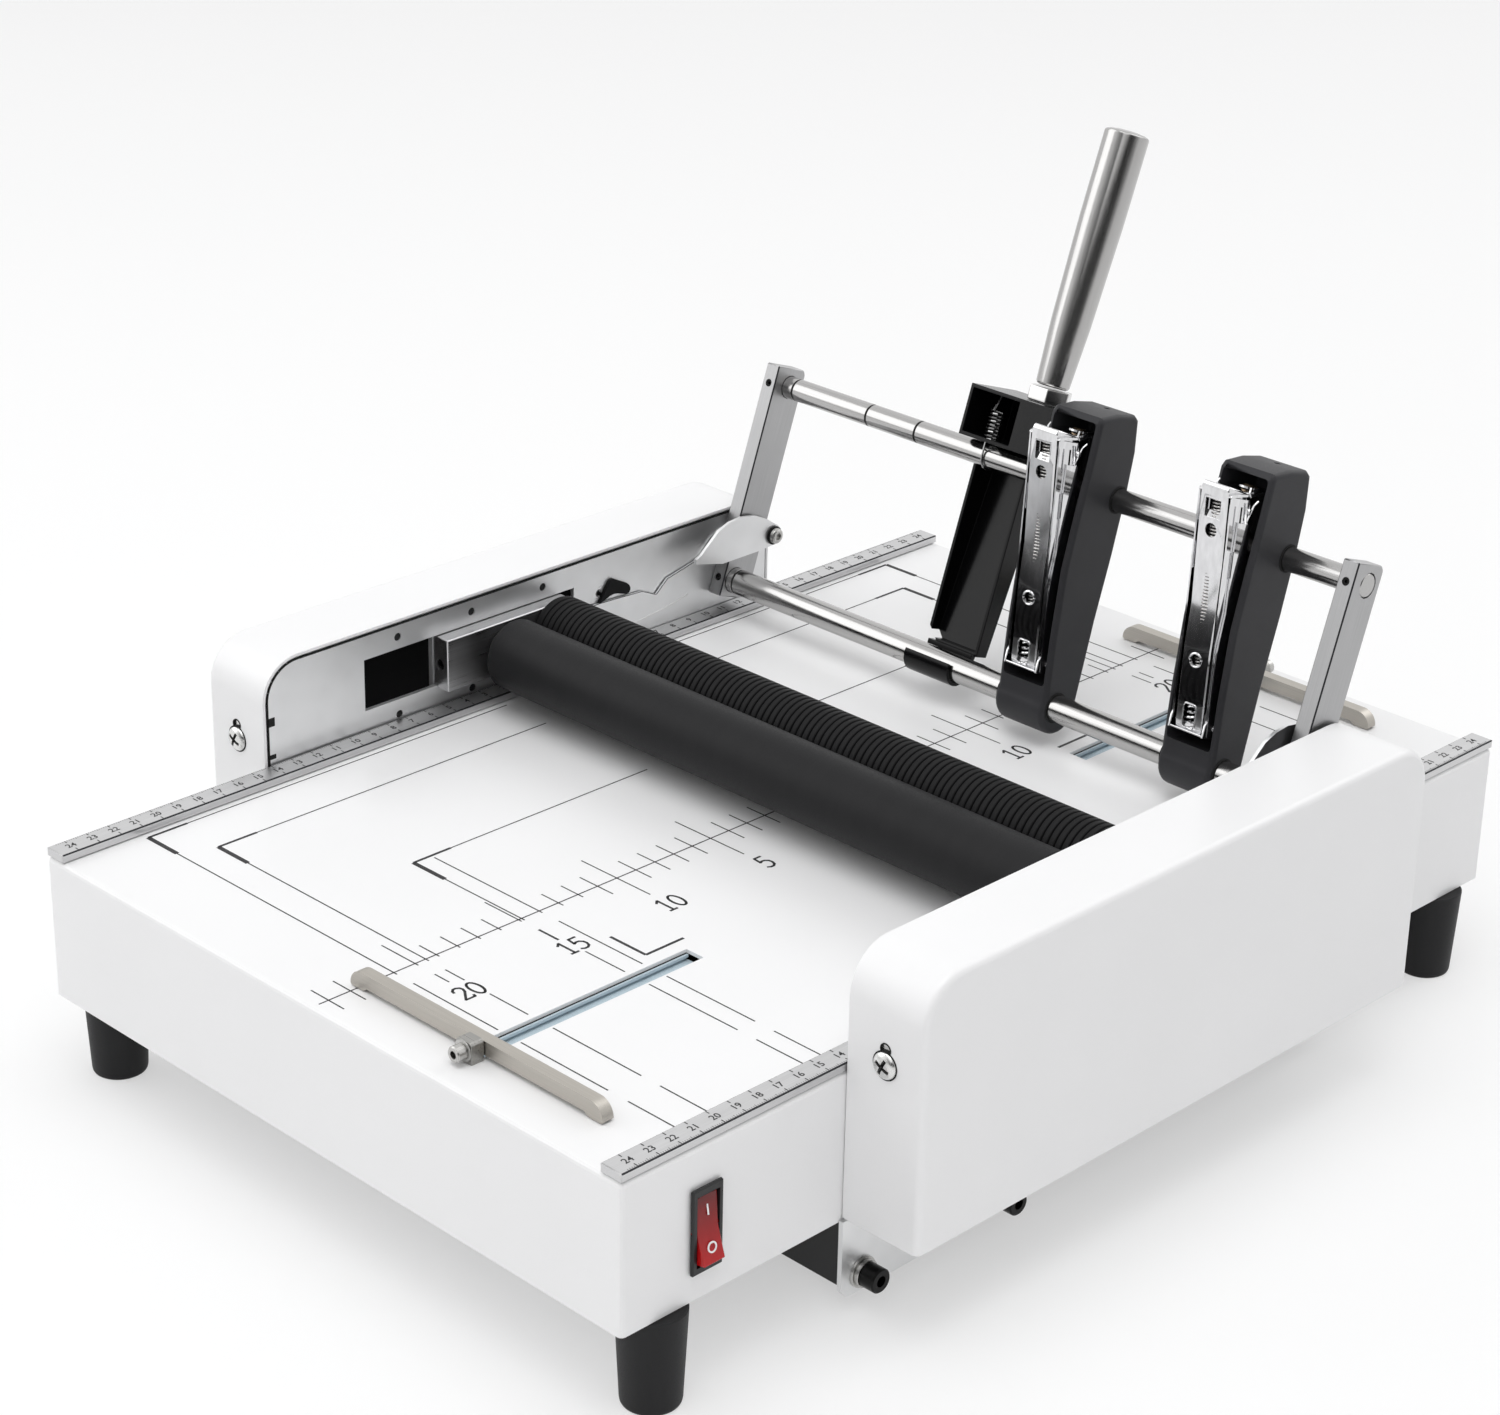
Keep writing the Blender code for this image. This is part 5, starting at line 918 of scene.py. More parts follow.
@dataclass
class Deck:
    """The deck's printed scales, rulers, feet, tray, slots and clinch anvils."""

    top: float = 0.0986
    ink_lift: float = 6e-5
    fine_line: float = 0.0006
    firm_line: float = 0.0013
    bold_line: float = 0.0021
    bold_leg: float = 0.0187
    centre_x: float = 0.0006
    blank_start: float = 0.0024
    blank_end: float = 0.0116
    figure_height: float = 0.0096
    figure_line: float = 0.00105
    figure_pitch: float = 0.64
    figure_x: float = 0.0294
    figure_inset: float = 0.03
    figure_overrun: float = 0.25
    figure_shift: float = 0.0012
    long_tick: Pair = (-0.0195, 0.0192)
    gapped_tick: Pair = (-0.0185, 0.0196)
    clipped_tick: float = -0.009
    clipped_reach: float = 0.001
    short_tick: Pair = (-0.0094, 0.0093)
    tick_numbers: tuple[int, ...] = (*range(2, 14), *range(15, 21), 22, 23, 24)
    centre_line: Pair = (0.0148, 0.2444)
    corner_line_end: float = 0.025
    dash_y: float = 0.1497
    dash_end: float = 0.0226
    dash_line: float = 0.00102
    ruler_inner: float = 0.1514
    ruler_outer: float = 0.1618
    ruler_top: float = 0.1025
    scale_inset: float = 0.0006
    scale_reach: int = 244
    centimetre_tick: Pair = (0.0017, 0.00019)
    half_tick: Pair = (0.0011, 8e-5)
    millimetre_tick: Pair = (0.0007, 6e-5)
    under_guide: Pair = (0.019, 0.1425)
    scale_figure: float = 0.0031
    scale_bold: float = 5e-5
    rail_wall: float = 0.0015
    slot_edge: float = 0.0005
    slot_end: float = 0.0004
    edge_depths: Pair = (0.0026, 0.0014)
    lining_depths: Pair = (0.0027, 0.0016)
    lining_width: float = 0.0009
    foot_x: float = 0.1537
    foot_y: float = 0.226
    foot_profile: Pairs = (
        (0.0, 0.0383), (0.0124, 0.0383), (0.0128, 0.0379), (0.0127, 0.0353), (0.0111, 0.002), (0.0109, 0.001),
        (0.0106, 0.0004), (0.01, 0.0), (0.0062, 0.0), (0.0056, 0.0006), (0.0044, 0.0012), (0.0, 0.0012))
    slot_places: dict[End, Point] = field(default_factory=lambda: {
        End.FRONT: (0.119, 0.0583, 0.0699), End.BACK: (0.113, 0.0436, 0.0553)})
    sheet_corners: Pairs = ((-0.1485, 0.21), (-0.1236, 0.195), (-0.062, 0.1485))
    small_corner_y: float = 0.1341
    small_corner_gap: float = 0.0054
    small_leg: float = 0.0192
    least_stroke: float = 0.0015
    sheet_lines: tuple[tuple[float, float, Pairs], ...] = (
        (0.21, -0.1298, ((0.0116, 0.0577), (0.0697, 0.1146), (0.1246, 0.1512))),
        (0.195, -0.1049, ((0.0116, 0.0223), (0.0361, 0.0568), (0.0697, 0.1152), (0.1246, 0.1512))),
        (0.1485, -0.0433, ((0.0359, 0.0571), (0.0693, 0.1152), (0.1246, 0.1512))),
        (0.1397, -0.0601, ((0.0116, 0.057), (0.0693, 0.1151), (0.1246, 0.1512))),
    )

    def build(self) -> None:
        """Make every piece of the deck."""
        self.print_scales()
        for side in Side:
            self.ruler(side)
            for end in End:
                self.foot(side, end)
        refine("belly_tray", TRAY_COAT, "base", 0.0008, segments=3)
        self.under_deck()

    def stroke(self, form: Form, start: Pair, end: Pair, width: float) -> None:
        """Lay one printed line on the deck between two places."""
        first, second = Vector(start), Vector(end)
        side = (second - first).orthogonal().normalized() * (width / 2)
        outline = [tuple(first + side), tuple(second + side), tuple(second - side), tuple(first - side)]
        form.extrude(outline, self.top + self.ink_lift / 3, self.top + self.ink_lift, Axis.Z)

    def tick_ends(self, number: int) -> Pairs:
        """Where the strokes of a centimetre tick start and end across the deck.

        Args:
            number: its distance from the folding line in centimetres.

        Returns:
            The start and end of each stroke.
        """
        if number in (5, 10):
            return (self.long_tick,)
        if number == 15:
            return ((self.gapped_tick[0], self.blank_start),)
        if number == 20:
            return ((self.gapped_tick[0], self.blank_start), (self.blank_end, self.gapped_tick[1]))
        if 12 <= number <= 19:
            return ((self.clipped_tick, self.blank_start + (self.clipped_reach if number < 14 else 0.0)),)
        return (self.short_tick,)

    def figures(self, form: Form, number: str, middle: float) -> None:
        """Print a number beside the centre line, read from the machine's right.

        Args:
            form: where its strokes go.
            number: its figures.
            middle: its middle, along the machine.
        """
        size = self.figure_height
        start = middle - len(number) * self.figure_pitch * size / 2 + self.figure_inset * size
        for index, figure in enumerate(number):
            left = start + index * self.figure_pitch * size
            for line in FIGURE_LINES[figure]:
                places = [Vector((self.figure_x - (up - 0.5) * size, left + across * size))
                          for across, up in line]
                for first, second in zip(places, places[1:]):
                    over = (second - first).normalized() * self.figure_line * self.figure_overrun
                    self.stroke(form, tuple(first - over), tuple(second + over), self.figure_line)

    def cross_line(self, form: Form, y: float, start: float, end: float, width: float) -> None:
        """Print one stroke across the deck, at both ends of the machine, stopping at the slots.

        Args:
            form: where it goes.
            y: how far it lies from the folding line.
            start: its left end.
            end: its right end.
            width: how wide it is.
        """
        for place in End:
            first_y, low, high = self.slot_places[place]
            whole = [(start, end)]
            pieces = whole if y < first_y else [(start, min(end, low)), (max(start, high), end)]
            for left, right in pieces:
                if right - left > self.least_stroke:
                    self.stroke(form, (left, place.value * y), (right, place.value * y), width)

    def print_scales(self) -> None:
        """The printed centre line, its centimetre ticks and numbers, the sheet corners and cross lines."""
        form = Form()
        fine, firm = self.fine_line, self.firm_line
        line_start, line_end = self.centre_line
        for way in (-1.0, 1.0):
            self.stroke(form, (self.centre_x, way * line_start), (self.centre_x, way * line_end), fine)
            for number in (5, 10, 15, 20):
                self.figures(form, str(number), way * (number * CENTIMETRE - self.figure_shift))
        for number in self.tick_numbers:
            for start, end in self.tick_ends(number):
                self.cross_line(form, number * CENTIMETRE, start, end, fine)
        for corner_x, corner_y in self.sheet_corners:
            for way in (-1.0, 1.0):
                leg = corner_y - self.bold_leg
                self.stroke(form, (corner_x, way * corner_y), (corner_x, way * leg), firm)
                self.stroke(form, (corner_x, way * leg), (corner_x, way * self.corner_line_end), fine)
            self.cross_line(form, corner_y, corner_x, corner_x + self.bold_leg, self.bold_line)
        for y, left, stretches in self.sheet_lines:
            self.cross_line(form, y, left, self.blank_start, fine)
            for start, end in stretches:
                self.cross_line(form, y, start, end, fine)
        self.cross_line(form, self.dash_y, self.blank_end, self.dash_end, self.dash_line)
        for place in End:
            corner_x = self.slot_places[place][1] - self.small_corner_gap
            corner = (corner_x, place.value * self.small_corner_y)
            foot_y = place.value * (self.small_corner_y - self.small_leg)
            self.stroke(form, (corner_x - self.small_leg, corner[1]), corner, firm)
            self.stroke(form, corner, (corner_x, foot_y), firm)
        form.place("deck_print", BLACK_INK, "base")

    def ruler(self, side: Side) -> None:
        """A steel ruler with painted shade on its slanted edges, and a scale counted both ways from the folding
        line.
        """
        node = "ruler_" + side.word
        dressed = refine(node, RULER_STEEL, "base", 0.00035, segments=1)
        # Painted shade on the ruler's slanted edges.
        inner_finish(dressed, EDGE_SHADE, lambda middle, normal: slanted(normal.z) and abs(normal.x) > 0.2)
        form = Form()
        lift = self.ruler_top + self.ink_lift
        low = self.ruler_top + self.ink_lift / 3
        outer = side.value * (self.ruler_outer - self.scale_inset)
        inner = side.value * (self.ruler_inner + self.scale_inset)
        for step in range(-self.scale_reach, self.scale_reach + 1):
            place = step * MILLIMETRE
            if step % 10 == 0:
                reach, half = self.centimetre_tick
                end = inner + side.value * reach
                form.box((min(inner, end), place - half, low), (max(inner, end), place + half, lift))
            else:
                reach, half = self.half_tick if step % 5 == 0 else self.millimetre_tick
            if self.under_guide[0] < place < self.under_guide[1]:
                continue
            end = outer - side.value * reach
            form.box((min(outer, end), place - half, low), (max(outer, end), place + half, lift))
        turn = Matrix.Rotation(math.radians(QUARTER_TURN), 4, "Z")
        middle = side.value * (self.ruler_inner + self.ruler_outer) / 2
        for number in range(-24, 25):
            centre = (middle, number * CENTIMETRE, self.ruler_top + self.ink_lift / 2)
            form.words(str(abs(number)), self.scale_figure, centre, turn, self.ink_lift / 3, self.scale_bold)
        form.place(node + "_scale", BLACK_INK, "base")

    def foot(self, side: Side, end: End) -> None:
        """A tapered rubber foot with a rounded base and a moulded step under the deck."""
        node = f"foot_{end.word}_{side.word}"
        place = (side.value * self.foot_x, end.value * self.foot_y, 0.0)
        form = Form().lathe(self.foot_profile, Axis.Z, place, 72)
        form.place(node + "_dressed", FOOT_RUBBER, "base", [node])

    def under_deck(self) -> None:
        """The painted shadow along each slot's edge, the lining of each slot, and the clinch anvils."""
        for end in End:
            low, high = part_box(end.word + "_slot_rail")
            edge = low.x + self.rail_wall
            lining = edge + self.slot_edge
            front, back = low.y + self.slot_end, high.y - self.slot_end
            # The edge strip is painted shadow in the near-black shadow finish; the lining has the rail's
            # colour.
            for word, near, far, (deep, shallow), finish in (
                    ("edge", edge, lining, self.edge_depths, SHADOW_GAP),
                    ("lining", lining, lining + self.lining_width, self.lining_depths, RAIL_COAT)):
                form = Form().box((near, front, self.top - deep), (far, back, self.top - shallow))
                form.place(f"{end.word}_slot_{word}", finish, "base")
        for side in Side:
            refine("staple_anvil_" + side.word, NUT_STEEL, "base", 0.0002)


@dataclass
class SideHousing:
    """One side's zinc plate, white cover, guide and ear plates, bolts and screws."""

    side: Side
    cover_screw: Point = (0.18, -0.1422, 0.1091)
    screw_radius: float = 0.0052
    screw_line: float = 0.0004
    cross_turns: Pair = (25.0, 115.0)
    keyhole_up: float = 0.0062
    keyhole_radius: float = 0.0022
    keyhole_shade: float = 0.0021
    sunk: float = 0.0006
    crease_x: float = 0.16075
    crease_wire: float = 0.00028
    hole_places: Pairs = ((-0.072, 0.1392), (-0.072, 0.1043), (-0.032, 0.1392), (-0.032, 0.1043),
                          (0.008, 0.1392), (0.008, 0.1043))
    hole_radius: float = 0.00175
    shade_radius: float = 0.00172
    hole_shade: float = 0.1627
    shade_depth: float = 0.0006
    shade_lap: float = 0.0001
    crease_line: Pairs = ((0.056, 0.108), (0.0616, 0.1084), (0.0668, 0.1089), (0.0729, 0.1095),
                          (0.079, 0.1102), (0.0851, 0.1112), (0.09, 0.1121), (0.0928, 0.1127))
    cover_outer: float = 0.1982
    cover_front: float = -0.1422
    cover_back: float = 0.145
    cover_top: float = 0.1471
    cover_sheet: float = 0.0015
    corner: float = 0.018
    plate_inner: float = 0.1623
    plate_outer: float = 0.1643
    rim_inset: float = 0.0006
    rim_foot: float = 0.042
    seal: float = 0.0006
    foot_screws: Pairs = ((-0.133, 0.0148), (-0.059, 0.0148))
    notches: Pairs = ((0.119, 0.1228), (0.1046, 0.1066))
    notch_depth: float = 0.0036
    head_radius: float = 0.0048
    head_start: float = 0.003
    head_end: float = 0.0096

    def build(self) -> None:
        """Make every piece of this side."""
        word = self.side.word
        cover = refine("side_cover_" + word, WHITE_COAT, "base", 0.0004, cutter=self.keyhole())
        # Painted shade on the inner faces of the cover's broad side.
        inner_finish(cover, COVER_INSIDE_SHADE, self.inside_cover)
        refine("side_plate_" + word, PLATE_ZINC, "base", 0.0, cutter=self.plate_holes())
        guide = refine("guide_plate_" + word, PLATE_ZINC, "base", 0.00025, segments=1)
        # Painted shade on the guide plate's slanted edges.
        inner_finish(guide, EDGE_SHADE, lambda middle, normal: slanted(abs(normal.x)))
        # Painted highlight along the guide plate's bend.
        self.crease()
        ear = refine("ear_plate_" + word, PLATE_ZINC, "base", 0.00025)
        # Painted shade on the ear plate's outer faces.
        inner_finish(ear, SHADED_ZINC, lambda middle, normal: normal.x * self.side.value > 0.7)
        self.cover_gap()
        self.stop_bolt()
        self.cover_screws()
        self.plate_screws()

    def at(self, across: float) -> float:
        """A place across the machine on this side."""
        return self.side.value * across

    def inside_cover(self, middle: Vector, normal: Vector) -> bool:
        """Tell if a face of the cover is the inner face of its broad side."""
        return (self.plate_outer < abs(middle.x) < self.cover_outer - self.cover_sheet / 2
                and normal.x * self.side.value < -0.9)

    def rim(self, inside: float) -> list[Pair]:
        """A line along the cover's rim, from its front foot over the top to its back foot.

        Args:
            inside: how far inside the rim it runs.

        Returns:
            Its points, along and up.
        """
        inset = self.cover_sheet + self.rim_inset
        radius = self.corner - inset
        front, back, top = self.cover_front + inset, self.cover_back - inset, self.cover_top - inset
        return [(front + inside, self.rim_foot),
                *arc((front + radius, top - radius), radius - inside, HALF_TURN, QUARTER_TURN, 12),
                *arc((back - radius, top - radius), radius - inside, QUARTER_TURN, 0.0, 12),
                (back - inside, self.rim_foot)]

    def cover_gap(self) -> None:
        """The painted shadow of the gap between the cover's rim and the plate, and painted shade in the plate's
        holes.
        """
        outer = self.rim(0.0)
        front = outer[0][0]
        near, far = sorted((self.at(self.plate_inner - self.shade_lap),
                            self.at(self.plate_inner + self.shade_depth)))
        # Painted shadow: a near-black strip inside the cover's rim, and near-black discs behind the holes.
        form = Form().extrude(outer + self.rim(self.seal)[::-1], near, far, Axis.X)
        for low, high in self.notches:
            form.box((near, front + self.seal / 2, low), (far, front + self.notch_depth, high))
        shade = plug(self.shade_radius, self.at(self.hole_shade), self.at(self.hole_shade + self.shade_depth))
        for y, z in self.hole_places:
            form.lathe(shade, Axis.X, (0.0, y, z), 24)
        form.place("cover_gap_" + self.side.word, SHADOW_GAP, "base")

    def crease(self) -> None:
        """A pale wire along the guide plate's shallow fold: a painted highlight where the fold catches the
        light.
        """
        x = self.at(self.crease_x)
        form = Form().pipe([(x, y, z) for y, z in self.crease_line], self.crease_wire, 8)
        form.place("guide_crease_" + self.side.word, CREASE_HIGHLIGHT, "base")

    def keyhole(self) -> Form:
        """The keyhole slot over the cover's front screw, and its twin at the back."""
        x, y, z = self.cover_screw
        form = Form()
        for face in (y, self.cover_back):
            centre = (self.at(x), face, z + self.keyhole_up)
            form.lathe(plug(self.keyhole_radius, -0.004, 0.004), Axis.Y, centre, 24)
        return form

    def plate_holes(self) -> Form:
        """The row of small holes in the side plate, over and under the window."""
        form = Form()
        for y, z in self.hole_places:
            form.lathe(plug(self.hole_radius, -0.01, 0.01), Axis.X, (self.at(self.plate_outer), y, z), 24)
        return form

    def stop_bolt(self) -> None:
        """The bolt through the ear plate, with a domed head, a socket and a dark washer under it."""
        node = "stop_bolt_" + self.side.word
        low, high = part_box(node)
        middle = (low + high) / 2
        inner = min(abs(low.x), abs(high.x))
        outer = max(abs(low.x), abs(high.x))
        head, shank, length = 0.0036, 0.0025, 0.003
        profile = [(0.0, inner + 0.0012), (0.0016, inner + 0.0012), (0.0016, inner), (head - 0.001, inner),
                   (head - 0.0003, inner + 0.0005), (head, inner + 0.0013), (head, inner + length),
                   (shank, inner + length), (shank, outer), (0.0, outer)]
        form = Form().lathe(facing(profile, self.side.value), Axis.X, (0.0, middle.y, middle.z), 40)
        form.place(node + "_dressed", SCREW_STEEL, "base", [node])
        start = inner + length - 0.0008
        washer = [(head + 0.0001, start), (0.0042, start), (0.0043, start + 0.0001), (0.0043, start + 0.0008),
                  (head + 0.0001, start + 0.0008), (head + 0.0001, start)]
        form = Form().lathe(facing(washer, self.side.value), Axis.X, (0.0, middle.y, middle.z), 40)
        form.place("stop_washer_" + self.side.word, BLACK_SCREW, "base")

    def cross(self, centre: Point, start: float, end: float, arm: float, half: float) -> Form:
        """Two bars that cross on a screw's head.

        Args:
            centre: the middle of the head.
            start: where they start along Y, from the centre.
            end: where they end.
            arm: half of their length.
            half: half of their width.

        Returns:
            The form.
        """
        form = Form()
        y = centre[1]
        near, far = sorted((y + start, y + end))
        for turn in self.cross_turns:
            bar = Form().box((-arm, near - y, -half), (arm, far - y, half))
            bar.moved(Matrix.Translation(centre) @ Matrix.Rotation(math.radians(turn), 4, "Y"))
            form.join(bar)
        return form

    def cross_head(self, centre: Point, way: float) -> Form:
        """A pan-head screw with a cross recess, facing along Y."""
        radius = self.screw_radius
        dome = [(0.0, 0.0022), (radius * 0.35, 0.0021), (radius * 0.7, 0.0017), (radius * 0.92, 0.001),
                (radius, 0.0002), (radius, -0.001), (0.0, -0.001)]
        form = Form().lathe(facing(dome, way), Axis.Y, centre, 48)
        return form.cut(self.cross(centre, way * 0.0009, way * 0.004, radius * 0.62, radius * 0.13))

    def cover_screws(self) -> None:
        """The cross-head screw in the cover's front face, and one at the back."""
        x, y, z = self.cover_screw
        for end, face in ((End.FRONT, y), (End.BACK, self.cover_back)):
            way = float(end.value)
            centre = (self.at(x), face, z)
            keyhole = (self.at(x), face, z + self.keyhole_up)
            tail = f"{end.word}_{self.side.word}"
            self.cross_head(centre, way).place("cover_screw_" + tail, PALE_SCREW, "base")
            form = Form().lathe(plug(self.keyhole_shade, -way * 0.0014, -way * self.sunk), Axis.Y, keyhole, 24)
            form.place("keyhole_back_" + tail, PALE_SCREW, "base")
            # Painted shade: near-black rings round the head and the keyhole, and near-black bars in the cross.
            form = Form()
            for place, radius in ((centre, self.screw_radius), (keyhole, self.keyhole_shade)):
                ring = band(radius, radius + self.screw_line, -way * self.sunk, way * 0.00025)
                form.lathe(ring, Axis.Y, place, 48)
            form.join(self.cross(centre, way * 0.0007, way * 0.00105, self.screw_radius * 0.6, self.sunk))
            form.place("screw_shade_" + tail, SHADOW_GAP, "base")

    def plate_screws(self) -> None:
        """The black knurled cap screws at the foot of the side plate, each on a flat and a split washer."""
        start = self.plate_outer
        flat, split = 0.0062, 0.0054
        head, open_at, end = self.head_radius, start + 0.0062, start + self.head_end
        low = start + self.head_start
        for index, (y, z) in enumerate(self.foot_screws):
            washer = [(0.0, start), (flat - 0.0002, start), (flat, start + 0.0002), (flat, start + 0.001),
                      (flat - 0.0002, start + 0.0012), (split - 0.0002, start + 0.0012),
                      (split - 0.0002, start + 0.0014), (split, start + 0.0016), (split, start + 0.0028),
                      (split - 0.0002, low), (0.0, low)]
            cap = [(0.0, open_at), (0.0022, open_at), (0.0022, end), (head - 0.0005, end), (head, end - 0.0005),
                   (head, low + 0.0003), (head - 0.0003, low), (0.0, low)]
            for word, profile, finish, steps in (("washer", washer, SCREW_STEEL, 48),
                                                 ("screw", cap, BLACK_SCREW, 36)):
                form = Form().lathe(facing(profile, self.side.value), Axis.X, (0.0, y, z), steps)
                form.place(f"plate_{word}_{index}_{self.side.word}", finish, "base", slot="black_paint")


@dataclass
class RollerCarriage:
    """The two folding rollers with their blocks."""

    radius: float = 0.0153
    axis_z: float = 0.1212
    smooth_y: float = -0.0206
    ribbed_y: float = 0.0103
    end_x: float = 0.1547
    smooth_end: float = 0.1484
    hub: float = 0.0096
    journal: float = 0.004
    ribs: int = 94
    rib_margin: float = 0.004
    groove: float = 0.0009
    groove_depth: float = 0.0009
    edge: float = 0.0007
    shaft_edge: float = 0.0004
    screw_x: float = 0.0006
    screw_z: float = 0.1211

    def build(self) -> None:
        """Make every piece of the carriage."""
        self.roller("smooth_roller", self.smooth_y, ROLLER_RUBBER, False)
        self.roller("ribbed_roller", self.ribbed_y, RIB_RUBBER, True)
        for side in Side:
            refine("bearing_block_" + side.word, BLOCK_ALUMINIUM, "carriage", 0.0003,
                   cutter=self.block_screw_hole(side))
            self.block_screw(side)

    def roller(self, node: str, y: float, finish: Finish, ribbed: bool) -> None:
        """A rubber roller on its steel shaft.

        Args:
            node: the CAD node and body that it stands for.
            y: where its axis lies.
            finish: its rubber.
            ribbed: True for the roller with ring grooves.
        """
        low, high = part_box(node)
        centre = (0.0, y, self.axis_z)
        edge, end = self.edge, self.end_x if ribbed else self.smooth_end
        profile = [(self.journal, end), (self.radius - edge, end), (self.radius - edge * 0.3, end - edge * 0.3),
                   (self.radius, end - edge)]
        if ribbed:
            pitch = 2 * (end - self.rib_margin) / self.ribs
            for rib in range(self.ribs + 1):
                middle = end - self.rib_margin - rib * pitch
                half = self.groove / 2
                floor = self.radius - self.groove_depth
                profile += [(self.radius, middle + half + 0.0003), (self.radius - 0.0002, middle + half),
                            (floor, middle + half * 0.5), (floor, middle - half * 0.5),
                            (self.radius - 0.0002, middle - half), (self.radius, middle - half - 0.0003)]
        profile += [(self.radius, edge - end), (self.radius - edge * 0.3, edge * 0.3 - end),
                    (self.radius - edge, -end), (self.journal, -end)]
        form = Form().lathe(profile, Axis.X, centre, 96)
        form.place(node + "_rubber", finish, node, [node])
        form = Form().lathe(chamfered(self.journal, low.x, high.x, self.shaft_edge), Axis.X, centre, 40)
        form.place(node + "_shaft", ROD_STEEL, node)
        if not ribbed:
            form = Form().lathe(chamfered(self.hub, -self.end_x, self.end_x, edge), Axis.X, centre, 48)
            form.place(node + "_hub", SWITCH_BLACK, node)

    def screw_place(self, side: Side) -> Point:
        """Where the cap screw sits in the block's front face."""
        low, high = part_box("bearing_block_" + side.word)
        return ((low.x + high.x) / 2 + side.value * self.screw_x, low.y, self.screw_z)

    def block_screw_hole(self, side: Side) -> Form:
        """The counterbore for the block's cap screw."""
        return Form().lathe(plug(0.0026, -0.003, 0.003), Axis.Y, self.screw_place(side), 32)

    def block_screw(self, side: Side) -> None:
        """The black cap screw in the block's front face."""
        profile = [(0.0, 0.0024), (0.0011, 0.0024), (0.0011, 0.001), (0.0021, 0.001), (0.0024, 0.0013),
                   (0.0024, 0.0029), (0.0, 0.0029)]
        form = Form().lathe(profile, Axis.Y, self.screw_place(side), 32)
        form.place("block_screw_" + side.word, BLACK_SCREW, "carriage")


@dataclass
class SwingFrame:
    """The two rods and arms that swing, with their set screws."""

    arm_outer: float = 0.1605
    arm_sheet: float = 0.0075
    arm_front: float = -0.007
    groove: float = 0.0006
    groove_depth: float = 0.0005
    groove_floor: float = 0.6
    shade_share: float = 0.75
    shade_sunk: float = 0.0001
    rod_edge: float = 0.0005
    lower_grooves: tuple[float, ...] = (-0.1494,)
    top_grooves: tuple[float, ...] = (-0.147, -0.1023, -0.0737)

    def build(self) -> None:
        """Make the rods and arms."""
        self.rod("lower_rod", LOWER_ROD, self.lower_grooves)
        self.rod("top_rod", TOP_ROD, self.top_grooves)
        for side in Side:
            arm = refine("frame_arm_" + side.word, ARM_ALUMINIUM, "swing_frame", 0.0004, True,
                         self.set_screw_holes(side), 1)
            # Painted shade on the chamfer between the arm's front and right faces.
            inner_finish(arm, EDGE_SHADE, self.arm_edge)
            self.set_screws(side)

    def rod(self, node: str, seat: RodSeat, grooves: Sequence[float]) -> None:
        """A polished rod with ring grooves, and painted shade in the grooves.

        Args:
            node: the CAD node that it stands for.
            seat: its radius and place.
            grooves: where its ring grooves are, across the machine.
        """
        low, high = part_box(node)
        radius, centre = seat.radius, (0.0, seat.behind, seat.along)
        floor = radius - self.groove_depth
        half, step = self.groove, self.groove * self.groove_floor
        between = [point for middle in sorted(grooves, reverse=True)
                   for point in ((radius, middle + half), (floor, middle + step), (floor, middle - step),
                                 (radius, middle - half))]
        profile = chamfered(radius, low.x, high.x, self.rod_edge, between)
        form = Form(True).lathe(profile, Axis.X, centre, 64)
        form.place(node + "_dressed", ROD_STEEL, "swing_frame", [node])
        # Painted shade: near-black rings lying in the grooves.
        rings = Form(True)
        half, outer = self.groove * self.shade_share, radius - self.shade_sunk
        step = half * self.groove_floor
        for middle in grooves:
            ring = [(floor, middle - step), (outer, middle - half), (outer, middle + half),
                    (floor, middle + step), (floor, middle - step)]
            rings.lathe(ring, Axis.X, centre, 64)
        rings.place(node + "_grooves", SHADOW_GAP, "swing_frame")

    def arm_edge(self, middle: Vector, normal: Vector) -> bool:
        """Tell if a face of an arm is the chamfer between its front face and its right face."""
        own = SWING.matrix().inverted().to_3x3() @ normal
        return slanted(own.x) and own.y < -0.3

    def set_places(self, side: Side) -> list[Point]:
        """Where the set screws sit in the arm's narrow front face, in the frame's own axes."""
        middle = side.value * (self.arm_outer - self.arm_sheet / 2)
        return [(middle, self.arm_front, 0.0), (middle, self.arm_front, TOP_ROD.along)]

    def set_screw_holes(self, side: Side) -> Form:
        """The threaded holes for the set screws."""
        form = Form(True)
        for place in self.set_places(side):
            form.lathe(plug(0.0017, -0.0016, 0.002), Axis.Y, place, 28)
        return form

    def set_screws(self, side: Side) -> None:
        """Small black set screws just below the surface, with hexagon sockets."""
        form = Form(True)
        for place in self.set_places(side):
            form.lathe([(0.0, 0.0014), (0.0008, 0.0014), (0.0008, 0.0005), (0.0016, 0.0005), (0.0016, 0.0018),
                        (0.0, 0.0018)], Axis.Y, place, 24)
        form.place("set_screws_" + side.word, BLACK_SCREW, "swing_frame")


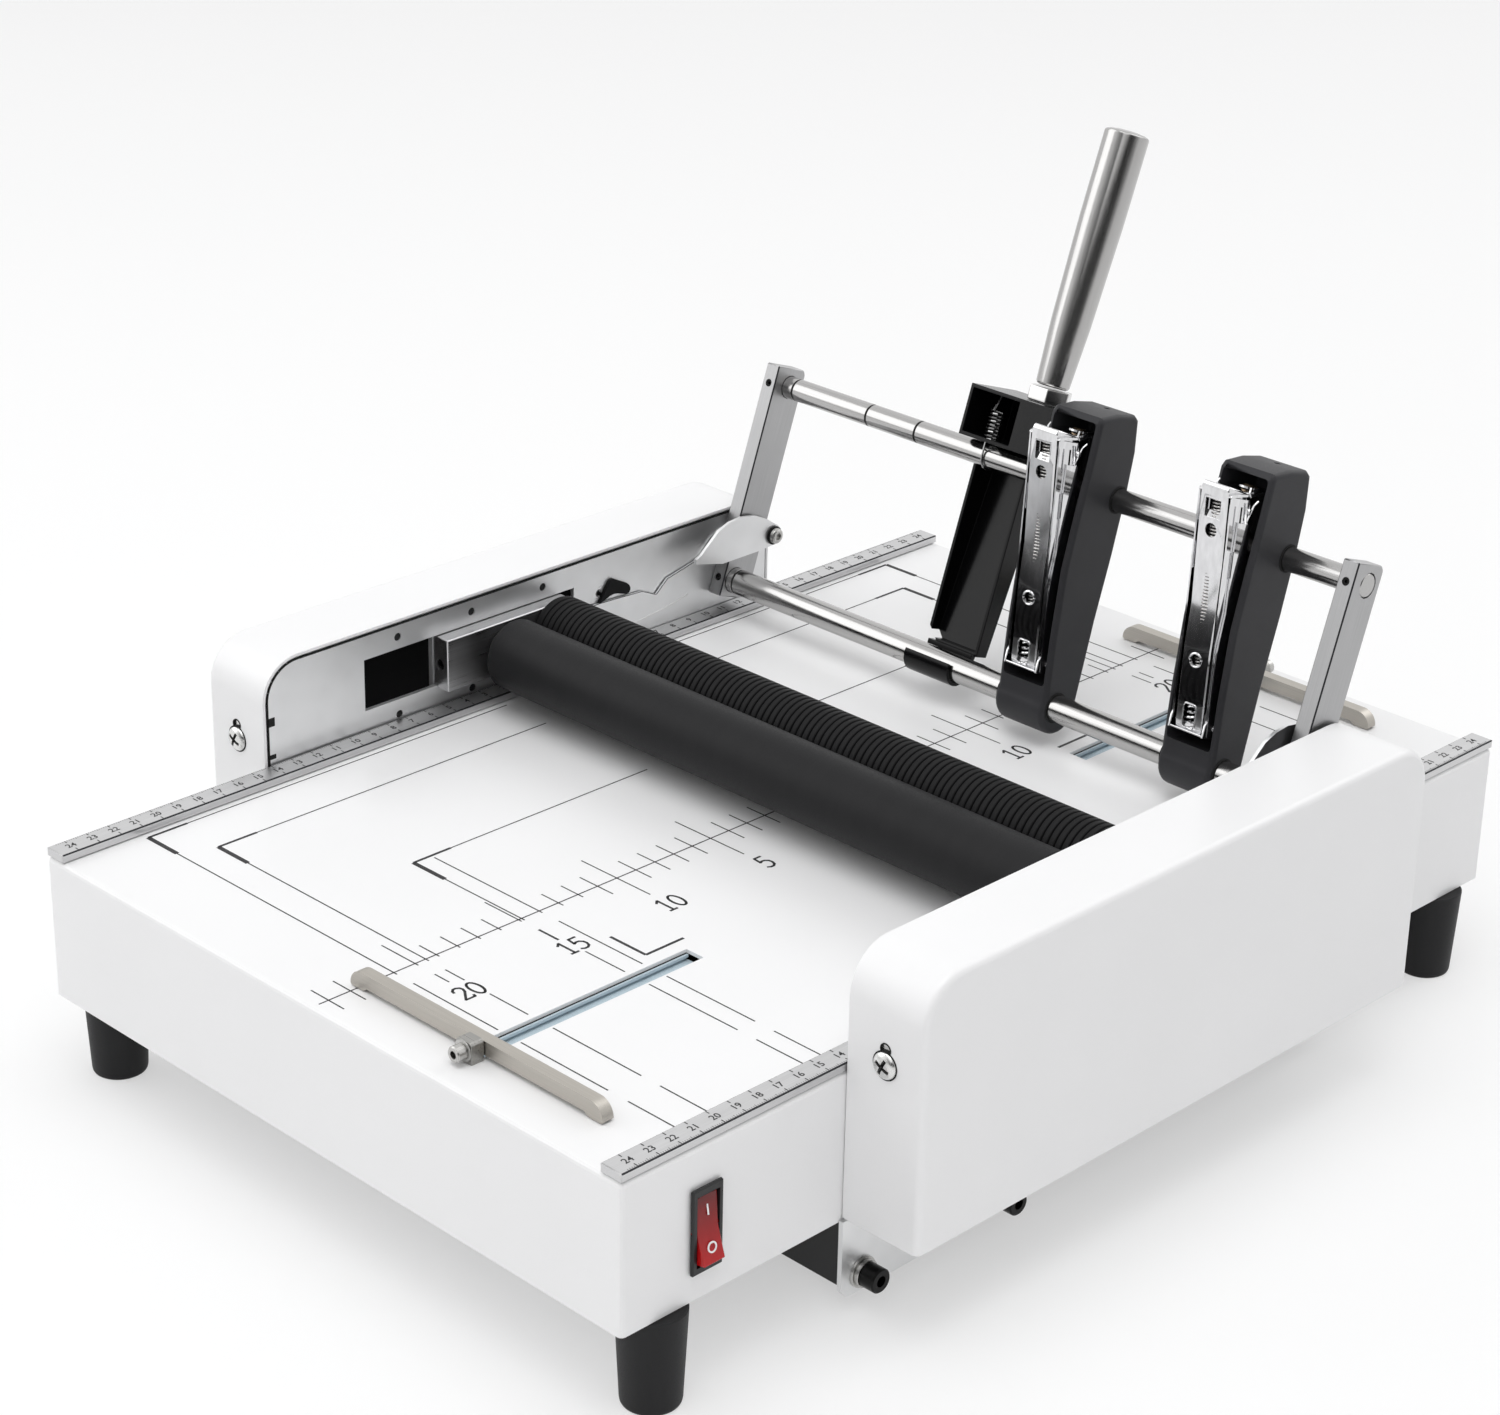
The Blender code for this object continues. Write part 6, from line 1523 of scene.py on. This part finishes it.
@dataclass
class Stapler:
    """One stapler: its black shell and its chromed magazine with springs."""

    side: Side
    centre: float
    width: float = 0.0264
    wall: float = 0.0022
    reach: float = 0.0222
    length: float = 0.1248
    heel: Point = (-0.003, -0.0006, 0.0112)
    round_edge: float = 0.0024
    front: Pairs = ((0.6126, 0.2244), (0.8559, 0.4615), (0.9189, 0.641), (0.955, 0.8093), (1.0, 0.9495))
    roof: Pairs = ((0.9234, 0.9712), (0.473, 0.992), (-0.0225, 1.0), (-0.1441, 0.9872))
    back: Pairs = ((-0.3198, 0.8798), (-0.4144, 0.7372), (-0.4865, 0.5288), (-0.518, 0.3045))
    channel: float = 0.0066
    cheek: float = 0.0074
    face_low: Pair = (0.0131, 0.017)
    face_knee: Pair = (0.0215, 0.047)
    rod_play: float = 0.0003
    hollow_drop: float = 0.003
    hollow_floor: float = 0.0078
    hollow_ahead: float = 0.006
    hollow_lip: float = -0.0035
    vent_radius: float = 0.0014
    vent_place: Point = (0.001, -0.0045, 0.0)
    vent_ends: Pair = (0.119, 0.13)
    side_slot: Pairs = ((-0.0343, 0.107), (-0.033, 0.107), (-0.03, 0.096), (-0.0313, 0.096))
    side_notch: Pairs = ((-0.0262, 0.0905), (-0.0235, 0.0905), (-0.019, 0.078), (-0.0215, 0.078))
    rim_place: float = 0.8467
    rim_profile: Pairs = ((0.0024, -0.0002), (0.0024, 0.0004), (0.0027, 0.0006), (0.0031, 0.0004),
                          (0.0032, -0.0002), (0.0024, -0.0002))
    window_place: float = 0.0833
    window_half: Pair = (0.003, 0.0052)
    window_corner: float = 0.0014
    window_wire: float = 0.00035
    strip_outline: Pairs = ((-0.0372, 0.1106), (-0.029, 0.1116), (-0.0225, 0.11), (-0.0225, 0.109),
                            (-0.0292, 0.1104), (-0.037, 0.1094))
    leaf_outline: Pairs = ((-0.0262, 0.1112), (-0.02, 0.1132), (-0.01, 0.114), (-0.01, 0.1133),
                           (-0.0198, 0.1124), (-0.0256, 0.1104))
    leaf_half: float = 0.0082
    leaf_hook: tuple[Point, ...] = (
        (0.008, -0.0262, 0.1106), (0.008, -0.028, 0.1124), (0.0076, -0.0272, 0.114))
    washer_place: tuple[Point, ...] = ((0.0012, -0.019, 0.1128), (0.0012, -0.019, 0.113))
    washer_profile: Pairs = ((0.0, 0.0), (0.003, 0.0), (0.0034, 0.0004), (0.0034, 0.001), (0.0026, 0.0016),
                             (0.0, 0.0018))
    washer_ring: Pairs = ((0.0036, 0.0), (0.0045, 0.0), (0.0045, 0.0008), (0.0036, 0.0008), (0.0036, 0.0))
    cheek_sheet: float = 0.0007
    cheek_outline: Pairs = (
        (-0.0386, 0.1092), (-0.0326, 0.0885), (-0.0212, 0.047), (-0.013, 0.0165), (-0.009, 0.0165),
        (-0.013, 0.044), (-0.0146, 0.054), (-0.0118, 0.06), (-0.0122, 0.068), (-0.019, 0.0885),
        (-0.0262, 0.1092))
    cheek_slots: tuple[Pairs, ...] = (
        ((-0.0356, 0.1062), (-0.0345, 0.1062), (-0.0318, 0.0965), (-0.0329, 0.0965)),
        ((-0.0312, 0.1062), (-0.03, 0.1062), (-0.027, 0.095), (-0.0282, 0.095)),
        ((-0.03, 0.088), (-0.0291, 0.088), (-0.0262, 0.0775), (-0.0271, 0.0775)))
    bead: Pairs = ((-0.0262, 0.09), (-0.0235, 0.08), (-0.0178, 0.058), (-0.015, 0.045), (-0.0112, 0.024))
    nose_slit: Pair = (-0.0016, 0.0008)
    nose_outline: Pairs = ((-0.0394, 0.109), (-0.0388, 0.11), (-0.034, 0.111), (-0.0268, 0.1114),
                           (-0.0262, 0.1104), (-0.0338, 0.1098), (-0.0384, 0.1086))
    tab_outline: Pairs = ((-0.0136, 0.0128), (-0.0092, 0.0128), (-0.0096, 0.019), (-0.0122, 0.0215),
                          (-0.0138, 0.018))
    toe_outline: Pairs = ((-0.0134, 0.013), (-0.01, 0.013), (-0.01, 0.0138), (-0.0134, 0.0138))
    slit_outline: Pairs = ((-0.0385, 0.1082), (-0.0381, 0.1091), (-0.0272, 0.1103), (-0.0272, 0.1093))
    clip_path: tuple[Point, ...] = (
        (0.0, -0.0288, 0.108), (0.0, -0.0262, 0.101), (0.0, -0.023, 0.095), (0.0, -0.0255, 0.101),
        (0.0003, -0.024, 0.1075), (0.0006, -0.0222, 0.1095))
    clip_button: Pairs = ((0.0, -0.0005), (0.0012, -0.0005), (0.0014, 0.0), (0.0012, 0.0005), (0.0, 0.0005))

    @property
    def body(self) -> str:
        """The body that the magazine's pieces ride on."""
        return "magazine_" + self.side.word

    def chromed(self, form: Form, word: str) -> None:
        """Finish a form as a chromed piece of the magazine."""
        form.place(f"{word}_{self.side.word}", CHROME, self.body)

    def beside(self, way: int, start: float, end: float) -> list[float]:
        """Two places to one side of the stapler's middle, the lower one first."""
        return sorted((self.centre + way * start, self.centre + way * end))

    def build(self) -> None:
        """Make the shell and the magazine."""
        self.shell()
        refine("staple_magazine_" + self.side.word, CHROME, self.body, 0.00025, True, self.side_slots())
        self.springs()
        self.hole_rim()
        self.follower()
        self.cheeks()
        self.nose()
        self.side_wires()
        self.rod_rings()

    def scaled(self, shares: Sequence[Pair]) -> list[Pair]:
        """Turn shares of the shell's reach and length into its own behind and along."""
        return [(-ahead * self.reach, along * self.length) for ahead, along in shares]

    def shell(self) -> None:
        """The hollow black body with its rounded corners, open to the front."""
        node = "stapler_shell_" + self.side.word
        ahead, along, radius = self.heel
        half, wall = self.width / 2, self.wall
        heel = [(-first, second) for first, second in arc((ahead, along), radius, 165.0, 375.0, 18)]
        outline = heel + self.scaled(self.front + self.roof + self.back)
        form = Form(True).extrude(outline, self.centre - half, self.centre + half, Axis.X)
        form.rounded(self.round_edge, 4, 50.0)
        top = self.length * self.roof[1][1] - self.hollow_drop - wall
        floor, open_at = self.hollow_floor, -(self.reach + self.hollow_ahead)
        inner = [(first - wall, second) for first, second in reversed(self.scaled(self.back))]
        behind = -self.reach * self.roof[-1][0] - wall / 2
        hollow = [(inner[0][0], floor + wall), *inner, (behind, top), (open_at, top), (open_at, floor),
                  (self.hollow_lip, floor)]
        room = Form(True).extrude(hollow, self.centre - half + wall, self.centre + half - wall, Axis.X)
        room.rounded(0.0016, 3, 60.0)
        form.cut(room)
        tool = Form(True)
        reach = half + 0.005
        for rod in (LOWER_ROD, TOP_ROD):
            hole = plug(rod.radius + self.rod_play, -reach, reach)
            tool.lathe(hole, Axis.X, (self.centre, rod.behind, rod.along), 48)
        form.cut(tool)
        x, y, z = self.vent_place
        form.cut(Form(True).lathe(plug(self.vent_radius, *self.vent_ends), Axis.Z, (self.centre + x, y, z), 24))
        form.place(node + "_dressed", SATIN_BLACK, "swing_frame", [node], sharp=30.0)

    def side_slots(self) -> Form:
        """The long slot and the notch in each side wall of the channel, near the nose."""
        form = Form(True)
        for way in (-1, 1):
            near, far = self.beside(way, self.channel - 0.0016, self.channel + 0.0006)
            form.extrude(self.side_slot, near, far, Axis.X)
            form.extrude(self.side_notch, near, far, Axis.X)
        return form

    def coil(self, start: Point, reach: Point, radius: float, wire: float, turns: int) -> Form:
        """A close coil of wire.

        Args:
            start: its first end, in the frame's own axes.
            reach: from its first end to its last.
            radius: the radius of its turns.
            wire: the wire's radius.
            turns: how many turns it has.

        Returns:
            The form.
        """
        line = Vector(reach)
        first = line.orthogonal().normalized()
        second = line.normalized().cross(first)
        steps = turns * 12
        points = []
        for step in range(steps + 1):
            turn = math.tau * step / 12
            place = Vector(start) + line * (step / steps)
            points.append(tuple(place + (first * math.cos(turn) + second * math.sin(turn)) * radius))
        return Form(True).pipe(points, wire, 8)

    def springs(self) -> None:
        """The long pusher spring behind the face, and the thick upright one in the lower window."""
        long = self.coil((self.centre + 0.0003, -0.0142, 0.0365), (0.0, -0.0205, 0.0713), 0.003, 0.00042, 54)
        long.place("pusher_spring_" + self.side.word, SPRING_STEEL, self.body)
        upright = self.coil((self.centre + 0.0002, -0.0106, 0.014), (0.0, -0.0026, 0.0106), 0.0019, 0.00055, 5)
        self.chromed(upright, "foot_spring")

    def hole_rim(self) -> None:
        """The raised rim round the lower hole of the face, and round the lower window."""
        low, knee = Vector(self.face_low), Vector(self.face_knee)
        slope = (knee - low).normalized()
        lean = math.atan2(slope.x, slope.y)
        turn = Matrix.Rotation(lean, 4, "X") @ Matrix.Rotation(math.pi / 2, 4, "X")
        place = low + (knee - low) * self.rim_place
        form = Form(True).lathe(self.rim_profile, Axis.Z, (0.0, 0.0, 0.0), 40)
        self.chromed(form.moved(Matrix.Translation((self.centre, -place.x, place.y)) @ turn), "hole_rim")
        place = low + (knee - low) * self.window_place
        wide, high = (half - self.window_corner for half in self.window_half)
        path = [(x, y, 0.0) for quarter, (right, up) in enumerate(((1, 1), (-1, 1), (-1, -1), (1, -1)))
                for x, y in arc((right * wide, up * high), self.window_corner, quarter * QUARTER_TURN,
                                (quarter + 1) * QUARTER_TURN, 5)]
        form = Form(True).pipe(path + path[:1], self.window_wire, 8)
        self.chromed(form.moved(Matrix.Translation((self.centre, -place.x, place.y)) @ turn), "window_rim")

    def follower(self) -> None:
        """The pusher strip that closes the channel's top, the bent leaf behind it and its washer."""
        half = self.channel - 0.0014
        strip = Form(True).extrude(self.strip_outline, self.centre - half * 0.6, self.centre + half, Axis.X)
        self.chromed(strip.rounded(0.0002), "pusher_strip")
        leaf = Form(True).extrude(self.leaf_outline, *self.beside(1, -self.leaf_half, self.leaf_half), Axis.X)
        for way in (-1, 1):
            leaf.pipe([(self.centre + way * out, y, z) for out, y, z in self.leaf_hook], 0.0004, 8)
        self.chromed(leaf, "hold_down_leaf")
        low, high = ((self.centre + x, y, z) for x, y, z in self.washer_place)
        form = Form(True).lathe(self.washer_profile, Axis.Z, low, 32)
        form.place("leaf_washer_" + self.side.word, BRASS_WASHER, self.body)
        self.chromed(Form(True).lathe(self.washer_ring, Axis.Z, high, 32), "washer_ring")

    def cheeks(self) -> None:
        """The bright guide plates beside the channel, broad above and narrow below, each with a long bead."""
        form = Form(True)
        for way in (-1, 1):
            near, far = self.beside(way, self.cheek, self.cheek + self.cheek_sheet)
            plate = Form(True).extrude(self.cheek_outline, near, far, Axis.X)
            tool = Form(True)
            for slot in self.cheek_slots:
                tool.extrude(slot, near - 0.001, far + 0.001, Axis.X)
            form.join(plate.cut(tool))
            x = self.centre + way * (self.cheek + self.cheek_sheet)
            form.pipe([(x, y, z) for y, z in self.bead], 0.0006, 8)
        self.chromed(form, "magazine_cheeks")

    def nose(self) -> None:
        """The folded top of the magazine, slit along its middle, with painted shade in the slit, and the small
        tabs at its foot.
        """
        wide = self.cheek + 0.0005
        left, right = self.nose_slit
        form = Form(True)
        for low, high in ((-wide, left), (right, wide)):
            form.extrude(self.nose_outline, self.centre + low, self.centre + high, Axis.X)
        for way in (-1, 1):
            form.extrude(self.tab_outline, *self.beside(way, self.cheek + 0.0004, self.cheek + 0.0014), Axis.X)
        form.extrude(self.toe_outline, self.centre - wide, self.centre + wide, Axis.X)
        self.chromed(form.rounded(0.0002), "magazine_nose")
        # Painted shade: a near-black strip in the slit.
        form = Form(True).extrude(self.slit_outline, self.centre + left, self.centre + right, Axis.X)
        form.place("nose_slit_" + self.side.word, SHADOW_GAP, self.body)

    def side_wires(self) -> None:
        """The bent wire clips beside the channel, just behind the nose."""
        form = Form(True)
        for way in (-1, 1):
            x = self.centre + way * (self.cheek + 0.0011)
            form.pipe([(x + way * out, y, z) for out, y, z in self.clip_path], 0.00045, 8)
            form.lathe(self.clip_button, Axis.X, (x, -0.0252, 0.1048), 24)
        self.chromed(form, "side_clips")

    def rod_rings(self) -> None:
        """Painted shadow in the clearance gap where each rod enters the shell."""
        form = Form(True)
        for rod in (LOWER_ROD, TOP_ROD):
            for way in (-1, 1):
                face = way * (self.width / 2)
                ring = band(rod.radius + 0.0001, rod.radius + 0.0008, face - way * 0.0006, face + way * 0.0003)
                form.lathe(ring, Axis.X, (self.centre, rod.behind, rod.along), 48)
        form.place("rod_rings_" + self.side.word, SHADOW_GAP, "swing_frame")


@dataclass
class HandleMount:
    """The gloss-black bracket, the nut and the handle."""

    x: float = -0.0168
    behind: float = 0.009
    nut_along: float = 0.1178
    nut_height: float = 0.0062
    across_flats: float = 0.0169
    radius: float = 0.00955
    length: float = 0.1103
    taper: Pairs = ((0.0, 0.759), (0.25, 0.895), (0.65, 0.99))
    tilt: float = math.radians(2.0)

    def build(self) -> None:
        """Make the bracket, nut and handle."""
        refine("handle_bracket", GLOSS_BLACK, "swing_frame", 0.0004, True)
        self.nut()
        self.handle()

    def nut(self) -> None:
        """The hexagon nut with turned, chamfered ends."""
        corner = self.across_flats / 2 / math.cos(math.pi / 6)
        outline = [(self.x + corner * math.cos(turn), self.behind + corner * math.sin(turn))
                   for turn in (math.tau * side / 6 for side in range(6))]
        form = Form(True).extrude(outline, self.nut_along, self.nut_along + self.nut_height, Axis.Z)
        form.rounded(0.0005).place("hex_nut_dressed", NUT_STEEL, "swing_frame", ["hex_nut"])

    def handle(self) -> None:
        """The tapered steel handle with a round foot and a domed, rimmed end."""
        length, tip = self.length, self.radius
        profile = [(0.0, length), (tip * 0.45, length - 0.0002), (tip * 0.8, length - 0.0007),
                   (tip - 0.0007, length - 0.0012), (tip - 0.0002, length - 0.0016), (tip, length - 0.0022)]
        profile += [(share * tip, max(0.0014, place * length)) for place, share in reversed(self.taper)]
        foot = self.taper[0][1] * tip
        profile += [(foot - 0.0004, 0.0006), (foot - 0.0012, 0.0001), (0.0, 0.0)]
        form = Form(True).lathe(profile, Axis.Z, (0.0, 0.0, 0.0), 96)
        along = self.nut_along + self.nut_height + 0.0003 + foot * math.sin(self.tilt)
        form.moved(Matrix.Translation((self.x, self.behind, along)) @ Matrix.Rotation(-self.tilt, 4, "X"))
        form.place("handle_dressed", HANDLE_STEEL, "swing_frame", ["handle"])


@dataclass
class PaperStop:
    """A sliding stop: an arched bar with rounded ends, its clamp and the clamp's screw."""

    end: End
    deck_top: float = 0.0989
    height: float = 0.0071
    end_radius: float = 0.0062
    foot_length: float = 0.0072
    step: float = 0.002
    arch: float = 0.0014
    clamp_half: float = 0.0041
    clamp_height: float = 0.0082
    corner: float = 0.0008
    edge: float = 0.00035
    broken: float = 0.001
    screw_down: float = 0.004

    def build(self) -> None:
        """Make the bar, the clamp and the screw."""
        self.bar()
        self.clamp()
        self.screw()

    def place(self, form: Form, word: str, finish: Finish, *nodes: str) -> None:
        """Finish a form as a piece that slides with the stop, shown instead of the nodes that are named."""
        body = self.end.word + "_stop"
        form.place(f"{body}_{word}", finish, body, nodes, finish.slot if nodes else "polished_steel")

    def bar(self) -> None:
        """The bar, whose underside is clear of the deck between its two feet."""
        node = self.end.word + "_stop_bar"
        low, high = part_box(node)
        base, top, radius = self.deck_top, self.deck_top + self.height, self.end_radius
        rise, foot, step = self.arch, self.foot_length, self.step
        outline = [(low.x + self.corner, base), (low.x + foot, base), (low.x + foot + step, base + rise),
                   (high.x - foot - step, base + rise), (high.x - foot, base),
                   (high.x - self.corner, base), (high.x, base + self.corner)]
        outline += arc((high.x - radius, top - radius), radius, 0.0, QUARTER_TURN, 10)
        outline += arc((low.x + radius, top - radius), radius, QUARTER_TURN, HALF_TURN, 10)
        outline.append((low.x, base + self.corner))
        form = Form().extrude(outline, low.y, high.y, Axis.Y).rounded(self.edge)
        self.place(form, "bar_dressed", STOP_STEEL, node)

    def clamp(self) -> None:
        """The clamp behind the bar, with its upper edges broken."""
        node = self.end.word + "_stop_clamp"
        low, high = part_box(node)
        middle, half, broken = (low.x + high.x) / 2, self.clamp_half, self.broken
        top = self.deck_top + self.clamp_height
        outline = [(middle - half, low.z), (middle + half, low.z), (middle + half, top - broken),
                   (middle + half - broken, top), (middle - half + broken, top), (middle - half, top - broken)]
        form = Form().extrude(outline, low.y, high.y, Axis.Y).rounded(self.edge)
        self.place(form, "clamp_dressed", CLAMP_STEEL, node)

    def screw(self) -> None:
        """The clamp's cap screw, facing away from the bar, on a dark washer."""
        low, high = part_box(self.end.word + "_stop_clamp")
        face = low.y if self.end is End.FRONT else high.y
        way = float(self.end.value)
        centre = ((low.x + high.x) / 2, face, self.deck_top + self.clamp_height - self.screw_down)
        profile = [(0.0, 0.0024), (0.0015, 0.0024), (0.0015, 0.0048), (0.0027, 0.0048), (0.0031, 0.0043),
                   (0.0031, 0.0008), (0.0, 0.0008)]
        self.place(Form().lathe(facing(profile, way), Axis.Y, centre, 40), "screw", SCREW_STEEL)
        for word, radius, finish, start, end in (("washer", 0.0042, SCREW_STEEL, 0.0, 0.0007),
                                                 ("socket", 0.0015, BLACK_SCREW, 0.002, 0.0026)):
            disc = [(0.0, start), (radius - 0.0002, start), (radius, start + 0.0002), (radius, end - 0.0001),
                    (radius - 0.0002, end), (0.0, end)]
            self.place(Form().lathe(facing(disc, way), Axis.Y, centre, 40), word, finish)


@dataclass
class Controls:
    """The rocker switch, the latch lever and the mains inlet."""

    tip: float = math.radians(10.0)
    axis: Point = (0.1623, -0.2098, 0.0664)
    latch_outline: Pairs = (
        (0.0392, 0.1226), (0.044, 0.1299), (0.0453, 0.1316), (0.0465, 0.1324), (0.0482, 0.1324),
        (0.0523, 0.1302), (0.056, 0.1283), (0.0576, 0.127), (0.0583, 0.1256), (0.0582, 0.1242),
        (0.0573, 0.1232), (0.0556, 0.123), (0.0538, 0.1236), (0.0508, 0.1246), (0.0484, 0.125),
        (0.0462, 0.1248), (0.043, 0.1236))
    mark_faces: Pair = (0.0024, 0.0027)
    mark_half: float = 0.0003
    on_line: Pair = (0.005, 0.009)
    off_middle: Pair = (0.0, -0.007)
    off_radii: Pair = (0.0021, 0.0015)
    off_steps: int = 32

    def build(self) -> None:
        """Make the switch, its marks, the latch and the inlet."""
        refine("switch_bezel", SWITCH_BLACK, "base", 0.0003)
        refine("switch_rocker", ROCKER_RED, "rocker", 0.0003)
        self.marks()
        self.latch()
        refine("power_inlet", SWITCH_BLACK, "base", 0.0004)

    def latch(self) -> None:
        """The black latch: a wedge with a short round finger."""
        low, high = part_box("latch_lever")
        form = Form().extrude(self.latch_outline, low.x, high.x, Axis.X).rounded(0.0005, 2, 25.0)
        form.place("latch_lever_dressed", LATCH_BLACK, "latch", ["latch_lever"])

    def marks(self) -> None:
        """The white line and ring that say on and off."""
        near, far = self.mark_faces
        form = Form().box((near, -self.mark_half, self.on_line[0]), (far, self.mark_half, self.on_line[1]))
        outer, inner = (arc(self.off_middle, radius, 0.0, 2 * HALF_TURN, self.off_steps)[:-1]
                        for radius in self.off_radii)
        for index in range(self.off_steps):
            following = (index + 1) % self.off_steps
            form.extrude([outer[index], outer[following], inner[following], inner[index]], near, far, Axis.X)
        form.moved(Matrix.Translation(self.axis) @ Matrix.Rotation(-self.tip, 4, "Y"))
        form.place("rocker_marks", WHITE_INK, "rocker")


@dataclass
class Studio:
    """The floor, the lamps, the world and the camera."""

    eye: Point = (0.873843, -0.912972, 0.710172)
    forward: Point = (-0.64053363, 0.64806399, -0.41198269)
    up: Point = (-0.30348459, 0.27918707, 0.91101684)
    lens: float = 84.08
    floor_size: float = 14.0
    floor_white: float = 0.5
    sky: float = 0.61
    dark_side: Point = (0.742, -0.668, 0.06)
    sky_ramp: tuple[tuple[float, Colour], ...] = ((0.0, (0.60, 0.60, 0.61)), (0.8, (1.0, 1.0, 1.0)))
    lamps: tuple[tuple[str, Point, Point, float, float], ...] = (
        ("top_lamp", (0.25, -0.4, 2.6), (0.0, 0.0, 0.1), 1.8, 25.0),
        ("key_lamp", (1.4, -1.7, 2.0), (0.0, 0.0, 0.1), 1.8, 10.5),
        ("fill_lamp", (-2.0, -1.3, 1.5), (0.0, 0.0, 0.1), 2.0, 16.5),
        ("back_lamp", (0.3, 2.2, 1.9), (0.0, 0.0, 0.15), 1.6, 11.0))

    def build(self) -> None:
        """Set up everything round the object."""
        self.camera()
        self.floor()
        self.world()
        for lamp in self.lamps:
            self.lamp(*lamp)
        bpy.context.scene.view_settings.view_transform = "Standard"

    def camera(self) -> None:
        """The camera at the photograph's place and angle."""
        data = bpy.data.cameras.new("camera")
        data.lens = self.lens
        data.sensor_width = 36.0
        data.clip_start = 0.05
        data.clip_end = 60.0
        camera = put("camera", data)
        back = -Vector(self.forward).normalized()
        up = Vector(self.up)
        right = up.cross(back).normalized()
        up = back.cross(right)
        turn = Matrix((right, up, back)).transposed().to_4x4()
        camera.matrix_world = Matrix.Translation(self.eye) @ turn
        bpy.context.scene.camera = camera

    def floor(self) -> None:
        """A wide pale floor that goes on past the view."""
        half = self.floor_size / 2
        form = Form().box((-half, -half, -0.01), (half, half, 0.0))
        bmesh.ops.recalc_face_normals(form.mesh, faces=form.mesh.faces)
        floor = put("floor", form.used_up("floor"))
        graph = Graph("floor")
        cloud = graph.noise(graph.place(), 1 / 0.9, 2.0)
        graph.paint(cloud, (0.90, 0.90, 0.905), (0.94, 0.94, 0.94))
        graph.feed("Roughness", 0.85)
        floor.data.materials.append(graph.material)
        self.whiten(graph)

    def whiten(self, graph: Graph) -> None:
        """Let the floor show partly as the white backdrop, in which the object's shadow stays.

        Args:
            graph: the floor's material.
        """
        output = next(node for node in graph.tree.nodes if node.type == "OUTPUT_MATERIAL")
        share = graph.add("Math", {0: self.seen_rays(graph), 1: self.floor_white}, operation="MULTIPLY")
        white = graph.add("Emission")
        mix = graph.add("MixShader", {0: share.outputs[0], 1: graph.shader.outputs[0], 2: white.outputs[0]})
        graph.tree.links.new(mix.outputs[0], output.inputs["Surface"])

    def seen_rays(self, nodes: Nodes) -> bpy.types.NodeSocket:
        """One for what the camera sees straight on, in metal or through glass, and nought for other light.

        Args:
            nodes: where its nodes go.

        Returns:
            The socket that gives it.
        """
        path = nodes.add("LightPath")
        total = path.outputs["Is Camera Ray"]
        for name in ("Is Glossy Ray", "Is Transmission Ray"):
            total = nodes.add("Math", {0: total, 1: path.outputs[name]}, operation="MAXIMUM").outputs[0]
        return total

    def world(self) -> None:
        """Soft light from all round, and a white backdrop, dark towards the room, that metal shows too."""
        world = bpy.data.worlds.new("studio")
        bpy.context.scene.world = world
        world.use_nodes = True
        nodes = Nodes(world.node_tree)
        nodes.tree.nodes.clear()
        place = nodes.add("TexCoord").outputs["Generated"]
        height = nodes.add("SeparateXYZ", {0: place}).outputs["Z"]
        ramp = nodes.add("ValToRGB", {0: height})
        for stop, (position, colour) in zip(ramp.color_ramp.elements, self.sky_ramp):
            stop.position = position
            stop.color = (*colour, 1.0)
        soft = nodes.add("Background", {"Color": ramp.outputs[0], "Strength": self.sky})
        towards = nodes.add("VectorMath", {0: place, 1: self.dark_side}, operation="DOT_PRODUCT")
        shade = nodes.add("MapRange", {"Value": towards.outputs["Value"], "From Min": 0.35, "From Max": 0.90,
                                       "To Min": 1.0, "To Max": 0.05})
        backdrop = nodes.add("Background", {"Color": shade.outputs["Result"]})
        mix = nodes.add("MixShader", {0: self.seen_rays(nodes), 1: soft.outputs[0], 2: backdrop.outputs[0]})
        nodes.add("OutputWorld", {"Surface": mix.outputs[0]})

    def lamp(self, name: str, place: Point, target: Point, size: float, power: float) -> None:
        """A soft square lamp aimed at a point.

        Args:
            name: the lamp's name.
            place: where it hangs.
            target: what it faces.
            size: the length of its side.
            power: its power in watts.
        """
        data = bpy.data.lights.new(name, "AREA")
        data.shape = "SQUARE"
        data.size = size
        data.energy = power
        lamp = put(name, data)
        lamp.location = place
        lamp.rotation_euler = (Vector(target) - Vector(place)).to_track_quat("-Z", "Y").to_euler()


def main() -> None:
    """Build the studio and each sub-assembly in order."""
    logging.basicConfig(level=logging.INFO, format="%(name)s: %(message)s")
    Studio().build()
    coat_nodes()
    assemblies = [Deck(), SideHousing(Side.LEFT), SideHousing(Side.RIGHT), RollerCarriage(), SwingFrame(),
                  Stapler(Side.LEFT, 0.022453), Stapler(Side.RIGHT, 0.109156), HandleMount(),
                  PaperStop(End.FRONT), PaperStop(End.BACK), Controls()]
    for assembly in assemblies:
        assembly.build()
        log.info("%s is dressed", type(assembly).__name__)


if __name__ == "__main__":
    main()
